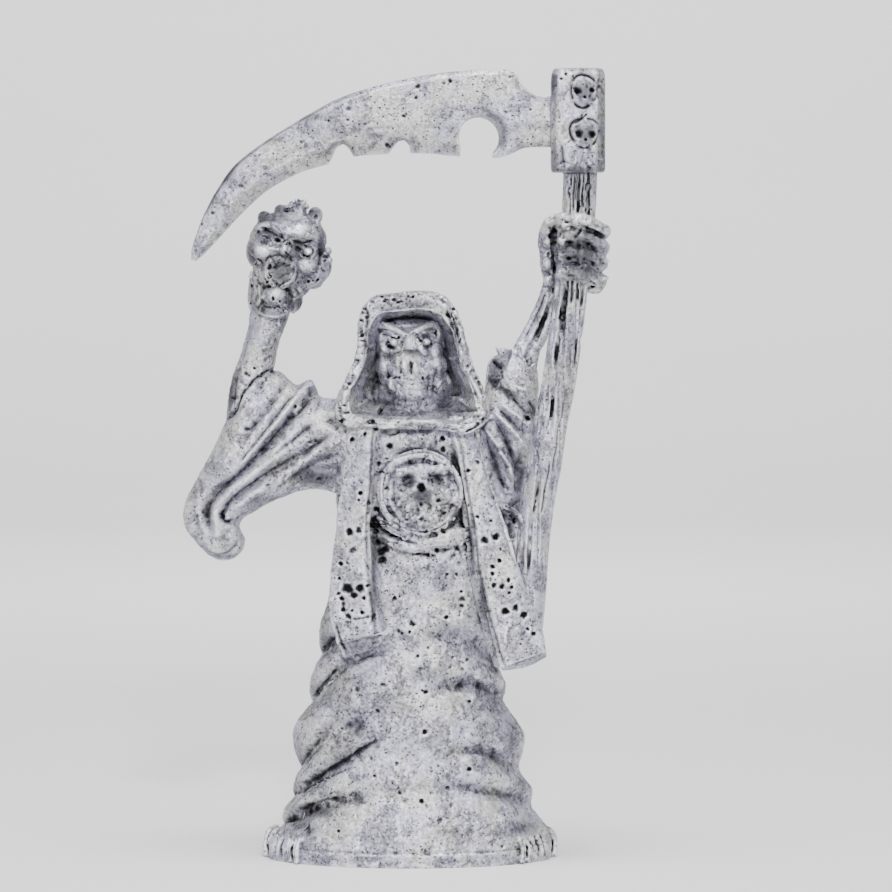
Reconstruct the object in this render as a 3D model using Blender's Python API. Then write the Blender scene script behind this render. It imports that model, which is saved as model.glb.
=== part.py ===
"""Hooded wraith with a scythe: a small one-piece casting in white metal, standing on its own thin plate.

Metres, +Z up, the figure faces -Y. The origin is the centre of the plate's underside.
The free forms (pose, cloth, faces, hands) are written as shares of the figure's height: one unit is a
hundredth of it, x to the viewer's right, y away from the viewer, z up. Plate, haft, blade, socket, bands,
medallion and hood hem are made things, so their walls and widths are sizes of their own.
"""

import math

import bmesh
import bpy
import numpy as np
from mathutils import Matrix, Vector

# Driving sizes, in metres
FIGURE_HEIGHT = 0.0440  # from the underside to the top of the socket
PLATE_THICKNESS = 0.0004
PLATE_WIDTH = 0.0158
PLATE_DEPTH = 0.0110
HAFT_DIAMETER = 0.00182
BLADE_THICKNESS = 0.00100
BLADE_EDGE = 0.00032
SOCKET_WIDTH = 0.00300
SOCKET_DEPTH = 0.00260
BAND_THICKNESS = 0.00075
MEDALLION_DIAMETER = 0.00470
MEDALLION_THICKNESS = 0.00120
HEM_DIAMETER = 0.00056  # rolled edge round the hood's opening
FINGER_DIAMETER = 0.00074
EYE_DEPTH = 0.00040  # how far the eye sockets of the two heads go in

# The clay: how finely the forms are fused, and how many faces the finished solid has
CLAY_GRAIN = FIGURE_HEIGHT / 340
FACE_BUDGET = 9400
SOFTENING_ROUNDS = 3

UNIT = FIGURE_HEIGHT / 100
AROUND = 40  # points round a lofted form
FRONT, BACK = -1, 1


def inUnits(size):
    return size / UNIT


def through(rows, perSpan=5):
    """Rows of numbers on a smooth curve (Catmull-Rom) through the given rows."""
    rows = np.array(rows, float)
    ends = np.vstack([2 * rows[0] - rows[1], rows, 2 * rows[-1] - rows[-2]])
    found = []
    for i in range(1, len(ends) - 2):
        before, start, end, after = ends[i - 1 : i + 3]
        for t in np.arange(perSpan) / perSpan:
            found.append(
                0.5 * (2 * start + (end - before) * t
                       + (2 * before - 5 * start + 4 * end - after) * t ** 2
                       + (3 * start - before - 3 * end + after) * t ** 3)
            )
    return np.array(found + [rows[-1]])


def readAt(table, where):
    """Reads a table of (place, value, value, ...) rows at the places given, smoothly."""
    fine = through(table, 8)
    return np.array([np.interp(where, fine[:, 0], fine[:, i]) for i in range(1, fine.shape[1])])


def unitRing(count, squareness=2.0):
    """Cosine and sine round a ring. A squareness over 2 makes the ring boxy."""
    angle = np.arange(count) * 2 * math.pi / count
    power = 2 / squareness
    return (np.sign(np.cos(angle)) * np.abs(np.cos(angle)) ** power,
            np.sign(np.sin(angle)) * np.abs(np.sin(angle)) ** power)


def newForm(name, points, faces):
    """A closed mesh from points in units, with its faces turned outwards."""
    mesh = bpy.data.meshes.new(name)
    mesh.from_pydata((np.array(points, float) * UNIT).tolist(), [], faces)
    shell = bmesh.new()
    shell.from_mesh(mesh)
    bmesh.ops.recalc_face_normals(shell, faces=shell.faces)
    if shell.calc_volume(signed=True) < 0:
        bmesh.ops.reverse_faces(shell, faces=shell.faces)
    shell.to_mesh(mesh)
    shell.free()
    form = bpy.data.objects.new(name, mesh)
    bpy.context.scene.collection.objects.link(form)
    return form


def loft(name, rings):
    """A closed form through rings of points that have the same count."""
    rings = np.array(rings, float)
    levels, count = rings.shape[:2]
    faces = [tuple(range(count)), tuple((levels - 1) * count + i for i in range(count))]
    for level in range(levels - 1):
        for i in range(count):
            j = (i + 1) % count
            low = level * count
            faces.append((low + i, low + j, low + count + j, low + count + i))
    return newForm(name, rings.reshape(-1, 3), faces)


def stack(name, rows, squareness=2.4, perSpan=5):
    """Level rings, from rows of (height, left, right, front, back)."""
    across, along = unitRing(AROUND, squareness)
    rings = []
    for height, left, right, front, back in through(rows, perSpan):
        x = (left + right) / 2 + (right - left) / 2 * across
        y = (front + back) / 2 + (back - front) / 2 * along
        rings.append(np.stack([x, y, np.full(AROUND, height)], axis=1))
    return loft(name, rings)


def strip(name, rows, squareness=2.4, perSpan=5):
    """Rings across a path, from rows of (one edge x, y, z, other edge x, y, z, half the depth)."""
    rows = through(rows, perSpan)
    across, along = unitRing(AROUND, squareness)
    first, second, depth = rows[:, 0:3], rows[:, 3:6], rows[:, 6]
    middle = (first + second) / 2
    travel = np.gradient(middle, axis=0)
    outward = np.cross(second - first, travel)
    outward /= np.linalg.norm(outward, axis=1)[:, None] + 1e-9
    rings = [
        middle[i] + np.outer(across, (second[i] - first[i]) / 2) + np.outer(along, outward[i] * depth[i])
        for i in range(len(rows))
    ]
    return loft(name, rings)


def tube(name, rows, perSpan=5, around=14):
    """A round form with closed ends, from rows of (x, y, z, radius)."""
    rows = through(rows, perSpan)
    centre, radius = rows[:, :3], rows[:, 3]
    travel = np.gradient(centre, axis=0)
    travel /= np.linalg.norm(travel, axis=1)[:, None]
    across, along = unitRing(around)
    side = np.cross(travel[0], [0.31, 0.93, 0.17])
    rings = []
    for i, heading in enumerate(travel):
        side = side - heading * np.dot(side, heading)
        side /= np.linalg.norm(side)
        up = np.cross(heading, side)
        rings.append(centre[i] + radius[i] * (np.outer(across, side) + np.outer(along, up)))
    start = [centre[0] + (ring0 - centre[0]) * 0.6 - travel[0] * radius[0] * 0.7 for ring0 in rings[0]]
    finish = [centre[-1] + (ring1 - centre[-1]) * 0.6 + travel[-1] * radius[-1] * 0.7 for ring1 in rings[-1]]
    return loft(name, [start, *rings, finish])


def ball(name, centre, radii):
    shell = bmesh.new()
    bmesh.ops.create_icosphere(shell, subdivisions=3, radius=1.0)
    mesh = bpy.data.meshes.new(name)
    place = Matrix.Translation(Vector(centre) * UNIT) @ Matrix.Diagonal((*(Vector(radii) * UNIT), 1))
    bmesh.ops.transform(shell, matrix=place, verts=shell.verts)
    shell.to_mesh(mesh)
    shell.free()
    form = bpy.data.objects.new(name, mesh)
    bpy.context.scene.collection.objects.link(form)
    return form


def prism(name, outline, front, back):
    """An outline of (x, z) points, carried from the front to the back."""
    return loft(name, [[(x, y, z) for x, z in outline] for y in (front, back)])


def disc(name, x, z, radius, front, back, count=36):
    turns = [i * 2 * math.pi / count for i in range(count)]
    return prism(name, [(x + radius * math.cos(a), z + radius * math.sin(a)) for a in turns], front, back)


def remove(form):
    mesh = form.data
    bpy.data.objects.remove(form)
    bpy.data.meshes.remove(mesh)


def settled(form):
    """The form with its modifiers applied."""
    form.data.update()
    graph = bpy.context.evaluated_depsgraph_get()
    mesh = bpy.data.meshes.new_from_object(form.evaluated_get(graph))
    old = form.data
    form.modifiers.clear()
    form.data = mesh
    bpy.data.meshes.remove(old)
    return form


def cutFrom(form, cutters):
    for cutter in cutters:
        cut = form.modifiers.new("cut", "BOOLEAN")
        cut.operation = "DIFFERENCE"
        cut.object = cutter
    settled(form)
    for cutter in cutters:
        remove(cutter)
    return form


def fused(name, forms, grain):
    """The forms pressed into one lump of clay: joined, then remeshed as one skin."""
    shell = bmesh.new()
    for form in forms:
        shell.from_mesh(form.data)
    mesh = bpy.data.meshes.new(name)
    shell.to_mesh(mesh)
    shell.free()
    for form in forms:
        remove(form)
    lump = bpy.data.objects.new(name, mesh)
    bpy.context.scene.collection.objects.link(lump)
    skin = lump.modifiers.new("fuse", "REMESH")
    skin.mode = "VOXEL"
    skin.voxel_size = grain
    soft = lump.modifiers.new("soften", "SMOOTH")
    soft.factor = 0.5
    soft.iterations = SOFTENING_ROUNDS
    return settled(lump)


class Carver:
    """Pushes the skin of a lump in and out along strokes and dabs, as a modelling tool would."""

    def __init__(self, lump):
        self.mesh = lump.data
        count = len(self.mesh.vertices)
        self.points = np.empty(count * 3)
        self.mesh.vertices.foreach_get("co", self.points)
        self.points = self.points.reshape(-1, 3) / UNIT
        self.readNormals()

    def readNormals(self):
        self.normals = np.empty(len(self.points) * 3)
        self.mesh.vertices.foreach_get("normal", self.normals)
        self.normals = self.normals.reshape(-1, 3)

    def write(self):
        self.mesh.vertices.foreach_set("co", (self.points * UNIT).ravel())
        self.mesh.update()
        self.readNormals()

    def stroke(self, path, width, depth, side=FRONT, limits=(-30, 30)):
        """A groove along a path of (x, z) points on the front or back. A depth below 0 raises a ridge."""
        path = through(path, 4) if len(path) > 2 else np.array(path, float)
        reach = 2.2 * width
        x, y, z = self.points.T
        near = (
            (x > path[:, 0].min() - reach) & (x < path[:, 0].max() + reach)
            & (z > path[:, 1].min() - reach) & (z < path[:, 1].max() + reach)
            & (y > limits[0]) & (y < limits[1]) & (self.normals[:, 1] * side > 0.05)
        )
        chosen = np.nonzero(near)[0]
        flat = self.points[chosen][:, [0, 2]]
        closest = np.full(len(chosen), 1e9)
        for start, end in zip(path[:-1], path[1:]):
            run = end - start
            share = np.clip(((flat - start) @ run) / (run @ run + 1e-9), 0, 1)
            closest = np.minimum(closest, np.linalg.norm(flat - start - share[:, None] * run, axis=1))
        facing = np.clip(self.normals[chosen, 1] * side * 2.5, 0, 1)
        push = depth * np.exp(-((closest / width) ** 2)) * facing
        self.points[chosen] -= self.normals[chosen] * push[:, None]

    def dab(self, centre, radius, depth):
        """A round dent at a point of the surface, pressed straight back. A depth below 0 raises a bump."""
        away = np.linalg.norm(self.points - np.array(centre, float), axis=1)
        chosen = np.nonzero(away < 2.2 * radius)[0]
        push = depth * np.exp(-((away[chosen] / radius) ** 2))
        self.points[chosen, 1] += push


# The robe below the waist: puffed cloth in slanting tiers, parted by valleys that rise over the front.
# Each valley is its height at the left, front, right and back.
VALLEYS = [
    (0.0, 0.0, 0.0, 0.0),
    (4.3, 9.6, 6.8, 5.2),
    (7.8, 14.2, 11.2, 10.2),
    (11.5, 21.2, 20.2, 16.0),
    (19.9, 28.4, 24.5, 22.6),
    (25.8, 33.4, 31.0, 28.8),
    (38.0, 40.0, 38.0, 38.0),
]
# (height, left, right, front, back)
ROBE_SECTIONS = [
    (0.8, -16.6, 16.9, -11.3, 11.3),
    (2.0, -17.2, 17.3, -11.9, 11.7),
    (5.0, -16.2, 16.4, -11.2, 10.9),
    (9.0, -14.7, 15.0, -10.3, 9.8),
    (13.0, -13.9, 13.8, -9.6, 9.0),
    (17.0, -13.8, 13.3, -9.0, 8.4),
    (21.0, -12.3, 12.0, -8.4, 7.8),
    (25.0, -11.7, 11.5, -7.8, 7.1),
    (29.0, -10.7, 11.4, -7.1, 6.5),
    (33.0, -9.4, 11.7, -6.4, 6.0),
    (37.0, -8.8, 11.6, -5.9, 5.7),
]
PUFF = 1.3


def valleyHeights(angle):
    """The height of each valley at an angle round the robe; the right is 0 and the back a quarter turn on."""
    found = []
    for left, front, right, back in VALLEYS:
        mean = (left + front + right + back) / 4
        found.append(
            mean + (back - front) / 2 * np.sin(angle) + (right - left) / 2 * np.cos(angle)
            + (left + right - front - back) / 4 * np.cos(2 * angle)
        )
    return np.array(found)


def robe():
    count = 96
    angle = np.arange(count) * 2 * math.pi / count
    valleys = valleyHeights(angle)
    rings = []
    for height, left, right, front, back in through(ROBE_SECTIONS, 8):
        puff = np.zeros(count)
        for low, high in zip(valleys[:-1], valleys[1:]):
            share = (height - low) / (high - low)
            inside = (share >= 0) & (share < 1)
            swell = np.sin(math.pi * np.clip(share, 0, 1) ** 0.72) * np.clip((high - low) / 7, 0.35, 1.1)
            puff[inside] = swell[inside]
        grow = PUFF * (puff - 0.35)
        x = (left + right) / 2 + ((right - left) / 2 + grow) * np.cos(angle)
        y = (front + back) / 2 + ((back - front) / 2 + grow) * np.sin(angle)
        rings.append(np.stack([x, y, np.full(count, height)], axis=1))
    return loft("robe", rings)


def plate():
    halfWidth, halfDepth = inUnits(PLATE_WIDTH) / 2, inUnits(PLATE_DEPTH) / 2
    top = inUnits(PLATE_THICKNESS)
    edges = (-halfWidth, halfWidth, -halfDepth, halfDepth)
    rows = [(height, *edges) for height in (-1.2, -0.6, top, top + 0.8)]
    return stack("plate", rows, 2.0, 2)


def toes():
    """Bony toes that come out from under the hem at both corners and hold the plate's edge."""
    forms = []
    corner = inUnits(PLATE_WIDTH) / 2
    for side in (-1, 1):
        forms.append(ball("foot", (side * (corner - 2.0), -2.6, 1.7), (2.0, 3.2, 1.6)))
        for i in range(5):
            x, y = side * (corner + 0.35 - 0.95 * i), -0.4 - 1.75 * i
            forms.append(tube("toe", [
                (x - side * 1.3, y + 1.5, 3.3, 0.42),
                (x - side * 0.3, y + 0.3, 3.0, 0.5),
                (x, y - 0.3, 1.7, 0.48),
                (x, y - 0.5, 0.4, 0.42),
            ], 3))
    return forms


def torso():
    return stack("torso", [
        (29.0, -9.3, 11.6, -6.8, 6.2), (36.0, -8.6, 12.0, -6.3, 5.9), (42.0, -8.0, 11.6, -6.0, 5.7),
        (48.0, -7.7, 10.8, -6.0, 5.8), (52.0, -8.4, 10.2, -6.0, 6.2), (54.5, -9.2, 10.4, -5.4, 6.6),
        (56.5, -9.0, 10.0, -1.4, 6.6), (59.0, -6.6, 7.6, 0.6, 6.0), (61.0, -4.0, 5.0, 2.0, 5.0),
    ], 2.8)


def mantle():
    """The cloth that falls from the hood over the shoulders and back."""
    return strip("mantle", [
        (-6.0, 5.2, 63.0, 6.6, 5.2, 63.0, 2.0), (-8.6, 5.4, 58.0, 9.6, 5.4, 58.0, 2.4),
        (-9.6, 5.2, 52.0, 11.6, 5.2, 52.0, 2.2), (-9.4, 5.2, 45.0, 14.0, 4.2, 45.0, 2.0),
        (-9.6, 5.8, 38.0, 14.6, 3.6, 38.0, 1.8), (-10.6, 6.6, 32.0, 13.6, 4.6, 32.0, 1.4),
        (-10.8, 7.2, 29.0, 12.2, 6.2, 29.0, 0.8),
    ], 2.6)


def sash():
    """The fold of cloth behind the right band, out to the haft."""
    return strip("sash", [
        (8.0, -2.4, 50.0, 13.6, -2.4, 50.0, 2.4), (8.4, -3.0, 44.0, 14.8, -2.8, 43.0, 2.3),
        (9.0, -4.0, 38.0, 15.0, -3.6, 37.0, 2.2), (10.0, -5.2, 32.0, 14.6, -4.6, 32.0, 1.6),
    ], 2.4)


# The hood's outline seen from the front, in (x, z), from the top round by the right
HOOD_OUTLINE = [
    (0.0, 71.9), (2.2, 71.9), (4.4, 71.3), (6.0, 69.3), (6.8, 67.0), (7.4, 64.4), (8.1, 62.2), (9.2, 59.8),
    (10.0, 57.6), (9.7, 55.6), (7.4, 54.2), (4.6, 54.5), (0.4, 54.7), (-4.2, 54.9), (-8.0, 55.1), (-9.3, 56.6),
    (-9.1, 58.8), (-8.0, 61.0), (-7.0, 63.2), (-6.5, 65.6), (-6.5, 67.8), (-5.9, 69.8), (-4.6, 71.3),
    (-2.2, 71.6),
]
HOOD_MIDDLE = (0.3, 62.6)


def hoodRing(wide, up, down, depth, lean=0.0):
    """The outline drawn in towards the hood's middle. lean brings its lower edge forward."""
    outline = through(HOOD_OUTLINE + HOOD_OUTLINE[:1], 3)[:-1]
    x = HOOD_MIDDLE[0] + (outline[:, 0] - HOOD_MIDDLE[0]) * wide
    rise = outline[:, 1] - HOOD_MIDDLE[1]
    z = HOOD_MIDDLE[1] + rise * np.where(rise > 0, up, down)
    y = depth - lean * np.clip(-rise / 8, -0.3, 1) - 0.35 * lean * np.clip(-rise / 8, 0, 1) ** 3
    return np.stack([x, y, z], axis=1)


def hood():
    shell = loft("hood", [
        hoodRing(0.95, 0.95, 0.97, -6.0, 1.3),
        hoodRing(0.99, 0.99, 0.99, -4.8, 1.3),
        hoodRing(0.98, 1.0, 1.0, -2.4, 0.8),
        hoodRing(0.97, 0.99, 1.0, 0.8, 0.4),
        hoodRing(0.93, 0.95, 0.98, 4.0, 0.0),
        hoodRing(0.82, 0.86, 0.9, 6.4, -0.6),
        hoodRing(0.62, 0.66, 0.76, 8.0, -0.8),
        hoodRing(0.3, 0.34, 0.4, 8.7, -0.6),
    ])
    hollow = loft("hollow", [
        hoodRing(0.83, 0.76, 0.86, -10.0, 1.4),
        hoodRing(0.79, 0.72, 0.84, -5.8, 1.3),
        hoodRing(0.76, 0.70, 0.82, -2.6, 0.3),
        hoodRing(0.68, 0.64, 0.70, 0.4, 0.0),
        hoodRing(0.42, 0.42, 0.40, 2.4, 0.0),
    ])
    cutFrom(shell, [hollow])
    hem = inUnits(HEM_DIAMETER) / 2
    edge = hoodRing(0.90, 0.88, 0.94, -6.1, 1.35)
    edge = np.vstack([edge, edge[:2]])
    return [shell, tube("hem", [(*point, hem) for point in edge], 1)]


def head():
    """The wraith's own head, a gaunt brute skull deep in the hood."""
    return [
        ball("cranium", (0.1, 0.2, 64.8), (4.1, 4.4, 3.7)),
        ball("brow", (0.1, -2.0, 66.5), (3.9, 2.4, 1.7)),
        ball("jaw", (0.2, -1.9, 61.4), (3.6, 2.9, 3.2)),
        ball("chin", (0.3, -2.4, 59.3), (2.3, 1.9, 1.4)),
        ball("muzzle", (0.1, -2.6, 62.1), (3.1, 2.2, 2.1)),
        ball("left cheek", (-3.1, -2.6, 63.1), (1.2, 1.5, 1.1)),
        ball("right cheek", (3.4, -2.6, 63.2), (1.2, 1.5, 1.2)),
        ball("neck", (0.3, -1.6, 57.2), (2.8, 2.4, 2.4)),
        tube("left brow", [(-0.3, -4.3, 66.4, 0.5), (-2.0, -4.4, 67.3, 0.6), (-3.7, -3.2, 67.8, 0.5)], 3),
        tube("right brow", [(0.7, -4.3, 66.5, 0.5), (2.2, -4.4, 67.6, 0.6), (3.7, -3.2, 67.8, 0.5)], 3),
        tube("nose", [(0.2, -4.1, 66.3, 0.35), (0.1, -5.0, 65.4, 0.6), (0.1, -4.8, 64.8, 0.75)], 3),
        tube("lip", [(-3.3, -3.9, 62.8, 0.4), (0.0, -4.8, 63.9, 0.45), (2.9, -4.0, 62.7, 0.4)], 5),
    ]


def rightArm():
    """The raised arm at the viewer's left: long sleeve, forearm, hand and the head that it holds up."""
    sleeve = strip("right sleeve", [
        (-6.5, -1.0, 57.0, -7.0, -1.0, 46.6, 4.6), (-9.0, -1.0, 58.2, -9.0, -1.0, 46.3, 4.2),
        (-11.3, -0.8, 58.6, -11.2, -1.0, 46.8, 3.7), (-12.4, -0.6, 60.8, -13.5, -1.0, 46.7, 3.5),
        (-14.4, -0.4, 60.2, -15.6, -1.0, 46.0, 3.5), (-17.0, -0.4, 62.0, -17.6, -1.0, 45.2, 3.7),
        (-20.6, -0.6, 59.4, -19.3, -1.0, 44.2, 4.0), (-23.1, -0.8, 55.8, -20.8, -1.0, 43.4, 4.1),
        (-25.0, -1.0, 51.8, -21.6, -1.0, 42.5, 3.8), (-27.0, -1.0, 48.2, -21.5, -1.0, 41.6, 3.3),
        (-28.6, -1.0, 44.8, -20.9, -1.0, 40.4, 3.1), (-28.5, -1.0, 42.2, -21.3, -1.0, 39.0, 2.9),
        (-27.0, -1.0, 40.0, -22.6, -1.0, 38.0, 2.3), (-25.6, -1.0, 38.5, -24.0, -1.0, 37.8, 1.0),
    ], 2.3)
    cuff = ball("cuff hollow", (-14.0, 0.2, 62.6), (5.6, 1.5, 4.6))
    cutFrom(sleeve, [cuff])
    forearm = strip("right forearm", [
        (-23.6, -1.0, 52.0, -18.6, -1.0, 53.6, 2.1), (-23.2, -1.0, 56.5, -18.3, -1.0, 58.2, 2.2),
        (-22.6, -0.9, 60.6, -17.2, -0.9, 62.2, 2.3), (-21.3, -0.8, 64.4, -16.5, -0.8, 65.6, 2.2),
        (-20.5, -0.6, 67.4, -15.5, -0.6, 68.2, 2.1), (-20.2, -0.4, 69.6, -14.9, -0.4, 70.2, 2.0),
        (-19.8, 0.2, 72.0, -14.2, 0.2, 72.4, 1.8),
    ], 2.3)
    finger = inUnits(FINGER_DIAMETER) / 2
    hand = [ball("palm", (-15.9, 1.6, 75.0), (4.1, 1.9, 4.6))]
    tips = ((-18.5, 81.5, -18.3), (-16.4, 82.4, -16.6), (-14.1, 82.9, -14.7), (-12.0, 82.0, -12.9))
    for tip, top, root in tips:
        hand.append(tube("finger", [
            (root, 2.0, 76.5, finger * 1.05), (root, 2.6, 79.5, finger), (tip, 1.2, top - 0.4, finger * 1.05),
            (tip, -0.8, top, finger * 1.1), (tip, -2.6, top - 0.9, finger * 0.9),
        ], 4))
    hand.append(tube("thumb", [
        (-12.4, 1.6, 73.0, finger), (-10.8, 0.6, 74.4, finger),
        (-10.4, -1.0, 75.8, finger), (-10.6, -2.2, 77.0, finger),
    ], 4))
    return [sleeve, forearm, *hand]


def trophyHead():
    """The head held up by the right hand: heavy brows, round cheeks, a gaping mouth, and a small skull below."""
    lips = [
        (-16.3 + 1.55 * math.cos(a), -5.0 - 0.15 * math.sin(a), 74.4 + 1.55 * math.sin(a), 0.5)
        for a in np.linspace(0, 2 * math.pi, 17)
    ]
    return [
        ball("skull", (-15.4, -1.4, 78.2), (4.7, 4.0, 3.9)),
        ball("temple", (-18.4, -1.6, 77.0), (2.2, 2.8, 2.6)),
        ball("jaw", (-16.0, -2.3, 74.4), (3.5, 3.0, 2.9)),
        ball("left cheek", (-18.6, -3.4, 76.9), (1.6, 1.5, 1.3)),
        ball("right cheek", (-13.0, -3.8, 75.7), (1.8, 1.5, 1.4)),
        ball("right jaw", (-12.2, -1.6, 74.0), (1.5, 2.2, 1.9)),
        ball("chin", (-16.6, -3.6, 72.7), (1.7, 1.4, 0.9)),
        tube("left brow", [(-19.0, -3.6, 79.2, 0.5), (-17.4, -5.0, 79.5, 0.6), (-15.7, -5.4, 78.6, 0.55)], 3),
        tube("right brow", [(-15.5, -5.4, 78.7, 0.55), (-13.6, -5.0, 79.1, 0.7), (-11.5, -3.5, 78.5, 0.5)], 3),
        tube("nose", [(-15.5, -5.2, 78.3, 0.4), (-15.5, -5.8, 77.3, 0.6), (-15.4, -5.4, 76.7, 0.7)], 3),
        tube("lips", lips, 1),
        ball("small skull", (-17.2, -2.9, 70.9), (1.9, 1.7, 1.7)),
        ball("small jaw", (-17.0, -2.7, 69.5), (1.4, 1.4, 0.9)),
        ball("left shred", (-19.4, -1.4, 71.6), (1.1, 1.5, 2.1)),
        ball("right shred", (-14.5, -1.6, 71.3), (1.1, 1.5, 2.0)),
    ]


HAFT_LINE = [
    (21.5, -2.6, 93.0, 1.04), (21.5, -2.6, 87.0, 1.06), (21.3, -2.7, 82.0, 1.0), (20.9, -2.9, 77.0, 0.98),
    (20.3, -3.1, 72.0, 1.02), (19.6, -3.4, 66.0, 1.08), (18.7, -3.7, 60.0, 1.05), (17.7, -3.9, 55.0, 1.02),
    (17.0, -4.1, 50.0, 0.96), (16.1, -4.3, 45.0, 0.88), (15.5, -4.6, 40.0, 0.72), (15.2, -4.9, 36.0, 0.62),
    (14.9, -5.2, 32.0, 0.56), (14.6, -5.4, 29.5, 0.46),
]


def haft():
    radius = inUnits(HAFT_DIAMETER) / 2
    return tube("haft", [(x, y, z, radius * share) for x, y, z, share in HAFT_LINE], 5, 20)


def leftArm():
    """The arm at the viewer's right: torn sleeve, two forearm bones and the fist round the haft."""
    sleeve = strip("left sleeve", [
        (11.0, 0.6, 64.9, 15.4, 0.6, 63.9, 2.4), (9.8, 0.4, 62.2, 16.2, 0.4, 61.6, 3.3),
        (9.4, 0.2, 58.5, 16.3, 0.2, 58.2, 3.7), (8.2, 0.0, 54.0, 15.9, 0.0, 54.0, 4.0),
        (7.6, 0.0, 49.5, 15.2, 0.0, 49.8, 4.0), (8.0, -0.2, 45.5, 14.4, -0.2, 46.0, 3.7),
        (9.2, -0.4, 42.2, 13.6, -0.4, 42.8, 2.8), (10.8, -0.6, 40.4, 12.8, -0.6, 40.8, 1.2),
    ], 2.3)
    mouth = tube("mouth", [(11.8, -2.9, 66.5, 1.2), (11.0, -2.4, 62.0, 1.2), (10.9, -2.0, 59.2, 0.9)])
    slant = prism("slant", [
        (12.9, 64.8), (14.3, 63.7), (15.4, 62.2), (17.2, 59.8), (17.6, 66.0), (13.2, 67.4),
    ], -8, -1.4)
    tears = [
        tube("tear", [(x, -6.0, z, size), (x, 6.0, z, size)], 1)
        for x, z, size in ((9.9, 64.2, 1.0), (11.3, 66.2, 0.7))
    ]
    cutFrom(sleeve, [mouth, slant, *tears])
    inner = [(12.5, 60.0), (14.0, 64.7), (14.8, 66.1), (15.7, 67.9), (16.5, 69.5), (17.3, 71.6), (18.0, 74.0)]
    outer = [(14.8, 60.0), (15.6, 64.2), (16.3, 65.6), (17.1, 67.4), (17.8, 69.2), (18.6, 71.4), (19.0, 74.0)]
    bones = [tube("bone", [(x, -0.9, z, 0.86) for x, z in line], 3) for line in (inner, outer)]
    return [sleeve, *bones]


def fist():
    finger = inUnits(FINGER_DIAMETER) / 2
    grip = inUnits(HAFT_DIAMETER) / 2
    forms = [
        ball("back of hand", (18.3, 0.2, 76.6), (1.9, 1.7, 4.6)),
        ball("web", (18.9, -1.7, 78.6), (1.3, 1.7, 2.2)),
        tube("thumb", [
            (17.5, -0.6, 76.0, finger * 1.1), (17.1, -1.4, 78.4, finger * 1.15),
            (17.8, -2.8, 80.4, finger * 1.1), (19.1, -4.4, 81.1, finger * 0.95), (20.2, -4.9, 80.8, finger * 0.7),
        ], 4),
        ball("wrist knob", (17.0, -1.4, 75.4), (1.0, 1.0, 1.1)),
        ball("wrist knob", (17.6, -1.4, 73.4), (0.9, 1.0, 1.0)),
        ball("heel of hand", (22.9, -1.6, 72.2), (1.2, 1.2, 0.8)),
    ]
    reach = grip + finger * 0.8
    for height in (79.6, 77.5, 75.4, 73.4):
        middle = 20.5 + 0.09 * (height - 72.0)
        forms.append(tube("finger", [
            (middle - 2.2, 0.2, height + 0.2, finger), (middle + 1.6, 0.3, height - 0.1, finger * 1.1),
            (middle + reach + 0.9, -1.9, height, finger * 1.25),
            (middle + reach + 0.3, -3.9, height + 0.3, finger),
            (middle + 0.4, -2.9 - reach, height + 0.9, finger * 1.2),
            (middle - 1.6, -2.6 - reach, height + 1.1, finger * 0.85),
        ], 4))
    return forms


# The scythe blade: rows of (back edge x, z, cutting edge x, z), from inside the socket to the tip
BLADE_CHORDS = [
    (20.0, 99.4, 20.0, 90.2), (17.2, 99.9, 17.2, 90.1), (13.4, 99.9, 14.5, 90.0), (11.0, 99.8, 12.4, 89.1),
    (8.6, 99.8, 10.3, 88.7), (4.6, 99.5, 6.3, 88.9), (0.0, 98.8, 2.0, 89.3), (-5.0, 97.6, -3.0, 89.2),
    (-9.5, 96.0, -7.0, 88.9), (-14.0, 93.5, -10.8, 87.8), (-18.0, 91.0, -14.0, 86.8),
    (-22.0, 87.9, -18.0, 84.6), (-24.5, 84.4, -21.4, 81.5), (-26.2, 81.0, -24.0, 78.7),
    (-27.4, 77.6, -25.8, 76.8), (-27.6, 76.0, -27.0, 75.7),
]
BLADE_PLANE = -2.6
RIDGE_SHARE = 0.66  # how far down the blade its ridge runs
# Cuts through the blade: discs as (x, z, radius), and nicks as outlines
BLADE_DISCS = [(17.2, 100.2, 3.75), (8.6, 91.3, 2.5), (8.4, 89.4, 2.05)]
BLADE_NICKS = [
    [(-10.6, 87.0), (-9.9, 88.6), (-9.2, 90.1), (-8.4, 90.5), (-7.7, 90.0), (-6.8, 88.4), (-7.0, 87.0)],
    [(-3.2, 88.0), (-2.6, 89.4), (-1.5, 90.8), (-0.7, 91.0), (0.0, 90.2), (0.1, 88.0)],
]


def blade():
    rows = through(BLADE_CHORDS, 4)
    thick, edge = inUnits(BLADE_THICKNESS) / 2, inUnits(BLADE_EDGE) / 2
    profile = [(0.0, 0.55), (0.06, 0.95), (RIDGE_SHARE, 1.0), (1.0, None)]
    rings = []
    for i, (back_x, back_z, cut_x, cut_z) in enumerate(rows):
        taper = min(1.0, 0.45 + 0.1 * (len(rows) - 1 - i))
        front, rear = [], []
        for share, fullness in profile:
            half = edge if fullness is None else thick * fullness * taper
            x, z = back_x + (cut_x - back_x) * share, back_z + (cut_z - back_z) * share
            front.append((x, BLADE_PLANE - half, z))
            rear.append((x, BLADE_PLANE + half, z))
        rings.append(front + rear[::-1])
    form = loft("blade", rings)
    cutters = [disc("disc", x, z, radius, -8, 4) for x, z, radius in BLADE_DISCS]
    cutters += [prism("nick", outline, -8, 4) for outline in BLADE_NICKS]
    return cutFrom(form, cutters)


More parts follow.
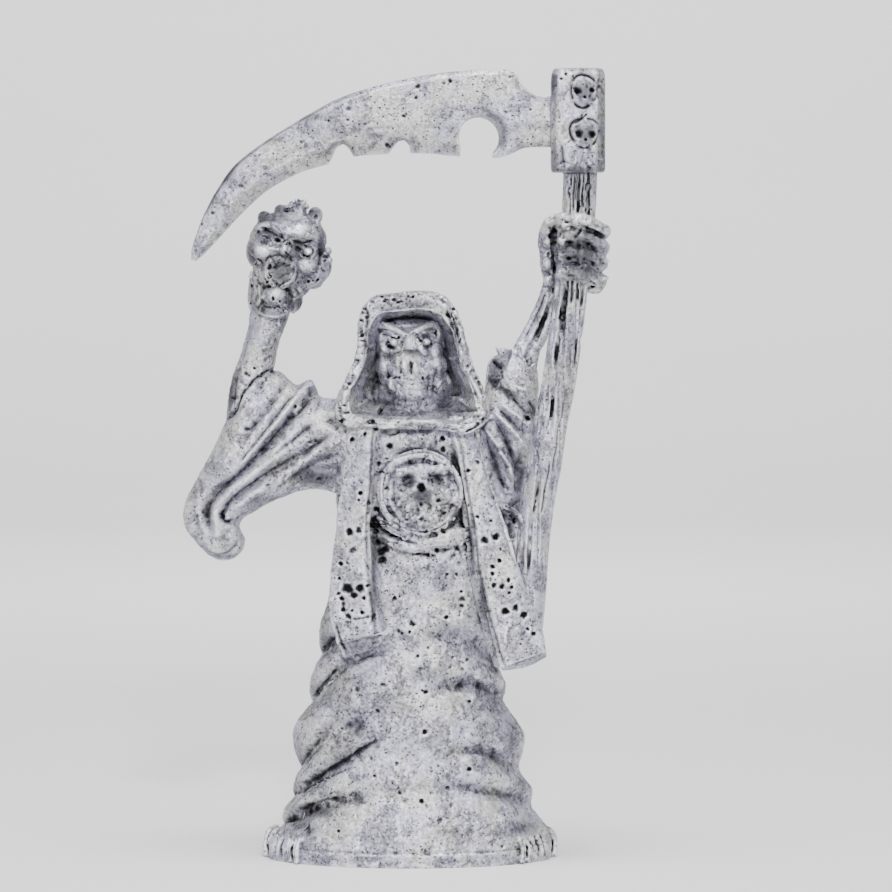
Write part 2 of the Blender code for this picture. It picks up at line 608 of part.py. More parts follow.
def socket():
    halfWidth, halfDepth = inUnits(SOCKET_WIDTH) / 2, inUnits(SOCKET_DEPTH) / 2
    rows = []
    for height, share in ((86.9, 0.93), (87.6, 1.0), (93.0, 1.0), (98.9, 0.99), (99.7, 0.95), (100.0, 0.86)):
        rows.append((height, 21.2 - halfWidth * share, 21.2 + halfWidth * share,
                     BLADE_PLANE - halfDepth * share, BLADE_PLANE + halfDepth * share))
    studs = [
        ball("upper skull", (21.9, BLADE_PLANE - halfDepth, 97.3), (1.6, 0.9, 1.8)),
        ball("lower skull", (22.0, BLADE_PLANE - halfDepth, 91.9), (1.75, 0.9, 1.7)),
    ]
    return [stack("socket", rows, 4.5, 3), *studs]


def band(name, rows):
    """A hanging band on the cloth that backs it."""
    half = inUnits(BAND_THICKNESS) / 2
    front = [(*row, half) for row in rows]
    backing = [
        (x0 + 0.3, y0 + 1.2, z0, x1 - 0.3, y1 + 1.2, z1, 1.3) for x0, y0, z0, x1, y1, z1 in rows
    ]
    return [strip(name, front, 5), strip("backing", backing, 3)]


def bands():
    """The two long bands of a stole that hang down the front."""
    left = band("left band", [
        (-7.6, -4.4, 56.0, -3.4, -5.4, 56.0), (-7.9, -5.6, 53.0, -3.9, -6.4, 53.0),
        (-8.2, -5.6, 48.0, -4.1, -6.8, 48.0), (-9.0, -5.8, 42.5, -4.6, -7.2, 42.5),
        (-9.8, -6.4, 36.5, -4.4, -8.0, 36.5), (-9.9, -7.2, 31.6, -3.9, -8.8, 32.2),
        (-8.9, -8.2, 27.6, -3.3, -9.6, 28.9),
    ])
    right = band("right band", [
        (4.6, -5.2, 56.0, 8.4, -4.2, 56.0), (5.6, -6.2, 52.5, 8.8, -5.2, 52.0),
        (6.4, -6.8, 47.5, 10.3, -5.8, 47.0), (7.4, -7.2, 42.0, 12.3, -6.4, 41.6),
        (8.2, -7.8, 36.0, 14.2, -7.0, 35.4), (9.8, -8.6, 29.6, 16.5, -7.6, 29.8),
        (11.2, -9.0, 25.0, 17.1, -8.0, 26.8),
    ])
    return [*left, *right]


MEDALLION_MIDDLE = (1.35, 46.7)
CHEST_PLANE = -6.6  # the chest's front under the medallion


def medallion():
    """A round plaque with a skull on it."""
    x, z = MEDALLION_MIDDLE
    radius, thick = inUnits(MEDALLION_DIAMETER) / 2, inUnits(MEDALLION_THICKNESS)
    front = CHEST_PLANE - thick / 2
    ring = [
        (x + radius * 0.92 * math.cos(a), front, z + radius * 0.95 * math.sin(a), radius * 0.09)
        for a in np.linspace(0, 2 * math.pi, 33)
    ]
    return [
        disc("dish", x, z, radius * 0.93, front, front + thick, 48),
        tube("ring", ring, 1),
        ball("face", (x + 0.1, front, z + 0.7), (radius * 0.70, 1.2, radius * 0.62)),
        ball("face jaw", (x + 0.5, front, z - 2.0), (radius * 0.44, 1.1, radius * 0.38)),
        tube("left brow", [(x - 3.0, front - 0.8, z + 2.4, 0.35), (x - 0.4, front - 1.2, z + 2.2, 0.4)], 3),
        tube("right brow", [(x + 0.8, front - 1.2, z + 2.3, 0.4), (x + 3.2, front - 0.8, z + 2.6, 0.35)], 3),
    ]


def knot():
    """The two leaf-shaped ends of the cord tied below the medallion."""
    return [
        strip("left leaf", [
            (-4.2, -6.4, 43.4, -4.2, -6.4, 41.8, 0.5), (-1.6, -7.0, 42.2, -2.2, -7.0, 40.4, 0.9),
            (0.8, -7.6, 41.0, 0.6, -7.6, 39.4, 0.9), (2.6, -7.4, 40.4, 2.6, -7.4, 39.0, 0.6)]),
        strip("right leaf", [
            (1.8, -7.4, 40.8, 1.8, -7.4, 39.6, 0.6), (4.2, -7.6, 42.0, 4.4, -7.6, 39.4, 0.9),
            (6.4, -7.0, 42.2, 6.8, -7.0, 40.2, 0.8), (7.4, -6.6, 42.0, 7.4, -6.6, 41.0, 0.4)]),
    ]


# Creases and ridges of the cloth, in (x, z) points as seen from the front: path, width, depth
FRONT_STROKES = [
    ([(-12.2, 57.2), (-15.0, 56.4), (-17.2, 53.8), (-20.2, 50.3), (-24.8, 46.8), (-26.1, 42.6)], 0.75, 0.95),
    ([(-10.2, 55.6), (-13.0, 53.0), (-15.2, 51.0), (-21.0, 46.6), (-23.5, 43.4)], 0.65, 0.9),
    ([(-15.2, 59.6), (-17.6, 57.2), (-19.6, 55.0), (-21.4, 52.8)], 0.7, 0.5),
    ([(-9.2, 53.0), (-12.6, 50.4), (-15.2, 48.6), (-17.6, 47.4)], 0.6, 0.55),
    ([(-13.0, 60.2), (-15.6, 57.0), (-18.6, 53.4), (-21.8, 50.0)], 0.8, -0.5),
    ([(-9.8, 53.8), (-13.2, 52.2), (-16.2, 49.9), (-20.2, 46.7), (-23.4, 44.8)], 0.7, -0.5),
    ([(-23.3, 43.2), (-22.2, 42.6), (-21.4, 42.4)], 0.5, 0.7),
    ([(-14.8, 47.6), (-12.4, 48.6), (-10.4, 49.0), (-8.4, 48.6)], 1.3, 1.1),
    ([(-12.3, 60.2), (-12.2, 57.6)], 0.6, -0.45),
    ([(10.2, 57.6), (12.4, 56.4), (14.8, 53.4)], 0.55, 0.6),
    ([(9.0, 54.0), (10.6, 50.4), (12.2, 45.6)], 0.6, 0.75),
    ([(11.3, 55.6), (12.6, 52.6), (13.8, 48.4)], 0.5, -0.5),
    ([(10.2, 55.2), (11.6, 51.4), (13.2, 47.4)], 0.5, -0.4),
    ([(13.0, 54.2), (13.9, 50.4), (14.2, 46.6)], 0.5, 0.7),
    ([(-2.4, 31.9), (0.6, 32.9), (2.6, 33.2)], 0.6, 0.3),
    ([(-9.2, 18.6), (-7.0, 17.6), (-5.6, 16.2)], 1.3, 0.55),
    ([(-12.4, 9.9), (-9.5, 11.9), (-6.5, 13.9), (-4.0, 15.6)], 0.7, 0.5),
    ([(9.0, 17.8), (11.0, 17.0), (12.5, 15.0), (13.6, 12.8)], 0.6, 0.6),
]
BACK_STROKES = [
    ([(-6.2, 61.0), (-7.6, 52.0), (-7.0, 43.0), (-8.4, 33.0)], 0.9, 0.8),
    ([(-2.2, 64.0), (-3.8, 55.0), (-3.0, 46.0), (-4.4, 38.0)], 1.0, 0.8),
    ([(1.6, 60.0), (1.0, 51.0), (2.2, 42.0), (1.0, 31.0)], 0.8, 0.9),
    ([(5.2, 63.0), (6.6, 53.0), (5.8, 44.0), (7.2, 36.0)], 1.0, 0.8),
    ([(9.4, 56.0), (10.4, 46.0), (10.2, 35.0)], 0.8, 0.7),
    ([(-12.2, 57.2), (-16.2, 54.6), (-20.2, 50.3), (-24.8, 46.4), (-26.0, 43.4)], 0.9, 0.9),
    ([(-10.6, 54.4), (-15.2, 50.6), (-20.6, 46.6), (-23.4, 43.8)], 0.8, 0.8),
    ([(9.6, 56.0), (11.2, 50.0), (12.4, 44.6)], 0.8, 0.7),
    ([(12.4, 60.0), (13.4, 53.0), (13.8, 47.0)], 0.7, 0.6),
]
# Dents of the faces: (x, y, z), radius, depth. The eyes' depth is EYE_DEPTH.
EYES = [
    ((-2.0, -4.1, 65.5), 0.95), ((2.2, -4.1, 65.4), 0.95),
    ((-17.6, -4.8, 78.2), 0.9), ((-13.2, -5.0, 77.5), 0.9),
]
DENTS = [
    ((-16.3, -5.0, 74.4), 1.05, 1.4), ((-17.9, -4.4, 71.5), 0.5, 0.4), ((-16.5, -4.4, 71.5), 0.5, 0.4),
    ((-1.25, -4.6, 62.3), 0.4, 0.5), ((0.2, -4.7, 62.4), 0.4, 0.5), ((1.7, -4.4, 61.6), 0.4, 0.4),
]


def carve(lump):
    """The creases, eyes and mouths, worked into the fused clay."""
    clay = Carver(lump)
    for path, width, depth in FRONT_STROKES:
        clay.stroke(path, width, depth)
    for path, width, depth in BACK_STROKES:
        clay.stroke(path, width, depth, BACK)
    for aside in (-0.55, 0.15, 0.75):
        grain = [(x + aside * share, z) for x, y, z, share in HAFT_LINE if 34 < z < 73]
        clay.stroke(grain, 0.28, 0.4, limits=(-9, -3.8))
    clay.write()
    for place, radius in EYES:
        clay.dab(place, radius, inUnits(EYE_DEPTH))
    for place, radius, depth in DENTS:
        clay.dab(place, radius, depth)
    x, z = MEDALLION_MIDDLE
    plaque = CHEST_PLANE - inUnits(MEDALLION_THICKNESS) / 2 - 0.9
    for aside, up, radius, depth in (
        (-1.6, 1.4, 0.85, 1.2), (2.15, 1.4, 0.85, 1.1), (0.2, 0.4, 0.5, 1.0), (0.3, -1.0, 0.6, 0.8),
    ):
        clay.dab((x + aside, plaque, z + up), radius, depth)
    stud = BLADE_PLANE - inUnits(SOCKET_DEPTH) / 2 - 0.8
    for x, z in ((21.1, 97.4), (22.8, 97.4), (21.2, 92.0), (22.9, 91.9)):
        clay.dab((x, stud, z), 0.5, 0.75)
    clay.write()


def whiteMetal():
    metal = bpy.data.materials.new("white metal")
    metal.use_nodes = True
    shader = metal.node_tree.nodes["Principled BSDF"]
    shader.inputs["Base Color"].default_value = (0.43, 0.43, 0.46, 1)
    shader.inputs["Metallic"].default_value = 0.6
    shader.inputs["Roughness"].default_value = 0.62
    return metal


def flatFoot(figure):
    """Cuts the underside off flat at the floor and closes it with one face."""
    shell = bmesh.new()
    shell.from_mesh(figure.data)
    everything = list(shell.verts) + list(shell.edges) + list(shell.faces)
    bmesh.ops.bisect_plane(
        shell, geom=everything, dist=1e-9, plane_co=(0, 0, 0), plane_no=(0, 0, 1), clear_inner=True,
    )
    rim = [edge for edge in shell.edges if edge.is_boundary]
    bmesh.ops.contextual_create(shell, geom=rim)
    bmesh.ops.recalc_face_normals(shell, faces=shell.faces)
    shell.to_mesh(figure.data)
    shell.free()


def thinned(figure):
    """Collapses the even skin to the face budget, which keeps small faces where the form turns."""
    figure.data.calc_loop_triangles()
    thin = figure.modifiers.new("thin", "DECIMATE")
    thin.ratio = min(1.0, FACE_BUDGET / len(figure.data.loop_triangles))
    return settled(figure)


def build():
    for old in list(bpy.data.objects):
        bpy.data.objects.remove(old)
    forms = [
        plate(), *toes(), robe(), torso(), mantle(), *hood(), *head(), *rightArm(), *trophyHead(),
        sash(), haft(), *leftArm(), *fist(), blade(), *socket(), *bands(), *medallion(), *knot(),
    ]
    figure = fused("wraith_casting", forms, CLAY_GRAIN)
    carve(figure)
    thinned(figure)
    flatFoot(figure)
    figure.data.materials.clear()
    figure.data.materials.append(whiteMetal())
    figure.data.shade_smooth()


build()
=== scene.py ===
# A hooded wraith with a scythe, one small casting in white metal: the finished surface over its CAD solid.
# Lengths are units, hundredths of the figure's height, unless a name ends in Mm. x right, y away, z up.
import math

import bmesh
import bpy
import numpy as np
from mathutils import Matrix, Vector


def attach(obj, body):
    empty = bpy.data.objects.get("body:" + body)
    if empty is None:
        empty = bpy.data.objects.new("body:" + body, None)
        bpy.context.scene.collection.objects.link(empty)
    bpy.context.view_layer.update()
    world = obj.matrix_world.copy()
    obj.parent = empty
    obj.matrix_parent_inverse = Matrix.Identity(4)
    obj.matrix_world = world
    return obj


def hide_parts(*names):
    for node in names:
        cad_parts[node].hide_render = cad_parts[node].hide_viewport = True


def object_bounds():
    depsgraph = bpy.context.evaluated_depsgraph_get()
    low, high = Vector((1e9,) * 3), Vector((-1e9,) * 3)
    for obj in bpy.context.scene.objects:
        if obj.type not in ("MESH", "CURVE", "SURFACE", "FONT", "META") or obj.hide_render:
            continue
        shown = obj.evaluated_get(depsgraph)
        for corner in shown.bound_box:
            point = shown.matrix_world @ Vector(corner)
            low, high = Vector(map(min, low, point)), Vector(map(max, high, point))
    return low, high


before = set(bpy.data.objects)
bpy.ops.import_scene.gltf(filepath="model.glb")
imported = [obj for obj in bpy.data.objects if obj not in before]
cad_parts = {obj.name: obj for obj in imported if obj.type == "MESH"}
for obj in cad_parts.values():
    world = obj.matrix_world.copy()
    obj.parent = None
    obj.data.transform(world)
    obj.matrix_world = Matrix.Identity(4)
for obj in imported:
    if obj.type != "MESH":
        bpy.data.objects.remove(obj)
cadLow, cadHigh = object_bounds()
unit = (cadHigh.z - cadLow.z) / 100
mm = 0.001


def mmToUnits(size):
    return size * mm / unit


def toLinear(code):
    # sRGB hex to the linear colour that the shader wants
    found = []
    for i in (1, 3, 5):
        share = int(code[i:i + 2], 16) / 255
        found.append(share / 12.92 if share <= 0.04045 else ((share + 0.055) / 1.055) ** 2.4)
    return (*found, 1.0)


def addNode(tree, kind, settings=None, values=None, links=None):
    # one node: its own settings, its inputs' values, and links from other nodes' outputs to its inputs
    made = tree.nodes.new(kind)
    for name, value in (settings or {}).items():
        setattr(made, name, value)
    for socket, value in (values or {}).items():
        made.inputs[socket].default_value = value
    for socket, source in (links or {}).items():
        tree.links.new(source, made.inputs[socket])
    return made


# Clay: closed forms, pressed together and carved

def through(rows, perSpan=5):
    # rows of numbers on a smooth curve through the given rows
    rows = np.array(rows, float)
    ends = np.vstack([2 * rows[0] - rows[1], rows, 2 * rows[-1] - rows[-2]])
    found = []
    for i in range(1, len(ends) - 2):
        before, start, end, after = ends[i - 1:i + 3]
        for t in np.arange(perSpan) / perSpan:
            found.append(0.5 * (2 * start + (end - before) * t
                                + (2 * before - 5 * start + 4 * end - after) * t ** 2
                                + (3 * start - before - 3 * end + after) * t ** 3))
    return np.array(found + [rows[-1]])


def unitRing(count, squareness=2.0):
    # cosine and sine round a ring; over 2 makes it boxy
    angle = np.arange(count) * 2 * math.pi / count
    power = 2 / squareness
    return (np.sign(np.cos(angle)) * np.abs(np.cos(angle)) ** power,
            np.sign(np.sin(angle)) * np.abs(np.sin(angle)) ** power)


def newForm(name, points, faces):
    mesh = bpy.data.meshes.new(name)
    mesh.from_pydata((np.array(points, float) * unit).tolist(), [], faces)
    shell = bmesh.new()
    shell.from_mesh(mesh)
    bmesh.ops.recalc_face_normals(shell, faces=shell.faces)
    if shell.calc_volume(signed=True) < 0:
        bmesh.ops.reverse_faces(shell, faces=shell.faces)
    shell.to_mesh(mesh)
    shell.free()
    form = bpy.data.objects.new(name, mesh)
    bpy.context.scene.collection.objects.link(form)
    return form


def loft(name, rings):
    rings = np.array(rings, float)
    levels, count = rings.shape[:2]
    faces = [tuple(range(count)), tuple((levels - 1) * count + i for i in range(count))]
    for level in range(levels - 1):
        for i in range(count):
            j = (i + 1) % count
            low = level * count
            faces.append((low + i, low + j, low + count + j, low + count + i))
    return newForm(name, rings.reshape(-1, 3), faces)


def stack(name, rows, squareness=2.4, perSpan=8, around=64):
    # level rings, from rows of (height, left, right, front, back)
    across, along = unitRing(around, squareness)
    rings = []
    for height, left, right, front, back in through(rows, perSpan):
        x = (left + right) / 2 + (right - left) / 2 * across
        y = (front + back) / 2 + (back - front) / 2 * along
        rings.append(np.stack([x, y, np.full(around, height)], axis=1))
    return loft(name, rings)


def strip(name, rows, squareness=2.4, perSpan=8, around=64):
    # rings across a path, from rows of (one edge x, y, z, other edge x, y, z, half the depth)
    rows = through(rows, perSpan)
    across, along = unitRing(around, squareness)
    first, second, depth = rows[:, 0:3], rows[:, 3:6], rows[:, 6]
    middle = (first + second) / 2
    travel = np.gradient(middle, axis=0)
    outward = np.cross(second - first, travel)
    outward /= np.linalg.norm(outward, axis=1)[:, None] + 1e-9
    return loft(name, [
        middle[i] + np.outer(across, (second[i] - first[i]) / 2) + np.outer(along, outward[i] * depth[i])
        for i in range(len(rows))
    ])


def tube(name, rows, perSpan=5, around=18):
    # a round form with closed ends, from rows of (x, y, z, radius)
    rows = through(rows, perSpan)
    centre, radius = rows[:, :3], rows[:, 3]
    travel = np.gradient(centre, axis=0)
    travel /= np.linalg.norm(travel, axis=1)[:, None]
    across, along = unitRing(around)
    side = np.cross(travel[0], [0.31, 0.93, 0.17])
    rings = []
    for i, heading in enumerate(travel):
        side = side - heading * np.dot(side, heading)
        side /= np.linalg.norm(side)
        up = np.cross(heading, side)
        rings.append(centre[i] + radius[i] * (np.outer(across, side) + np.outer(along, up)))
    start = [centre[0] + (point - centre[0]) * 0.6 - travel[0] * radius[0] * 0.7 for point in rings[0]]
    finish = [centre[-1] + (point - centre[-1]) * 0.6 + travel[-1] * radius[-1] * 0.7 for point in rings[-1]]
    return loft(name, [start, *rings, finish])


def ball(name, centre, radii):
    shell = bmesh.new()
    bmesh.ops.create_icosphere(shell, subdivisions=4, radius=1.0)
    mesh = bpy.data.meshes.new(name)
    place = Matrix.Translation(Vector(centre) * unit) @ Matrix.Diagonal((*(Vector(radii) * unit), 1))
    bmesh.ops.transform(shell, matrix=place, verts=shell.verts)
    shell.to_mesh(mesh)
    shell.free()
    form = bpy.data.objects.new(name, mesh)
    bpy.context.scene.collection.objects.link(form)
    return form


def prism(name, outline, front, back):
    return loft(name, [[(x, y, z) for x, z in outline] for y in (front, back)])


def circle(x, z, radius, count=48):
    turns = [i * 2 * math.pi / count for i in range(count)]
    return [(x + radius * math.cos(a), z + radius * math.sin(a)) for a in turns]


def ringOf(name, x, z, wide, high, y, thick, count=48):
    # a round wire bent into an oval that faces the front
    turns = np.linspace(0, 2 * math.pi, count + 1)
    return tube(name, [(x + wide * math.cos(a), y, z + high * math.sin(a), thick) for a in turns], 1)


def remove(form):
    data = form.data
    bpy.data.objects.remove(form)
    if isinstance(data, bpy.types.Mesh):
        bpy.data.meshes.remove(data)


def settled(form):
    # the form with its modifiers applied
    graph = bpy.context.evaluated_depsgraph_get()
    mesh = bpy.data.meshes.new_from_object(form.evaluated_get(graph))
    old = form.data
    form.modifiers.clear()
    form.data = mesh
    bpy.data.meshes.remove(old)
    return form


def cutFrom(form, cutters):
    for cutter in cutters:
        cut = form.modifiers.new("cut", "BOOLEAN")
        cut.operation = "DIFFERENCE"
        cut.object = cutter
    settled(form)
    for cutter in cutters:
        remove(cutter)
    return form


def fused(name, forms, grainMm, softening):
    shell = bmesh.new()
    for form in forms:
        shell.from_mesh(form.data)
    mesh = bpy.data.meshes.new(name)
    shell.to_mesh(mesh)
    shell.free()
    for form in forms:
        remove(form)
    lump = bpy.data.objects.new(name, mesh)
    bpy.context.scene.collection.objects.link(lump)
    skin = lump.modifiers.new("fuse", "REMESH")
    skin.mode = "VOXEL"
    skin.voxel_size = grainMm * mm
    soft = lump.modifiers.new("soften", "SMOOTH")
    soft.factor = 0.5
    soft.iterations = softening
    return settled(lump)


class Clay:
    # the skin of a lump, pushed in and out along strokes and pits as a modelling tool would

    def __init__(self, lump):
        self.mesh = lump.data
        self.points = np.empty(len(self.mesh.vertices) * 3)
        self.mesh.vertices.foreach_get("co", self.points)
        self.points = self.points.reshape(-1, 3) / unit
        # darkening laid by strokes and pits: partly oxide, partly painted shade
        self.oxideAndPaintedLight = np.zeros(len(self.points))
        self.readNormals()

    def readNormals(self):
        self.normals = np.empty(len(self.points) * 3)
        self.mesh.vertices.foreach_get("normal", self.normals)
        self.normals = self.normals.reshape(-1, 3)

    def renew(self):
        self.mesh.vertices.foreach_set("co", (self.points * unit).ravel())
        self.mesh.update()
        self.readNormals()

    def stroke(self, path, width, depth, side=-1, power=2.0, oxideAndPaintedLight=None):
        # a groove along a path of (x, z) that holds oxide and painted shade; a depth below 0 raises a ridge and
        # clears them, and side 1 carves the back; a given amount lays that much oxide and painted shade whatever
        # the depth; the touch is felt out to a few widths and fades towards both ends
        path = through([tuple(point) for point in path], 5) if len(path) > 2 else np.array(path, float)
        reach = 2.4 * width
        x, z = self.points[:, 0], self.points[:, 2]
        near = ((x > path[:, 0].min() - reach) & (x < path[:, 0].max() + reach)
                & (z > path[:, 1].min() - reach) & (z < path[:, 1].max() + reach)
                & (self.normals[:, 1] * side > 0.05))
        chosen = np.nonzero(near)[0]
        flat = self.points[chosen][:, [0, 2]]
        closest = np.full(len(chosen), 1e9)
        ends = np.zeros(len(chosen))
        for i, (start, end) in enumerate(zip(path[:-1], path[1:])):
            run = end - start
            share = np.clip(((flat - start) @ run) / (run @ run + 1e-9), 0, 1)
            away = np.linalg.norm(flat - start - share[:, None] * run, axis=1)
            nearer = away < closest
            closest[nearer] = away[nearer]
            ends[nearer] = (i + share[nearer]) / (len(path) - 1)
        fade = np.clip(np.minimum(ends, 1 - ends) * 6 + 0.35, 0, 1)
        facing = np.clip(self.normals[chosen, 1] * side * 2.5, 0, 1)
        push = depth * np.exp(-((closest / width) ** power)) * facing * fade
        self.points[chosen] -= self.normals[chosen] * push[:, None]
        amount = np.clip(0.42 * depth, -1, 0.24) if oxideAndPaintedLight is None else oxideAndPaintedLight
        spread = amount * np.exp(-((closest / (1.5 * width)) ** 2)) * facing * fade
        before = self.oxideAndPaintedLight[chosen]
        self.oxideAndPaintedLight[chosen] = np.maximum(before, spread) if amount > 0 else before * (1 + spread)

    def pit(self, x, z, width, depth, height=None, turn=0.0, side=-1):
        # a steep-walled hole or, with a depth below 0, a boss, on the surface that shows at (x, z)
        height = height or width
        across = self.points[:, 0] - x
        up = self.points[:, 2] - z
        reach = 1.6 * max(width, height)
        near = (np.abs(across) < reach) & (np.abs(up) < reach) & (self.normals[:, 1] * side > 0.1)
        near = np.nonzero(near)[0]
        if not len(near):
            return
        depths = self.points[near, 1] * side
        near = near[depths > depths.max() - 2.0]
        cos, sin = math.cos(math.radians(turn)), math.sin(math.radians(turn))
        along = (across[near] * cos + up[near] * sin) / width
        over = (up[near] * cos - across[near] * sin) / height
        bearing = np.arctan2(over, along)
        ragged = (1 + 0.09 * np.sin(2 * bearing + 7 * x) + 0.06 * np.sin(3 * bearing + 5 * z)
                  + 0.05 * np.sin(5 * bearing + 9 * x + z))
        push = depth * np.exp(-((along ** 2 + over ** 2) / ragged ** 2) ** 1.6)
        self.points[near, 1] -= push * side
        # the hole is darkened, partly as oxide, partly as painted shade
        self.oxideAndPaintedLight[near] = np.maximum(self.oxideAndPaintedLight[near], np.clip(0.5 * push, 0, 0.35))

    def strokes(self, rows, power=2.0, side=-1, widen=1.0, deepen=1.0):
        for path, width, depth in rows:
            self.stroke(path, widen * width, deepen * depth, side, power)

    def pits(self, rows):
        for x, z, width, depth in rows:
            self.pit(x, z, width, depth)

    def toolMarks(self, low, high, count, width, depth, seed, slant=0.0, side=-1):
        # short random marks between two corners (x, z), about half of them raised
        chance = np.random.default_rng(seed)
        for middle in chance.uniform(low, high, (count, 2)):
            angle = math.radians(slant) + chance.normal(0, 0.6)
            run = chance.uniform(0.8, 3.2) * width * np.array([math.cos(angle), math.sin(angle)])
            bend = chance.normal(0, 0.6 * width, 2)
            self.stroke([middle - run, middle + bend, middle + run], width * chance.uniform(0.6, 1.3),
                        depth * chance.normal(0, 1), side, 1.7)


# Geometry Nodes

def newTree(name, inputs):
    tree = bpy.data.node_groups.new(name, "GeometryNodeTree")
    tree.interface.new_socket("Geometry", in_out="INPUT", socket_type="NodeSocketGeometry")
    for label, kind, value in inputs:
        made = tree.interface.new_socket(label, in_out="INPUT", socket_type=kind)
        if value is not None:
            made.default_value = value
    tree.interface.new_socket("Geometry", in_out="OUTPUT", socket_type="NodeSocketGeometry")
    return tree


def closeTree(tree, geometry, metal):
    real = addNode(tree, "GeometryNodeRealizeInstances", links={0: geometry})
    dressed = addNode(tree, "GeometryNodeSetMaterial", links={0: real.outputs[0], 2: metal})
    out = tree.nodes.new("NodeGroupOutput")
    tree.links.new(dressed.outputs[0], out.inputs[0])


def grown(form, tree, values):
    # the form after a Geometry Nodes modifier, as a plain mesh
    modifier = form.modifiers.new(tree.name, "NODES")
    modifier.node_group = tree
    for item in tree.interface.items_tree:
        if item.item_type == "SOCKET" and item.in_out == "INPUT" and item.name in values:
            modifier[item.identifier] = values[item.name]
    graph = bpy.context.evaluated_depsgraph_get()
    mesh = bpy.data.meshes.new_from_object(form.evaluated_get(graph))
    form.modifiers.clear()
    if form.type == "MESH":
        old = form.data
        form.data = mesh
        bpy.data.meshes.remove(old)
        return form
    made = bpy.data.objects.new(form.name, mesh)
    bpy.context.scene.collection.objects.link(made)
    bpy.data.objects.remove(form)
    return made


def castingSkinTree():
    # the rough skin of a gravity casting: gas pits of mixed size and a fine uneven grain
    tree = newTree("castingSkin", [
        ("Pits per m2", "NodeSocketFloat", 1.5e6), ("Pit radius", "NodeSocketFloat", 8e-5),
        ("Pit depth", "NodeSocketFloat", 6e-5), ("Grain size", "NodeSocketFloat", 3e-4),
        ("Grain depth", "NodeSocketFloat", 2e-5), ("Seed", "NodeSocketInt", 3),
        ("Metal", "NodeSocketMaterial", None),
    ])
    given = tree.nodes.new("NodeGroupInput").outputs
    spots = addNode(tree, "GeometryNodeDistributePointsOnFaces", {"distribute_method": "RANDOM"}, links={
        "Mesh": given["Geometry"], "Density": given["Pits per m2"], "Seed": given["Seed"]})
    place = addNode(tree, "GeometryNodeInputPosition").outputs[0]
    nearest = addNode(tree, "GeometryNodeSampleNearest", {"domain": "POINT"}, links={
        "Geometry": spots.outputs["Points"], "Sample Position": place}).outputs[0]
    spot = addNode(tree, "GeometryNodeSampleIndex", {"data_type": "FLOAT_VECTOR", "domain": "POINT"}, links={
        "Geometry": spots.outputs["Points"], "Value": place, "Index": nearest}).outputs[0]
    size = addNode(tree, "FunctionNodeRandomValue", {"data_type": "FLOAT"}, {2: 0.25, 3: 1.0}, {
        "ID": nearest, "Seed": given["Seed"]}).outputs[1]
    radius = addNode(tree, "ShaderNodeMath", {"operation": "MULTIPLY"}, links={
        0: given["Pit radius"], 1: size}).outputs[0]
    away = addNode(tree, "ShaderNodeVectorMath", {"operation": "DISTANCE"}, links={0: place, 1: spot}).outputs[1]
    share = addNode(tree, "ShaderNodeMath", {"operation": "DIVIDE"}, links={0: away, 1: radius}).outputs[0]
    bowl = addNode(tree, "ShaderNodeMapRange", {"interpolation_type": "SMOOTHSTEP"}, {
        "From Min": 0.25, "From Max": 1.0, "To Min": 1.0, "To Max": 0.0}, {"Value": share}).outputs[0]
    deep = addNode(tree, "ShaderNodeMath", {"operation": "MULTIPLY"}, links={
        0: given["Pit depth"], 1: size}).outputs[0]
    dent = addNode(tree, "ShaderNodeMath", {"operation": "MULTIPLY"}, links={0: bowl, 1: deep}).outputs[0]
    often = addNode(tree, "ShaderNodeMath", {"operation": "DIVIDE"}, {0: 1.0}, {1: given["Grain size"]}).outputs[0]
    grain = addNode(tree, "ShaderNodeTexNoise", {"noise_dimensions": "3D"}, {"Detail": 4.0, "Roughness": 0.6}, {
        "Vector": place, "Scale": often}).outputs[0]
    uneven = addNode(tree, "ShaderNodeMath", {"operation": "SUBTRACT"}, {1: 0.5}, {0: grain}).outputs[0]
    swell = addNode(tree, "ShaderNodeMath", {"operation": "MULTIPLY"}, links={
        0: uneven, 1: given["Grain depth"]}).outputs[0]
    total = addNode(tree, "ShaderNodeMath", {"operation": "SUBTRACT"}, links={0: swell, 1: dent}).outputs[0]
    normal = addNode(tree, "GeometryNodeInputNormal").outputs[0]
    move = addNode(tree, "ShaderNodeVectorMath", {"operation": "SCALE"},
                   links={0: normal, "Scale": total}).outputs[0]
    moved = addNode(tree, "GeometryNodeSetPosition", links={"Geometry": given["Geometry"], "Offset": move})
    closeTree(tree, moved.outputs[0], given["Metal"])
    return tree


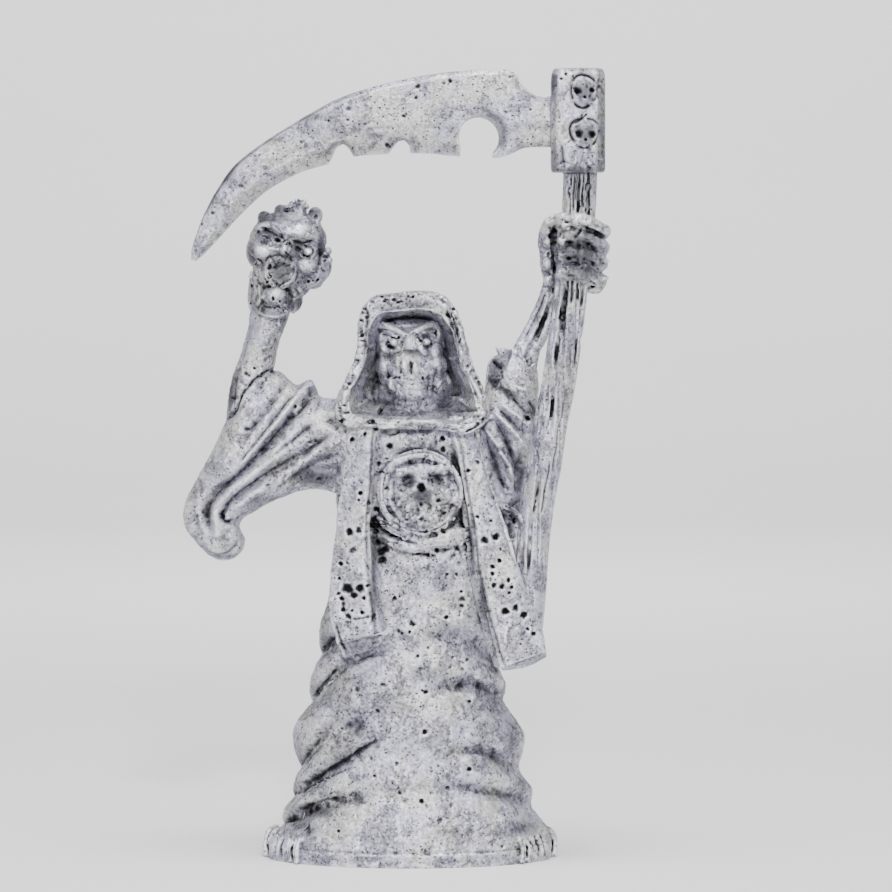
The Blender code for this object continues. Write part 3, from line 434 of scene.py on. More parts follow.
def ridgedStaffTree():
    # a barked staff: a grooved ring swept along the path, its ridges wandering up the length
    tree = newTree("ridgedStaff", [
        ("Staff radius", "NodeSocketFloat", 9e-4), ("Ridge height", "NodeSocketFloat", 2e-4),
        ("Ridge width", "NodeSocketFloat", 4e-4), ("Ridge length", "NodeSocketFloat", 6e-3),
        ("Seed", "NodeSocketFloat", 2.0), ("Metal", "NodeSocketMaterial", None),
    ])
    given = tree.nodes.new("NodeGroupInput").outputs
    ring = addNode(tree, "GeometryNodeCurvePrimitiveCircle", {"mode": "RADIUS"}, {"Resolution": 96}, {
        "Radius": given["Staff radius"]})
    fine = addNode(tree, "GeometryNodeResampleCurve", {"mode": "COUNT"}, {"Count": 260}, {
        "Curve": given["Geometry"]})
    swept = addNode(tree, "GeometryNodeCurveToMesh", values={"Fill Caps": True}, links={
        "Curve": fine.outputs[0], "Profile Curve": ring.outputs[0]})
    across = addNode(tree, "ShaderNodeMath", {"operation": "DIVIDE"}, {0: 1.0},
                     {1: given["Ridge width"]}).outputs[0]
    along = addNode(tree, "ShaderNodeMath", {"operation": "DIVIDE"}, {0: 1.0},
                    {1: given["Ridge length"]}).outputs[0]
    steps = addNode(tree, "ShaderNodeCombineXYZ", links={0: across, 1: across, 2: along}).outputs[0]
    place = addNode(tree, "GeometryNodeInputPosition").outputs[0]
    stretched = addNode(tree, "ShaderNodeVectorMath", {"operation": "MULTIPLY"},
                        links={0: place, 1: steps}).outputs[0]
    bark = addNode(tree, "ShaderNodeTexNoise", {"noise_dimensions": "4D"}, {
        "Scale": 1.0, "Detail": 2.0, "Roughness": 0.5}, {"Vector": stretched, "W": given["Seed"]}).outputs[0]
    crack = addNode(tree, "ShaderNodeMapRange", {"interpolation_type": "SMOOTHSTEP"}, {
        "From Min": 0.38, "From Max": 0.50, "To Min": -1.0, "To Max": 0.25}, {"Value": bark}).outputs[0]
    height = addNode(tree, "ShaderNodeMath", {"operation": "MULTIPLY"}, links={
        0: crack, 1: given["Ridge height"]}).outputs[0]
    normal = addNode(tree, "GeometryNodeInputNormal").outputs[0]
    move = addNode(tree, "ShaderNodeVectorMath", {"operation": "SCALE"},
                   links={0: normal, "Scale": height}).outputs[0]
    moved = addNode(tree, "GeometryNodeSetPosition", links={"Geometry": swept.outputs[0], "Offset": move})
    closeTree(tree, moved.outputs[0], given["Metal"])
    return tree


def rowTree():
    # beads in a row along a path: the teeth of the medallion's face
    tree = newTree("beadRow", [
        ("Count", "NodeSocketInt", 5), ("Wide", "NodeSocketFloat", 2e-4), ("Deep", "NodeSocketFloat", 2e-4),
        ("High", "NodeSocketFloat", 3e-4), ("Uneven", "NodeSocketFloat", 0.15), ("Seed", "NodeSocketInt", 1),
        ("Metal", "NodeSocketMaterial", None),
    ])
    given = tree.nodes.new("NodeGroupInput").outputs
    spots = addNode(tree, "GeometryNodeResampleCurve", {"mode": "COUNT"}, links={
        "Curve": given["Geometry"], "Count": given["Count"]})
    bead = addNode(tree, "GeometryNodeMeshIcoSphere", values={"Radius": 1.0, "Subdivisions": 3})
    size = addNode(tree, "ShaderNodeCombineXYZ",
                   links={0: given["Wide"], 1: given["Deep"], 2: given["High"]}).outputs[0]
    least = addNode(tree, "ShaderNodeMath", {"operation": "SUBTRACT"}, {0: 1.0}, {1: given["Uneven"]}).outputs[0]
    most = addNode(tree, "ShaderNodeMath", {"operation": "ADD"}, {0: 1.0}, {1: given["Uneven"]}).outputs[0]
    change = addNode(tree, "FunctionNodeRandomValue", {"data_type": "FLOAT"}, links={
        2: least, 3: most, "Seed": given["Seed"]}).outputs[1]
    scale = addNode(tree, "ShaderNodeVectorMath", {"operation": "SCALE"},
                    links={0: size, "Scale": change}).outputs[0]
    copies = addNode(tree, "GeometryNodeInstanceOnPoints", links={
        "Points": spots.outputs[0], "Instance": bead.outputs["Mesh"], "Scale": scale})
    closeTree(tree, copies.outputs[0], given["Metal"])
    return tree


def pathCurve(name, rows):
    # a poly curve through (x, y, z) or (x, y, z, radius share)
    data = bpy.data.curves.new(name, "CURVE")
    data.dimensions = "3D"
    line = data.splines.new("POLY")
    line.points.add(len(rows) - 1)
    for point, row in zip(line.points, rows):
        point.co = (row[0] * unit, row[1] * unit, row[2] * unit, 1)
        point.radius = row[3] if len(row) > 3 else 1.0
    made = bpy.data.objects.new(name, data)
    bpy.context.scene.collection.objects.link(made)
    return made


def beadRow(name, rows, count, wide, deep, high, uneven=0.12, seed=1):
    return grown(pathCurve(name, rows), beads, {
        "Count": count, "Wide": wide * unit, "Deep": deep * unit, "High": high * unit,
        "Uneven": uneven, "Seed": seed, "Metal": whiteMetal})


# The material: a tin-lead white metal as it leaves the mould, unpainted. It is a dull pale grey with a lilac cast,
# in islands of thinner and thicker oxide over a fine grain. Pits and creases are darkened, partly for oxide and
# release powder and partly as painted shade, going near-black as a painted shadow in the deepest; crests and some
# patches are lightened, partly for wear from handling and partly as painted highlight. The grain is drawn a little
# coarser than real, so that it still shows at this picture's size.

metalLook = {
    # pale lightens crests, partly wear, partly painted highlight; grime darkens hollows, partly oxide, partly
    # painted shade; soot is the pores and a near-black painted shadow in the deepest hollows
    "cool": "#c6c4d8", "warm": "#cccdc9", "shade": "#67656f", "pale": "#f2f2f8",
    "grimeAndShade": "#44434c", "sootAndDeepShadow": "#070709",
    "patchMm": 2.6, "islandMm": 1.5, "mottleMm": 0.2, "clusterMm": 0.5, "poreMm": 0.24,
    "warpMm": 0.10, "bumpMm": 0.06,
    "metallic": 0.6, "roughness": 0.48,
}


def makeWhiteMetal():
    metal = bpy.data.materials.new("cast white metal")
    metal.use_nodes = True
    tree = metal.node_tree
    shader = tree.nodes["Principled BSDF"]
    shader.inputs["Metallic"].default_value = metalLook["metallic"]
    shader.inputs["Specular IOR Level"].default_value = 0.4
    place = addNode(tree, "ShaderNodeTexCoord").outputs["Object"]
    # islands of thicker oxide with ragged edges, gathered in broad patches
    patch = addNode(tree, "ShaderNodeTexNoise", values={
        "Scale": 1 / (metalLook["patchMm"] * mm), "Detail": 2.0, "Roughness": 0.5},
        links={"Vector": place}).outputs[0]
    island = addNode(tree, "ShaderNodeTexNoise", values={
        "Scale": 1 / (metalLook["islandMm"] * mm), "Detail": 7.0, "Roughness": 0.64},
        links={"Vector": place}).outputs[0]
    gathered = addNode(tree, "ShaderNodeMath", {"operation": "MULTIPLY_ADD"}, {1: 0.3},
                       {0: patch, 2: island}).outputs[0]
    bare = addNode(tree, "ShaderNodeMapRange", {"interpolation_type": "SMOOTHSTEP"}, {
        "From Min": 0.605, "From Max": 0.655}, {"Value": gathered}).outputs[0]
    # the grain of the skin
    mottle = addNode(tree, "ShaderNodeTexNoise", values={
        "Scale": 1 / (metalLook["mottleMm"] * mm), "Detail": 4.0, "Roughness": 0.7, "Distortion": 0.8},
        links={"Vector": place}).outputs[0]
    fine = addNode(tree, "ShaderNodeMapRange", {"interpolation_type": "SMOOTHSTEP"}, {
        "From Min": 0.40, "From Max": 0.57}, {"Value": mottle}).outputs[0]
    grain = addNode(tree, "ShaderNodeMath", {"operation": "MULTIPLY"}, {1: 0.5}, {0: fine}).outputs[0]
    share = addNode(tree, "ShaderNodeMath", {"operation": "MULTIPLY_ADD"}, {1: 0.5}, {0: bare, 2: grain}).outputs[0]
    # a lilac cast that turns warmer from patch to patch
    turn = addNode(tree, "ShaderNodeMapRange", {"interpolation_type": "SMOOTHSTEP"}, {
        "From Min": 0.44, "From Max": 0.62}, {"Value": patch}).outputs[0]
    clean = addNode(tree, "ShaderNodeMix", {"data_type": "RGBA"}, {
        6: toLinear(metalLook["cool"]), 7: toLinear(metalLook["warm"])}, {0: turn}).outputs[2]
    ground = addNode(tree, "ShaderNodeMix", {"data_type": "RGBA"}, {6: toLinear(metalLook["shade"])}, {
        0: share, 7: clean}).outputs[2]
    # crests and patches below 0 lighten towards pale, partly rubbed wear, partly painted highlight
    wearAndHighlight = addNode(tree, "ShaderNodeAttribute", {"attribute_name": "wearAndHighlight"}).outputs["Fac"]
    wornAndHighlit = addNode(tree, "ShaderNodeMix", {"data_type": "RGBA"}, {7: toLinear(metalLook["pale"])}, {
        0: wearAndHighlight, 6: ground}).outputs[2]
    # hollows and patches above 0 darken towards grime, partly oxide and release powder, partly painted shade
    hollow = addNode(tree, "ShaderNodeAttribute", {"attribute_name": "hollow"}).outputs["Fac"]
    grimeAndShadeShare = addNode(tree, "ShaderNodeMapRange", values={
        "From Min": 0.0, "From Max": 0.5, "To Max": 0.9}, links={"Value": hollow}).outputs[0]
    grimedAndShaded = addNode(tree, "ShaderNodeMix", {"data_type": "RGBA"}, {7: toLinear(metalLook["grimeAndShade"])}, {
        0: grimeAndShadeShare, 6: wornAndHighlit}).outputs[2]
    # soot-dark pores too small to model, in clusters
    warp = addNode(tree, "ShaderNodeTexNoise", values={
        "Scale": 1 / (metalLook["warpMm"] * mm), "Detail": 1.0}, links={"Vector": place}).outputs[1]
    warped = addNode(tree, "ShaderNodeVectorMath", {"operation": "MULTIPLY_ADD"}, {
        1: (metalLook["warpMm"] * mm,) * 3}, {0: warp, 2: place}).outputs[0]
    pores = addNode(tree, "ShaderNodeTexVoronoi", {"feature": "F1"}, {
        "Scale": 1 / (metalLook["poreMm"] * mm), "Randomness": 1.0}, {"Vector": warped}).outputs["Distance"]
    speck = addNode(tree, "ShaderNodeMapRange", {"interpolation_type": "SMOOTHSTEP"}, {
        "From Min": 0.10, "From Max": 0.31, "To Min": 0.9, "To Max": 0.0}, {"Value": pores}).outputs[0]
    cluster = addNode(tree, "ShaderNodeTexNoise", values={
        "Scale": 1 / (metalLook["clusterMm"] * mm), "Detail": 2.0, "Roughness": 0.6},
        links={"Vector": place}).outputs[0]
    thick = addNode(tree, "ShaderNodeMapRange", {"interpolation_type": "SMOOTHSTEP"}, {
        "From Min": 0.63, "From Max": 0.48}, {"Value": cluster}).outputs[0]
    specks = addNode(tree, "ShaderNodeMath", {"operation": "MULTIPLY"}, links={0: speck, 1: thick}).outputs[0]
    # painted shadow: where the hollow attribute runs high the colour goes near-black soot, together with the real
    # pores
    deep = addNode(tree, "ShaderNodeMapRange", {"interpolation_type": "SMOOTHSTEP"}, {
        "From Min": 0.48, "From Max": 1.0}, {"Value": hollow}).outputs[0]
    poresAndDeepShadow = addNode(tree, "ShaderNodeMath", {"operation": "MAXIMUM"}, links={0: deep, 1: specks}).outputs[0]
    colour = addNode(tree, "ShaderNodeMix", {"data_type": "RGBA"}, {7: toLinear(metalLook["sootAndDeepShadow"])}, {
        0: poresAndDeepShadow, 6: grimedAndShaded}).outputs[2]
    rough = addNode(tree, "ShaderNodeMapRange", values={
        "To Min": metalLook["roughness"] + 0.14, "To Max": metalLook["roughness"] - 0.06},
        links={"Value": fine}).outputs[0]
    sunk = addNode(tree, "ShaderNodeMath", {"operation": "MULTIPLY_ADD"}, {1: -0.8},
                   {0: specks, 2: mottle}).outputs[0]
    bump = addNode(tree, "ShaderNodeBump", values={
        "Strength": 0.9, "Distance": metalLook["bumpMm"] * mm}, links={"Height": sunk})
    tree.links.new(colour, shader.inputs["Base Color"])
    tree.links.new(rough, shader.inputs["Roughness"])
    tree.links.new(bump.outputs[0], shader.inputs["Normal"])
    return metal


whiteMetal = makeWhiteMetal()
skinTree = castingSkinTree()
staffTree = ridgedStaffTree()
beads = rowTree()


# Finishing a piece

skinLook = {"pitsPerMm2": 2.4, "pitRadiusMm": 0.10, "pitDepthMm": 0.06, "grainMm": 0.42, "grainDepthMm": 0.13}
# the hollow rows drive painted shade as well as oxide, the crest rows painted highlight as well as wear
wearAndPaintedLightLook = {
    # rounds of softening, depth in mm that counts in full, part let off, share
    "hollow": ((8, 0.030, 0.18, 0.62), (70, 0.16, 0.05, 0.60)),
    "wearAndHighlight": ((8, -0.014, 0.10, 0.60), (70, -0.09, 0.12, 0.50)),
    "most": {"hollow": 0.97, "wearAndHighlight": 0.9},
}


def softPoints(form, rounds):
    soft = form.modifiers.new("soften", "SMOOTH")
    soft.factor = 0.5
    soft.iterations = rounds
    graph = bpy.context.evaluated_depsgraph_get()
    found = np.empty(len(form.data.vertices) * 3)
    form.evaluated_get(graph).data.vertices.foreach_get("co", found)
    form.modifiers.clear()
    return found.reshape(-1, 3)


def markHollows(form, patches):
    # how far each point lies below or above the softened skin, kept as two attributes for the material: the one
    # darkens, partly as oxide and partly as painted shade, the other lightens, partly as wear and partly as painted
    # highlight; a patch with an amount below 0 is a painted highlight
    mesh = form.data
    points = np.empty(len(mesh.vertices) * 3)
    mesh.vertices.foreach_get("co", points)
    points = points.reshape(-1, 3)
    normals = np.empty(len(mesh.vertices) * 3)
    mesh.vertices.foreach_get("normal", normals)
    normals = normals.reshape(-1, 3)
    sunk = {row[0]: ((softPoints(form, row[0]) - points) * normals).sum(axis=1) / mm
            for row in wearAndPaintedLightLook["hollow"]}

    def skinDepthShare(rows):
        return sum(np.clip(sunk[rounds] / full - letOff, 0, 1) * share for rounds, full, letOff, share in rows)

    hollow = skinDepthShare(wearAndPaintedLightLook["hollow"])
    oxideAndPaintedLight = np.empty(len(points), np.float32)
    mesh.attributes["oxideAndPaintedLight"].data.foreach_get("value", oxideAndPaintedLight)
    mesh.attributes.remove(mesh.attributes["oxideAndPaintedLight"])
    hollow += oxideAndPaintedLight
    across, depths, up = (points / unit).T
    wornAndHighlit = np.zeros(len(points))
    # patches above 0 add oxide and painted shade; those below 0 take shade away and add a painted highlight
    for x, z, wide, high, amount in patches:
        spread = np.exp(-(((across - x) / wide) ** 2 + ((up - z) / high) ** 2) ** 1.5)
        spread *= np.clip(0.4 - normals[:, 1], 0, 1)
        if amount > 0:
            hollow += amount * spread
        else:
            hollow *= 1 + amount * spread
            wornAndHighlit -= amount * spread
    wearAndHighlight = skinDepthShare(wearAndPaintedLightLook["wearAndHighlight"]) + wornAndHighlit
    for name, values in (("hollow", hollow), ("wearAndHighlight", wearAndHighlight)):
        kept = mesh.attributes.new(name, "FLOAT", "POINT")
        kept.data.foreach_set("value", np.clip(values, 0, wearAndPaintedLightLook["most"][name]).astype(np.float32))


def flatFoot(form):
    # cut off flat at the floor and closed with one face
    shell = bmesh.new()
    shell.from_mesh(form.data)
    everything = list(shell.verts) + list(shell.edges) + list(shell.faces)
    bmesh.ops.bisect_plane(shell, geom=everything, dist=1e-9, plane_co=(0, 0, 0), plane_no=(0, 0, 1),
                           clear_inner=True)
    rim = [edge for edge in shell.edges if edge.is_boundary]
    bmesh.ops.contextual_create(shell, geom=rim)
    bmesh.ops.recalc_face_normals(shell, faces=shell.faces)
    shell.to_mesh(form.data)
    shell.free()


def castPiece(name, forms, look, carve):
    # one piece of the casting: its forms fused, carved, skinned, thinned and dressed
    lump = fused(name, forms, look["grainMm"], look["softening"])
    clay = Clay(lump)
    for lowCorner, highCorner, count, width, depth, seed, slant in look["marks"]:
        clay.toolMarks(lowCorner, highCorner, count, width, depth, seed, slant)
    carve(clay)
    clay.renew()
    # the darkening from the strokes and pits, partly oxide and partly painted shade, is kept as an attribute
    kept = lump.data.attributes.new("oxideAndPaintedLight", "FLOAT", "POINT")
    kept.data.foreach_set("value", clay.oxideAndPaintedLight.astype(np.float32))
    skin = {**skinLook, **look.get("skin", {})}
    grown(lump, skinTree, {
        "Pits per m2": skin["pitsPerMm2"] * 1e6, "Pit radius": skin["pitRadiusMm"] * mm,
        "Pit depth": skin["pitDepthMm"] * mm, "Grain size": skin["grainMm"] * mm,
        "Grain depth": skin["grainDepthMm"] * mm, "Seed": look["seed"], "Metal": whiteMetal})
    # hollows darken, partly oxide and partly painted shade; crests lighten, partly wear and partly painted
    # highlight; the look's patches add painted shade and highlight
    markHollows(lump, look.get("oxideAndPaintedLight", []))
    lump.data.calc_loop_triangles()
    before = len(lump.data.loop_triangles)
    thin = lump.modifiers.new("thin", "DECIMATE")
    thin.ratio = min(1.0, look["triangles"] / before)
    settled(lump)
    if look.get("onFloor"):
        flatFoot(lump)
    lump.data.shade_smooth()
    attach(lump, "root")
    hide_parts("wraith_casting")
    lump.data.calc_loop_triangles()
    print(name, before, "to", len(lump.data.loop_triangles), "triangles")
    return lump


# Skirt: the plate, the toes and the puffed robe in slanting tiers

skirtLook = {
    "marks": [  # two corners, how many, width, depth, seed, slant in degrees
        ((-15, 2), (16, 34), 170, 0.5, 0.13, 21, 25),
    ],
    "grainMm": 0.055, "softening": 3, "triangles": 180000, "seed": 11, "onFloor": True,
    "skin": {"grainMm": 0.75, "grainDepthMm": 0.34, "pitsPerMm2": 2.0},
    # oxide and painted shade laid on: x, z, half width, half height, how much
    "oxideAndPaintedLight": [
        (-11.5, 6.6, 2.4, 0.9, 0.5), (-12.8, 4.4, 1.2, 0.7, 0.3), (-6.8, 17.2, 1.9, 2.4, 0.16),
        (-8.8, 14.4, 1.6, 1.4, 0.22), (-11, 27.6, 1.1, 2.4, 0.35), (-14.6, 13, 1, 3, 0.3),
        (-15.6, 7.8, 1.2, 1.8, 0.3), (-12.6, 21.4, 1, 1.8, 0.25), (2.6, 24.2, 2, 0.9, 0.2),
        (-1, 19.8, 1.8, 0.7, 0.2), (6, 20.4, 2.6, 0.8, 0.15), (10.6, 19.4, 2, 0.9, 0.2),
        (10.8, 13.2, 2.4, 0.8, 0.25), (6.6, 4.4, 2.6, 0.6, 0.2), (13.8, 4.4, 2.4, 0.8, 0.25),
        (11.4, 8.4, 2.4, 0.6, 0.2), (4.6, 28.6, 2, 0.7, 0.2), (-3.6, 6.8, 1.6, 0.8, 0.15),
        (-9.6, 21, 1.4, 1.6, 0.18), (-5.6, 11, 1.8, 1, 0.12), (13, 16, 1, 2, 0.25), (-8, 23, 1.6, 1.2, 0.12),
        (1.6, 9.6, 2.6, 0.7, 0.12), (-4, 4.2, 2.6, 0.8, 0.12), (8.4, 31, 0.9, 2, 0.2),
        (-9.6, 12.6, 2.4, 0.9, 0.14), (3.8, 22.6, 2, 0.7, 0.14), (0.8, 31.6, 1.6, 0.8, 0.1),
        (11.2, 24.6, 1.2, 1.6, 0.25), (14.6, 10, 1, 1.6, 0.25),
    ],
    "plateWide": mmToUnits(15.8), "plateDeep": mmToUnits(11.0), "plateThick": mmToUnits(0.4), "puff": 1.3,
    "creaseWiden": 1.9, "creaseDeepen": 0.85, "tierHeight": 7.0,
    # heights of each valley at the left, front, right and back
    "valleys": [
        (0, 0, 0, 0), (4.3, 9.6, 6.8, 5.2), (7.8, 14.2, 11.2, 10.2), (11.5, 21.2, 20.2, 16),
        (19.9, 28.4, 24.5, 22.6), (25.8, 33.4, 31, 28.8), (38, 40, 38, 38),
    ],
    # height, left, right, front, back
    "sections": [
        (0.8, -16.6, 16.9, -11.3, 11.3), (2, -17.2, 17.3, -11.9, 11.7), (5, -16.2, 16.4, -11.2, 10.9),
        (9, -14.7, 15, -10.3, 9.8), (13, -13.9, 13.8, -9.6, 9), (17, -13.8, 13.3, -9, 8.4),
        (21, -12.3, 12, -8.4, 7.8), (25, -11.7, 11.5, -7.8, 7.1), (29, -10.7, 11.4, -7.1, 6.5),
        (33, -9.4, 11.7, -6.4, 6), (37, -8.8, 11.6, -5.9, 5.7),
    ],
}


def valleyHeights(angle):
    found = []
    for left, front, right, back in skirtLook["valleys"]:
        mean = (left + front + right + back) / 4
        found.append(mean + (back - front) / 2 * np.sin(angle) + (right - left) / 2 * np.cos(angle)
                     + (left + right - front - back) / 4 * np.cos(2 * angle))
    return np.array(found)


def robe():
    count = 240
    angle = np.arange(count) * 2 * math.pi / count
    valleys = valleyHeights(angle)
    rings = []
    for height, left, right, front, back in through(skirtLook["sections"], 22):
        puff = np.zeros(count)
        for low, high in zip(valleys[:-1], valleys[1:]):
            share = (height - low) / (high - low)
            inside = (share >= 0) & (share < 1)
            along = np.clip(share, 0, 1) ** 0.8
            sharp = np.sin(math.pi * along)
            soft = 0.5 - 0.5 * np.cos(2 * math.pi * along)
            # sharp edges at the left, soft ones at the right, and a lower swell on a lower tier
            swell = soft + (sharp - soft) * np.clip(0.35 - 0.75 * np.cos(angle), 0, 1)
            swell *= np.clip((high - low) / skirtLook["tierHeight"], 0.35, 1.1)
            puff[inside] = swell[inside]
        calm = 1 - 0.55 * np.clip(-np.sin(angle), 0, 1) ** 2
        grow = skirtLook["puff"] * calm * (puff - 0.35)
        x = (left + right) / 2 + ((right - left) / 2 + grow) * np.cos(angle)
        y = (front + back) / 2 + ((back - front) / 2 + grow) * np.sin(angle)
        rings.append(np.stack([x, y, np.full(count, height)], axis=1))
    return loft("robe", rings)


def skirtForms():
    halfWide, halfDeep, top = skirtLook["plateWide"] / 2, skirtLook["plateDeep"] / 2, skirtLook["plateThick"]
    edges = (-halfWide, halfWide, -halfDeep, halfDeep)
    forms = [stack("plate", [(height, *edges) for height in (-1.2, -0.6, top, top + 0.8)], 2.0, 2, 160), robe()]
    for side in (-1, 1):
        forms.append(ball("foot", (side * (halfWide - 2.0), -2.6, 1.7), (2.0, 3.2, 1.6)))
        for i in range(6):
            x, y = side * (halfWide + 0.4 - 0.82 * i), -0.2 - 1.5 * i
            forms.append(tube("toe", [
                (x - side * 1.3, y + 1.6, 3.6, 0.36), (x - side * 0.4, y + 0.2, 3.1, 0.42),
                (x, y - 0.5, 1.8, 0.42), (x - side * 0.1, y - 0.7, 0.4, 0.38)], 4))
            forms.append(ball("knuckle", (x - side * 0.4, y, 3.0), (0.46, 0.5, 0.5)))
    return forms


frontCreases = [
    ([(-12.6, 20), (-10.7, 22.4), (-8.9, 24.8), (-7, 26), (-4, 27)], 0.42, 0.55),
    ([(-11.4, 26), (-10.3, 27.4), (-9.2, 28.4)], 0.35, 0.5),
    ([(-14, 11.6), (-12.6, 14), (-10.6, 16.6), (-8.8, 18.8)], 0.42, 0.55),
    ([(-15.5, 7.4), (-12.6, 10), (-9.5, 12), (-6.5, 14), (-4, 15.8)], 0.42, 0.75),
    ([(-16.5, 5), (-13.8, 6.4), (-11, 7.8), (-8, 8.2), (-5.4, 9.2)], 0.45, 0.6),
    ([(-16.6, 3.6), (-14.6, 4.8), (-12.4, 4.6)], 0.5, 0.4),
    ([(12.2, 20.2), (10.2, 21.7), (7.6, 22.2), (5.2, 22.1), (2.6, 21.4)], 0.38, 0.42),
    ([(13.8, 12), (12.8, 14.8), (11.4, 16.9), (9.2, 18)], 0.4, 0.4),
    ([(13.2, 11.2), (11.9, 12.2), (10.1, 13.9), (8, 14.4), (5.4, 14), (3.4, 13)], 0.36, 0.5),
    ([(14.9, 7), (12.8, 8), (11, 8.9), (8.2, 9.6), (5.2, 10.4)], 0.35, 0.42),
    ([(11.9, 24.2), (10.4, 26), (8, 27.6), (5, 28.7), (1.5, 28.8)], 0.5, 0.45),
    ([(-2.6, 31.9), (-0.8, 32.5), (0.8, 33)], 0.3, 0.3),
    ([(-1.4, 28.8), (1, 27.6), (3.6, 28.4), (6.2, 27.4)], 0.35, 0.25),
    ([(3.2, 30.2), (5.4, 29.4), (8, 28.8)], 0.4, 0.3),
    ([(-9, 18.8), (-7.2, 17.8), (-5.6, 16.4), (-4.2, 15.2)], 0.9, 0.45),
    ([(-8.6, 15.6), (-6.6, 15.4), (-5.4, 14.2)], 0.9, 0.35),
    ([(-4.8, 20.6), (-2.6, 20.2), (-0.4, 19.4)], 0.8, 0.3), ([(-1.6, 22.8), (1, 23.8), (3.6, 23)], 0.6, 0.22),
    ([(5, 24.4), (7, 23.4), (8.4, 23.6)], 0.7, 0.25), ([(-3.8, 16.8), (-1.2, 15.8), (1.6, 15.4)], 0.6, 0.22),
    ([(3.6, 18), (6, 17.2), (8, 17.6)], 0.6, 0.25), ([(-0.8, 14), (0.8, 12.8), (1.4, 11)], 0.6, 0.2),
    ([(-14.5, 1.15), (-9, 0.8), (-3, 1.1), (4, 0.8), (9, 1.1), (15.4, 0.95)], 0.32, 0.16),
    ([(2, 3.9), (4.6, 4.3), (7.2, 3.9)], 0.6, 0.2), ([(12.6, 4), (14.6, 4.2), (16.4, 3.8)], 0.6, 0.35),
    ([(-10.2, 3.4), (-9.6, 4.8), (-8.8, 5.4)], 0.6, 0.25),
]
sharpCreases = [
    ([(-12.9, 9.6), (-9.8, 11.9), (-6.8, 13.9), (-4.2, 15.7)], 0.22, 0.35),
    ([(-13.6, 12.2), (-11.4, 15.4)], 0.2, 0.25), ([(-13.6, 6.5), (-11, 7.9), (-9, 8.2)], 0.2, 0.3),
    ([(-12.5, 20.3), (-10.8, 22.4), (-9.2, 24.4)], 0.2, 0.3), ([(-11.3, 26.2), (-9.4, 28.2)], 0.2, 0.3),
]
puffEdges = [  # the lit upper edge of a tier, just below its crease
    ([(-12, 19.6), (-9.6, 22.4), (-7, 24.8), (-4, 26), (0, 26.8)], 0.9, -0.35),
    ([(-13.6, 10.6), (-11.6, 13.4), (-9.6, 15.6)], 0.8, -0.3),
    ([(-15, 6.4), (-12, 9), (-9, 11), (-6, 12.8)], 0.8, -0.4),
    ([(-12.6, 5.4), (-10, 6.6), (-7, 7.2)], 0.7, -0.3),
    ([(11.8, 18.8), (9.4, 20.8), (6, 21.2), (2.4, 20.6)], 0.9, -0.3),
    ([(12.6, 10.4), (10, 12.8), (7.4, 13.3), (4.4, 12.8)], 0.8, -0.4),
    ([(13.8, 6.6), (10.6, 8), (6.8, 8.6)], 0.8, -0.25),
]
backCreases = [
    ([(-12.8, 18.4), (-8, 21), (-2, 23.2), (4, 22.8), (11.6, 22.6)], 0.45, 0.5),
    ([(-14, 11.6), (-8, 14.6), (0, 16.2), (7, 15.6), (13.6, 16.6)], 0.45, 0.5),
    ([(-15.4, 7.4), (-8, 9.4), (1, 10.4), (8, 10), (13.8, 10.6)], 0.45, 0.5),
    ([(-6, 18.4), (-2, 19.4), (2.4, 18.8)], 0.7, 0.3), ([(2, 12.8), (6, 13.6), (9.4, 12.8)], 0.7, 0.3),
    ([(-10, 3), (-4, 4.4), (3, 3.6)], 0.7, 0.3),
]
skirtPits = [  # x, z, half width, depth
    (2, 21.7, 0.30, 0.5), (1.55, 21.9, 0.2, 0.4), (1.9, 16.8, 0.34, 0.6), (1.5, 8.2, 0.26, 0.5),
    (3.8, 5.9, 0.3, 0.3), (-3.4, 22.6, 0.28, 0.35), (-6.6, 22, 0.3, 0.35), (7.5, 20.4, 0.22, 0.4),
    (7.5, 12, 0.26, 0.5), (-8.9, 4.4, 0.2, 0.4), (-7.4, 8.8, 0.24, 0.35), (-4.4, 11.3, 0.2, 0.35),
    (5.1, 24.8, 0.24, 0.4), (6.6, 24.5, 0.26, 0.3), (0.4, 30.2, 0.35, 0.35), (0, 29.2, 0.22, 0.5),
    (-1.3, 29.3, 0.26, 0.4), (-1, 29, 0.2, 0.4), (4.6, 31, 0.24, 0.4), (6.2, 31.2, 0.2, 0.3),
    (2.3, 27.2, 0.2, 0.35), (1, 26.2, 0.2, 0.3), (-4, 19.3, 0.25, 0.3), (-7.8, 1.9, 0.5, 0.25),
    (11.6, 2.4, 0.3, 0.4), (-12.9, 6.6, 0.55, 0.45), (-11.6, 7.1, 0.5, 0.4), (-10.4, 7.5, 0.4, 0.35),
    (-13.4, 5.8, 0.5, 0.4), (-12.8, 4.3, 0.6, 0.4), (2.8, 11.9, 0.2, 0.25), (-1.2, 9.2, 0.22, 0.25),
    (5.2, 7.7, 0.28, 0.25), (-9.9, 8.9, 0.2, 0.2), (-0.6, 8.3, 0.4, 0.2), (4.8, 9.8, 0.24, 0.25),
    (-5, 15.9, 0.3, 0.25), (-4.9, 13.6, 0.3, 0.25), (-1.6, 12.9, 0.2, 0.3), (3, 29, 0.2, 0.3),
    (6.5, 34.2, 0.2, 0.4), (6.6, 33.3, 0.35, 0.4), (6.6, 32.4, 0.28, 0.4), (-1.9, 33.4, 0.26, 0.5),
    (-1.3, 33.6, 0.18, 0.4), (4.7, 36.4, 0.2, 0.4), (-2.9, 35.3, 0.24, 0.35), (7.6, 31.4, 0.5, 0.3),
    (5.4, 26, 0.2, 0.3), (7.2, 25.6, 0.25, 0.3),
]


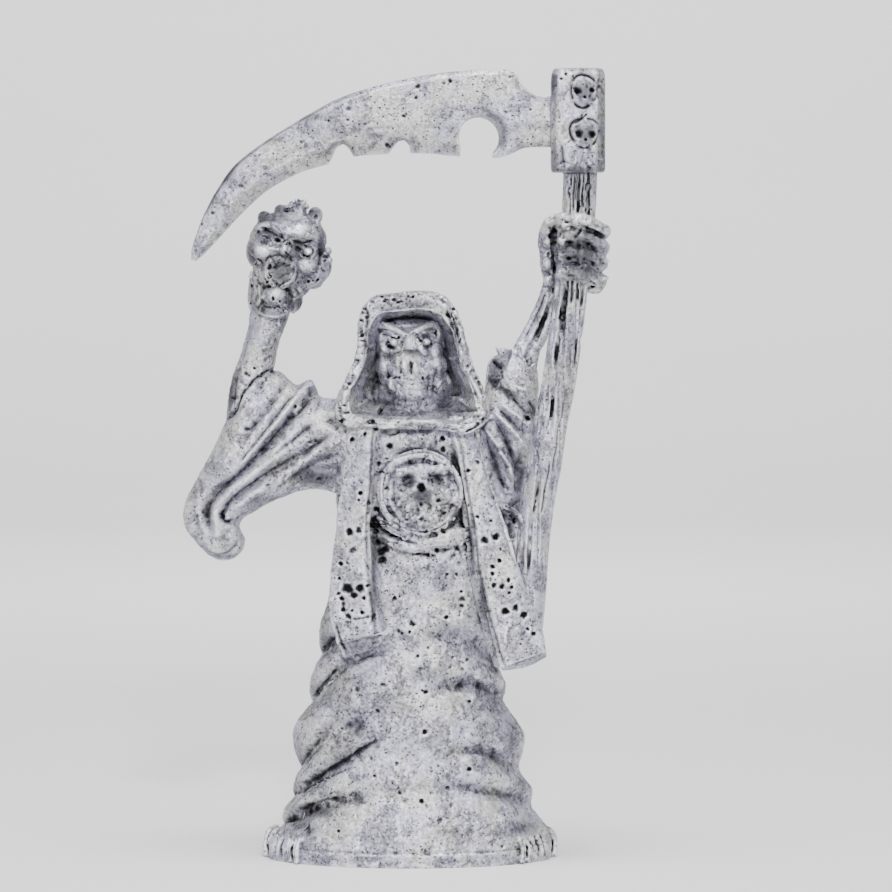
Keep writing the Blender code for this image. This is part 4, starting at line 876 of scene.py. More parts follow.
def carveSkirt(clay):
    clay.strokes(puffEdges)
    clay.renew()
    clay.strokes(frontCreases, widen=skirtLook["creaseWiden"], deepen=skirtLook["creaseDeepen"])
    clay.renew()
    clay.strokes(sharpCreases, 1.5)
    clay.strokes(backCreases, 1.4, side=1)
    clay.renew()
    clay.pits(skirtPits)
    for side in (-1, 1):
        for i in range(5):
            x = side * (skirtLook["plateWide"] / 2 + 0.02 - 0.82 * i)
            clay.stroke([(x - side * 0.5, 3.4), (x, 1.9), (x - side * 0.1, 0.6)], 0.17, 0.5, power=1.4)


castPiece("skirt", skirtForms(), skirtLook, carveSkirt)
print("skirt done")


# Chest: torso, mantle, stole bands, medallion and the knot below it

chestLook = {
    "marks": [
        ((-10, 28), (16, 55), 200, 0.32, 0.13, 22, 80), ((-3.2, 42.2), (6, 51.2), 130, 0.2, 0.15, 33, 20),
        ((-4.4, 38.6), (7.4, 43.4), 60, 0.2, 0.2, 34, -20),
    ],
    "grainMm": 0.052, "softening": 2, "triangles": 185000, "seed": 12,
    "skin": {"pitsPerMm2": 3.6, "pitRadiusMm": 0.085, "grainDepthMm": 0.17},
    # oxide and painted shade laid on: x, z, half width, half height, how much
    "oxideAndPaintedLight": [
        (-0.1, 48.3, 1.1, 1, 0.25), (3.4, 48.6, 1.4, 0.7, 0.3), (1.7, 46.2, 1.4, 1.1, 0.3),
        (3.8, 45.4, 1.2, 1.2, 0.12), (-1.4, 45, 0.9, 1.4, 0.12), (1.35, 46.7, 5, 5, 0.08),
        (-3.6, 41.2, 0.9, 3.4, 0.5), (6, 43.8, 0.8, 1.6, 0.5), (-4.5, 37, 0.35, 9, 0.35),
        (7.6, 40, 0.5, 3, 0.3), (9.2, 33, 0.5, 4, 0.3), (-6, 27.6, 3, 0.9, 0.3), (0.4, 52, 4, 0.6, 0.25),
        (13, 44.2, 1, 1.8, 0.5), (-7, 34, 1.5, 1.6, 0.2), (10.9, 47.6, 0.8, 2.6, 0.3), (12.8, 51, 1.6, 4, 0.15),
        (3.8, 35.6, 1.2, 1.4, 0.2), (-7.4, 41.6, 0.9, 0.8, 0.15), (-8.7, 45, 0.4, 8, 0.2),
        (5.4, 32.6, 1.4, 1.2, 0.12), (-2.6, 38.6, 1.6, 1.2, 0.18),
    ],
    "bandThick": mmToUnits(0.75), "bandFlank": 0.75, "plaqueX": 1.35, "plaqueZ": 46.7,
    "plaqueRadius": mmToUnits(4.7) / 2,
    "plaqueThick": mmToUnits(1.2), "chestPlane": -6.6,
    "leftBand": [
        (-7.6, -4.4, 56, -3.4, -5.4, 56), (-7.9, -5.6, 53, -3.9, -6.4, 53), (-8.2, -5.6, 48, -4.1, -6.8, 48),
        (-9, -5.8, 42.5, -4.6, -7.2, 42.5), (-9.8, -6.4, 36.5, -4.4, -8, 36.5),
        (-9.9, -7.2, 31.6, -3.9, -8.8, 32.2), (-8.9, -8.2, 27.6, -3.3, -9.6, 28.9),
    ],
    "rightBand": [
        (4.6, -5.2, 56, 8.4, -4.2, 56), (5.6, -6.2, 52.5, 8.8, -5.2, 52), (6.4, -6.8, 47.5, 10.3, -5.8, 47),
        (7.4, -7.2, 42, 12.3, -6.4, 41.6), (8.2, -7.8, 36, 14.2, -7, 35.4), (9.8, -8.6, 29.6, 16.5, -7.6, 29.8),
        (11.2, -9, 25, 17.1, -8, 26.8),
    ],
}


def bandForms(name, rows, inner):
    # a flat front, and a flank that slopes back from its inner edge
    half, flank = chestLook["bandThick"] / 2, chestLook["bandFlank"]
    backing = [(x0 + 0.3, y0 + 1.2, z0, x1 - 0.3, y1 + 1.2, z1, 1.3) for x0, y0, z0, x1, y1, z1 in rows]
    face, side = [], []
    for x0, y0, z0, x1, y1, z1 in rows:
        if inner > 0:
            face.append((x0, y0, z0, x1 - flank, y1, z1, half))
            side.append((x1 - flank - 0.3, y1 + 0.1, z1, x1, y1 + 1.7, z1, half))
        else:
            face.append((x0 + flank, y0, z0, x1, y1, z1, half))
            side.append((x0, y0 + 1.7, z0, x0 + flank + 0.3, y0 + 0.1, z0, half))
    return [strip(name, face, 6), strip(name + " flank", side, 5), strip(name + " backing", backing, 3)]


def chestForms():
    x, z, radius = chestLook["plaqueX"], chestLook["plaqueZ"], chestLook["plaqueRadius"]
    front = chestLook["chestPlane"] - chestLook["plaqueThick"] / 2
    return [
        stack("torso", [
            (24.0, -7.6, 9.6, -4.4, 5.4), (30.0, -8.9, 10.8, -5.9, 6.0), (36.0, -8.6, 12.0, -6.3, 5.9),
            (42.0, -8.0, 11.6, -6.0, 5.7),
            (48.0, -7.7, 10.8, -6.0, 5.8), (52.0, -8.4, 10.2, -6.0, 6.2), (54.5, -9.2, 10.4, -5.4, 6.6),
            (56.5, -9.0, 10.0, -0.8, 6.6), (58.0, -6.6, 7.6, 3.0, 6.4)], 2.8),
        strip("mantle", [
            (-6.0, 5.2, 63.0, 6.6, 5.2, 63.0, 2.0), (-8.6, 5.4, 58.0, 9.6, 5.4, 58.0, 2.4),
            (-9.6, 5.2, 52.0, 11.6, 5.2, 52.0, 2.2), (-9.4, 5.2, 45.0, 14.0, 4.2, 45.0, 2.0),
            (-9.6, 5.8, 38.0, 14.6, 3.6, 38.0, 1.8), (-10.6, 6.6, 32.0, 13.6, 4.6, 32.0, 1.4),
            (-10.8, 7.2, 29.0, 12.2, 6.2, 29.0, 0.8)], 2.6),
        strip("sash", [
            (9.4, -1.2, 48.0, 12.6, -1.2, 48.0, 1.0), (8.6, -2.6, 44.0, 14.4, -2.6, 43.0, 2.0),
            (9.0, -4.0, 38.0, 15.0, -3.6, 37.0, 2.2), (10.0, -5.2, 32.0, 14.6, -4.6, 32.0, 1.6)], 2.4),
        *bandForms("left band", chestLook["leftBand"], 1), *bandForms("right band", chestLook["rightBand"], -1),
        strip("left band end", [(-9.0, -8.0, 28.3, -8.2, -6.4, 26.0, 0.5),
                                (-6.0, -8.6, 28.9, -5.6, -6.9, 26.9, 0.5),
                                (-3.5, -9.0, 29.6, -3.2, -7.6, 28.4, 0.5)], 4),
        strip("right band end", [(11.2, -8.4, 25.4, 11.6, -6.6, 24.6, 0.5),
                                 (14.4, -8.2, 26.0, 14.6, -6.4, 25.0, 0.5),
                                 (17.0, -7.6, 27.2, 17.0, -5.8, 26.2, 0.5)], 4),
        prism("dish", circle(x, z, radius * 0.93), front, front + chestLook["plaqueThick"]),
        ringOf("rim", x, z, radius * 0.90, radius * 0.92, front + 0.1, radius * 0.11),
        ringOf("inner rim", x + 0.1, z - 0.1, radius * 0.74, radius * 0.75, front + 0.15, radius * 0.055),
        ball("face", (x + 0.1, front + 0.1, z + 1.1), (radius * 0.66, 1.2, radius * 0.56)),
        ball("cheeks", (x + 0.2, front, z - 0.9), (radius * 0.56, 1.1, radius * 0.40)),
        ball("jaw", (x + 0.4, front + 0.1, z - 2.5), (radius * 0.44, 1.1, radius * 0.30)),
        ball("left brow", (x - 1.7, front - 0.4, z + 2.6), (1.3, 0.9, 0.7)),
        ball("right brow", (x + 2.1, front - 0.4, z + 2.9), (1.5, 0.9, 0.7)),
        ball("left cheek", (x - 2.3, front - 0.3, z - 0.6), (0.9, 0.9, 1.0)),
        ball("right cheek", (x + 2.9, front - 0.3, z - 0.2), (0.9, 0.9, 1.1)),
        beadRow("upper teeth", [(x - 1.5, front - 0.75, z - 1.9), (x + 0.5, front - 1.0, z - 2.2),
                                (x + 2.4, front - 0.75, z - 1.8)], 6, 0.26, 0.3, 0.36, 0.3, 4),
        beadRow("lower teeth", [(x - 1.0, front - 0.65, z - 3.0), (x + 0.6, front - 0.85, z - 3.3),
                                (x + 2.0, front - 0.65, z - 2.9)], 5, 0.26, 0.3, 0.3, 0.3, 5),
        tube("left strand", [(-4.3, -6.4, 43.6, 0.5), (-2.6, -6.9, 42.4, 0.55), (-0.4, -7.4, 41.4, 0.55),
                             (1.2, -7.5, 41.0, 0.45)], 5),
        tube("lower strand", [(-4.3, -6.3, 41.8, 0.5), (-2.4, -6.9, 40.6, 0.6), (0.2, -7.4, 39.8, 0.6),
                              (2.4, -7.4, 39.8, 0.45)], 5),
        strip("right leaf", [
            (1.8, -7.4, 40.9, 1.8, -7.4, 39.8, 0.6), (4.2, -7.6, 42.0, 4.4, -7.6, 39.9, 0.8),
            (6.4, -7.0, 42.3, 6.8, -7.0, 40.4, 0.7), (7.4, -6.6, 42.0, 7.4, -6.6, 41.0, 0.4)]),
        ball("knot", (1.9, -7.3, 40.6), (1.3, 0.9, 1.1)),
        ball("left hollow fill", (-3.4, -5.2, 41.0), (1.4, 1.0, 3.4)),
        tube("twig", [(12.0, -4.6, 44.9, 0.35), (13.2, -5.2, 44.2, 0.4), (14.6, -5.6, 42.6, 0.35)], 4),
        tube("second twig", [(12.0, -4.4, 43.9, 0.3), (13.4, -5.0, 43.3, 0.33), (15.0, -5.4, 42.0, 0.28)], 4),
    ]


chestCreases = [
    ([(-3.9, 53.6), (-4.1, 50), (-4.3, 46.6), (-4.5, 42), (-4.4, 38.6)], 0.3, 0.9),
    ([(5.4, 51.4), (6, 48.6), (6.6, 45.4), (7, 42), (7.6, 38.4)], 0.28, 0.8),
    ([(8.3, 37.6), (8.9, 34), (9.8, 29.6), (10.6, 26.4)], 0.3, 0.35),
    ([(8.9, 52.6), (10, 49.2), (11.2, 45.4), (12.6, 41), (13.4, 37.8)], 0.35, 0.5),
    ([(11, 49.6), (11.8, 46.6)], 0.7, 0.5), ([(12, 45.6), (13.4, 44.8)], 0.7, 0.9),
    ([(12.6, 42.9), (12.9, 40.8)], 0.45, 0.9), ([(13.9, 50.6), (13.8, 48), (14.2, 45.8)], 0.45, 1),
    ([(-2, 43.2), (-0.2, 42.4), (1.6, 42), (3.6, 42.3), (5, 43.1)], 0.3, 0.5),
    ([(-3.8, 43), (-2.2, 41.6), (-0.4, 40.9)], 0.22, 0.55), ([(0, 41.6), (0.9, 41.2)], 0.3, 0.4),
    ([(2.6, 41.6), (3.6, 41.5)], 0.28, 0.35), ([(0.7, 39.2), (1.6, 38.95), (2.6, 38.9)], 0.26, 0.5),
    ([(3.2, 39.5), (4.6, 39.6)], 0.3, 0.35), ([(-3.4, 40.7), (-2.6, 40.2), (-2, 39.9)], 0.26, 0.6),
    ([(-7.2, 31), (-6.2, 31.1), (-4.9, 31.4)], 0.2, 0.3), ([(-7.9, 30.8), (-7.8, 29.8)], 0.3, 0.35),
    ([(-8.6, 28.1), (-6, 28.6), (-3.4, 29.4)], 0.22, 0.4),
    ([(-9.3, 30.4), (-8.8, 28.4), (-7.9, 26.6)], 0.22, 0.5), ([(3.3, 54), (3.35, 52.6)], 0.2, 0.25),
    ([(-2.6, 54), (-1.8, 54.2), (-1.2, 54.6)], 0.22, 0.5), ([(8.2, 54), (9, 53.8)], 0.25, 0.5),
    ([(-1.9, 51.4), (0.2, 51.9), (2.4, 51.9), (4.6, 51.2)], 0.3, 0.35),
    ([(-0.6, 50.4), (1.6, 50.7), (3.6, 50.2)], 0.25, 0.25),
    ([(-3, 50.2), (-3.2, 47.6), (-2.9, 45.4), (-1.8, 43.8)], 0.22, 0.35),
    ([(4.9, 49.4), (5.7, 48), (5.9, 46.6)], 0.25, 0.45), ([(-8.4, 50.4), (-8.6, 47), (-8.9, 43.6)], 0.25, -0.2),
    ([(-4.9, 41), (-4.8, 36), (-4.4, 33)], 0.35, -0.2),
]
chestPits = [
    (-2.5, 52.5, 0.36, 0.9), (4.1, 53.5, 0.32, 0.8), (4.2, 52.1, 0.3, 0.6), (5.5, 50.6, 0.4, 0.7),
    (-0.15, 48.3, 1, 0.6), (1.45, 47.5, 0.5, 1.2), (3.3, 48.5, 1.2, 0.5), (1.7, 46.3, 1.3, 0.5),
    (1.45, 45.3, 0.26, 0.5), (3.7, 45.8, 0.26, 0.35), (-7.2, 53.4, 0.28, 1), (-6.2, 46.7, 0.26, 0.6),
    (-6.4, 45.8, 0.2, 0.5), (-7.5, 41.8, 0.42, 1), (-6.4, 42, 0.36, 0.5), (-7.1, 39.5, 0.45, 0.5),
    (-8.6, 37.8, 0.26, 0.6), (-7.8, 37.9, 0.2, 0.4), (-8.8, 36, 0.22, 0.4), (-7.7, 34.7, 0.62, 1),
    (-6.2, 34.8, 0.48, 1.1), (-7, 33.9, 0.4, 0.8), (-8.9, 34.1, 0.25, 0.7), (-8.5, 33.5, 0.3, 0.7),
    (-5.7, 33.6, 0.24, 0.5), (-5.3, 35.1, 0.24, 0.5), (-8.3, 32.8, 0.3, 0.5), (-8.3, 32.1, 0.34, 0.7),
    (-7.2, 32, 0.22, 0.5), (-5.9, 31.8, 0.28, 0.7), (-7.6, 31.3, 0.32, 0.6), (9.4, 40.8, 0.42, 0.9),
    (10.8, 41.2, 0.4, 0.9), (12, 31.9, 0.42, 0.9), (13.3, 32.3, 0.38, 0.8), (14.3, 31.4, 0.38, 0.7),
    (11.4, 39.7, 0.22, 0.4), (11.3, 38.2, 0.26, 0.7), (10.4, 37.5, 0.26, 0.6), (10.4, 36.6, 0.24, 0.6),
    (12.4, 35.8, 0.24, 0.6), (11.6, 35, 0.3, 0.7), (10.6, 35.2, 0.3, 0.5), (12.8, 34.9, 0.22, 0.5),
    (12.5, 34.2, 0.2, 0.3), (14.8, 29.7, 0.24, 0.5), (15.5, 29.1, 0.28, 0.6), (8.5, 43.7, 0.26, 0.6),
    (8.6, 50.5, 0.26, 0.5), (7.3, 49.5, 0.26, 0.5), (10.2, 43.2, 0.2, 0.3), (-4.2, 44.6, 0.3, 1.3),
    (-4, 43.4, 0.45, 1.6), (-4.2, 41.8, 0.3, 1.4), (-3.2, 43, 0.4, 1), (-4, 40.4, 0.3, 1.2),
    (-3.6, 39.2, 0.45, 0.9), (-3, 39.6, 0.4, 0.9), (-3.5, 38.2, 0.45, 0.7), (6.3, 44.6, 0.35, 1.4),
    (5.9, 43.2, 0.6, 1.5), (5.2, 42.9, 0.35, 1), (-3.9, 50.3, 0.3, 0.9), (12.5, 43.4, 0.4, 1.2),
    (13.2, 43.1, 0.3, 0.9), (12.4, 45.2, 0.45, 0.9), (13.4, 45.6, 0.4, 1), (-5.6, 54.1, 0.26, 0.4),
    (-4.2, 54.7, 0.24, 0.5), (-9.8, 33.4, 0.3, -0.4), (6, 39.6, 0.3, 0.4), (3.4, 39.4, 0.3, 0.5),
    (-2.9, 36.7, 0.26, 0.3), (5.9, 36.4, 0.22, 0.3), (6.5, 34.2, 0.2, 0.4), (6.6, 33.3, 0.35, 0.4),
    (6.6, 32.4, 0.28, 0.4), (-1.9, 33.4, 0.26, 0.5), (-1.3, 33.6, 0.18, 0.4), (4.7, 36.4, 0.2, 0.4),
    (4.3, 34.6, 0.4, 0.2),
]
chestBack = [
    ([(-6.2, 61), (-7.6, 52), (-7, 43), (-8.4, 33)], 0.8, 0.8),
    ([(-2.2, 64), (-3.8, 55), (-3, 46), (-4.4, 38)], 0.9, 0.8),
    ([(1.6, 60), (1, 51), (2.2, 42), (1, 31)], 0.7, 0.9),
    ([(5.2, 63), (6.6, 53), (5.8, 44), (7.2, 36)], 0.9, 0.8), ([(9.4, 56), (10.4, 46), (10.2, 35)], 0.7, 0.7),
    ([(-5.2, 50), (-5.4, 40), (-6.4, 31)], 0.35, 0.35), ([(3.4, 54), (4, 44), (3.6, 34)], 0.35, 0.35),
    ([(-0.6, 52), (-0.8, 42), (-1.8, 33)], 0.4, 0.3), ([(8.2, 50), (8.4, 40), (9, 33)], 0.35, 0.35),
]
flankShade = [  # painted shade along the smooth flanks of the two bands: path, width, how much
    ([(-4.3, 54), (-4.6, 48), (-5, 42), (-4.8, 36.4), (-4.3, 32), (-3.7, 29.6)], 0.34, 0.26),
    ([(6.9, 45), (7.8, 41), (8.6, 36), (10.2, 29.6), (11.4, 25.6)], 0.38, 0.30),
]


def carveChest(clay):
    clay.strokes(chestBack, side=1)
    clay.strokes(chestCreases, 1.5)
    clay.renew()
    clay.pits(chestPits)
    # painted shade on the band flanks, without carving
    for path, width, oxideAndPaintedLight in flankShade:
        clay.stroke(path, width, 0.0, oxideAndPaintedLight=oxideAndPaintedLight)


castPiece("chest", chestForms(), chestLook, carveChest)
print("chest done")


# Hood: one cowl with a broad front edge, hollowed out round the face

hoodLook = {
    "marks": [
        ((-10, 54), (10, 72), 240, 0.26, 0.17, 23, 10),
    ],
    "grainMm": 0.048, "softening": 2, "triangles": 110000, "seed": 13, "rimPits": 105, "rimFolds": 64,
    "middle": (0.3, 62.6),
    "skin": {"grainMm": 0.55, "grainDepthMm": 0.32, "pitsPerMm2": 2.2, "pitRadiusMm": 0.085},
    # oxide and painted shade laid on; the two below 0 are painted highlights that lift the shaded pockets beside
    # the face
    "oxideAndPaintedLight": [
        (0.2, 64.6, 4.8, 3.8, 0.75), (0.3, 60, 6, 2.2, 0.42), (-5, 60.2, 1.3, 2.2, -0.3),
        (6, 60.4, 1.3, 2.2, -0.3), (-5.3, 65.6, 0.7, 3.4, 0.2), (5.7, 65.8, 0.7, 3, 0.25),
        (0.4, 57, 8, 1.1, 0.42), (-0.4, 70.8, 4.2, 1, 0.3), (-4, 56, 3, 0.5, 0.2), (4.6, 55.6, 2.6, 0.5, 0.2),
        (0.6, 55.3, 1.6, 0.6, 0.22),
    ],
    "outline": [  # x, z from the top round by the right
        (0, 71.9), (2.2, 71.9), (4.4, 71.3), (6, 69.3), (6.8, 67), (7.4, 64.4), (8.1, 62.2), (9.2, 59.8),
        (10, 57.6), (9.7, 55.6), (7.4, 54.2), (4.6, 54.5), (0.4, 54.7), (-4.2, 54.9), (-8, 55.1), (-9.3, 56.6),
        (-9.1, 58.8), (-8, 61), (-7, 63.2), (-6.5, 65.6), (-6.5, 67.8), (-5.9, 69.8), (-4.6, 71.3),
        (-2.2, 71.6),
    ],
}


def hoodRing(wide, up, down, depth, lean=0.0):
    # the outline drawn in towards the hood's middle; lean brings its lower edge forward
    outline = through(hoodLook["outline"] + hoodLook["outline"][:1], 6)[:-1]
    middleX, middleZ = hoodLook["middle"]
    x = middleX + (outline[:, 0] - middleX) * wide
    rise = outline[:, 1] - middleZ
    z = middleZ + rise * np.where(rise > 0, up, down)
    y = depth - lean * np.clip(-rise / 8, -0.3, 1) - 0.35 * lean * np.clip(-rise / 8, 0, 1) ** 3
    return np.stack([x, y, z], axis=1)


def hoodForms():
    shell = loft("hood", [
        hoodRing(0.91, 0.90, 0.94, -6.45, 1.3), hoodRing(0.96, 0.96, 0.97, -6.1, 1.3),
        hoodRing(0.99, 0.99, 0.99, -5.3, 1.3), hoodRing(1.0, 1.0, 1.0, -4.6, 1.2),
        hoodRing(0.98, 1.0, 1.0, -2.4, 0.8), hoodRing(0.97, 0.99, 1.0, 0.8, 0.4),
        hoodRing(0.93, 0.95, 0.98, 4.0, 0.0), hoodRing(0.82, 0.86, 0.9, 6.4, -0.6),
        hoodRing(0.62, 0.66, 0.76, 8.0, -0.8), hoodRing(0.3, 0.34, 0.4, 8.7, -0.6)])
    hollow = loft("hollow", [
        hoodRing(0.84, 0.78, 0.86, -10.0, 1.4), hoodRing(0.81, 0.75, 0.86, -6.0, 1.3),
        hoodRing(0.74, 0.71, 0.80, -4.4, 0.9), hoodRing(0.67, 0.68, 0.68, -2.8, 0.3),
        hoodRing(0.63, 0.66, 0.60, -0.8, 0.0), hoodRing(0.52, 0.56, 0.44, 1.4, 0.0)])
    cutFrom(shell, [hollow])
    return [shell]


hoodCreases = [  # path, width, depth
    ([(-1.4, 71.5), (0.4, 71.4), (2.2, 71.6)], 0.22, 0.3), ([(3.2, 71), (3.8, 70.9), (4.5, 71)], 0.22, 0.4),
    ([(-4.2, 69.6), (-1.6, 69.4), (1.2, 69.6), (3.6, 69.2)], 0.5, 0.35),
    ([(-3, 70.7), (-2.2, 70.1)], 0.25, 0.25), ([(-6, 70.2), (-5.5, 69), (-5.2, 67.4)], 0.35, 0.25),
    ([(5, 70.2), (5.8, 68.4), (6.2, 66.2)], 0.35, 0.3),
    ([(-5.2, 69.4), (-5.4, 66.4), (-5.3, 63.4), (-5.8, 61.4), (-7.2, 59.2), (-8.2, 57.4)], 0.28, 0.35),
    ([(4.9, 69.2), (5.4, 66.8), (6, 64.2), (6.8, 61.8), (8.2, 59.4), (9, 57.8)], 0.28, 0.35),
    ([(-6.9, 66.9), (-6.3, 66.9)], 0.25, 0.5), ([(-6.4, 63.4), (-7, 61.6), (-8.2, 59.6)], 0.3, 0.25),
    ([(7.2, 64.6), (8.2, 61.8), (9.3, 59.2)], 0.3, 0.25),
    ([(-8.8, 56.9), (-6, 56.7), (-2, 56.5), (2.4, 56.7)], 0.22, 0.3),
    ([(-7.6, 56.2), (-4.4, 56.1), (-1.2, 55.9), (0.6, 56.2)], 0.2, 0.25),
    ([(2.4, 56.3), (5.6, 56), (8.6, 56.4)], 0.25, 0.28), ([(3, 57.2), (6, 56.9), (9, 57.2)], 0.22, 0.22),
    ([(-5.4, 55.7), (-4.2, 55.3)], 0.2, 0.3), ([(1, 55.25), (1.7, 54.85)], 0.24, 0.6),
    ([(4.9, 54.3), (5.4, 54.1)], 0.26, 0.5), ([(-8.6, 55.9), (-7.6, 55.7)], 0.2, 0.35),
    ([(-4.2, 55.5), (-1.6, 55.2)], 0.28, -0.3), ([(2.8, 55.7), (4, 55.2)], 0.28, -0.35),
    ([(5, 54.8), (6, 54.3), (8, 54.8), (9.4, 55.8)], 0.3, -0.35), ([(-8.6, 55.6), (-7.4, 55.2)], 0.26, -0.3),
    ([(5.4, 58.6), (6.6, 58.1), (7.6, 57.5)], 0.3, -0.4), ([(5, 58.9), (6.2, 58.9)], 0.25, 0.4),
    ([(-3.6, 58.6), (-3.4, 57.6)], 0.25, -0.25), ([(-4.2, 60.8), (-4.6, 59), (-4.2, 57.6)], 0.3, 0.3),
]
hoodBack = [
    ([(-3.6, 70.6), (-4.8, 64), (-5.4, 57.6)], 0.6, 0.5), ([(0.2, 71), (-0.6, 64), (-0.2, 56.8)], 0.7, 0.5),
    ([(3.6, 70.6), (4.6, 64), (4.8, 57)], 0.6, 0.5), ([(-2.2, 68), (-2.6, 62)], 0.35, 0.3),
    ([(2, 67), (2.4, 60)], 0.35, 0.3),
]
hoodPits = [
    (-3.5, 71.2, 0.22, 0.5), (-7.6, 60.4, 0.26, 0.4), (-6.8, 62, 0.26, 0.25), (-6.3, 63.2, 0.2, 0.2),
    (8.7, 60.4, 0.22, 0.4), (5.2, 68.9, 0.3, 0.25), (-5.4, 69.4, 0.22, 0.2), (-9, 57, 0.25, 0.25),
    (1.1, 71.5, 0.2, 0.3), (5.5, 65.4, 0.26, 0.2),
]


def carveHood(clay):
    clay.strokes(hoodBack, side=1)
    clay.strokes(hoodCreases, 1.6)
    clay.renew()
    clay.pits(hoodPits)
    chance = np.random.default_rng(hoodLook["seed"])
    edge = hoodRing(0.95, 0.94, 0.96, 0.0)
    # pits and short folds strewn along the rim
    for x, y, z in edge[chance.integers(0, len(edge), hoodLook["rimPits"])]:
        aside, over = chance.normal(0, 0.3, 2)
        clay.pit(x + aside, z + over, chance.uniform(0.1, 0.26), chance.uniform(0.12, 0.4),
                 chance.uniform(0.1, 0.3), turn=80.0)
    for i in range(hoodLook["rimFolds"]):
        start = chance.integers(0, len(edge) - 16)
        aside, over = chance.normal(0, 0.45, 2)
        run = edge[start:start + chance.integers(6, 15):2, ::2] + (aside, over)
        clay.stroke(run.tolist(), chance.uniform(0.16, 0.3), chance.uniform(-0.3, 0.34))


castPiece("hood", hoodForms(), hoodLook, carveHood)
print("hood done")


# The wraith's own face: a gaunt, broad-jawed undead head deep in the hood

faceLook = {
    "marks": [
        ((-4.2, 56.5), (4.5, 69), 110, 0.2, 0.11, 24, -60),
    ],
    "grainMm": 0.03, "softening": 4, "triangles": 80000, "seed": 14,
    # oxide and painted shade laid on; those below 0 are painted highlights on the nose, eyes, brows, teeth, chin,
    # cheeks and jaw
    "oxideAndPaintedLight": [
        (-4, 65, 0.5, 3, 0.4), (4.1, 64.6, 0.5, 3, 0.4), (0.4, 57.6, 3.4, 1.6, 0.2), (0, 64.1, 1.9, 0.35, 0.1),
        (0.6, 68.2, 2.6, 0.6, 0.45), (2.8, 61.6, 1.2, 1.4, 0.1), (-2.4, 61.6, 1.2, 1, 0.14),
        (0.3, 58.6, 2, 0.6, 0.12), (-2.9, 58.6, 1.1, 1.7, 0.4), (4.1, 58.8, 1.2, 1.8, 0.4),
        (0.15, 65.5, 0.95, 0.85, -0.9), (-1.98, 65.55, 0.42, 0.38, -0.9), (2.08, 65.6, 0.42, 0.38, -0.9),
        (1.4, 64.9, 0.3, 0.7, -0.6), (-0.6, 62.4, 0.5, 1, -0.6), (0.85, 62, 0.5, 0.8, -0.6),
        (0.3, 59.7, 1.3, 0.8, -0.4), (3, 63.6, 0.9, 0.7, -0.4), (-2.6, 67.35, 1.4, 0.35, -0.5),
        (1.6, 67.2, 1.6, 0.4, -0.5), (-2.3, 60.1, 0.4, 0.8, -0.6), (3.7, 60.4, 0.35, 0.9, -0.6),
        (-3.2, 62.6, 0.6, 0.8, -0.3), (-3.3, 65.8, 0.6, 0.7, -0.4),
    ],
    "skin": {"pitsPerMm2": 1.8, "pitRadiusMm": 0.05, "pitDepthMm": 0.04, "grainMm": 0.3, "grainDepthMm": 0.12},
}


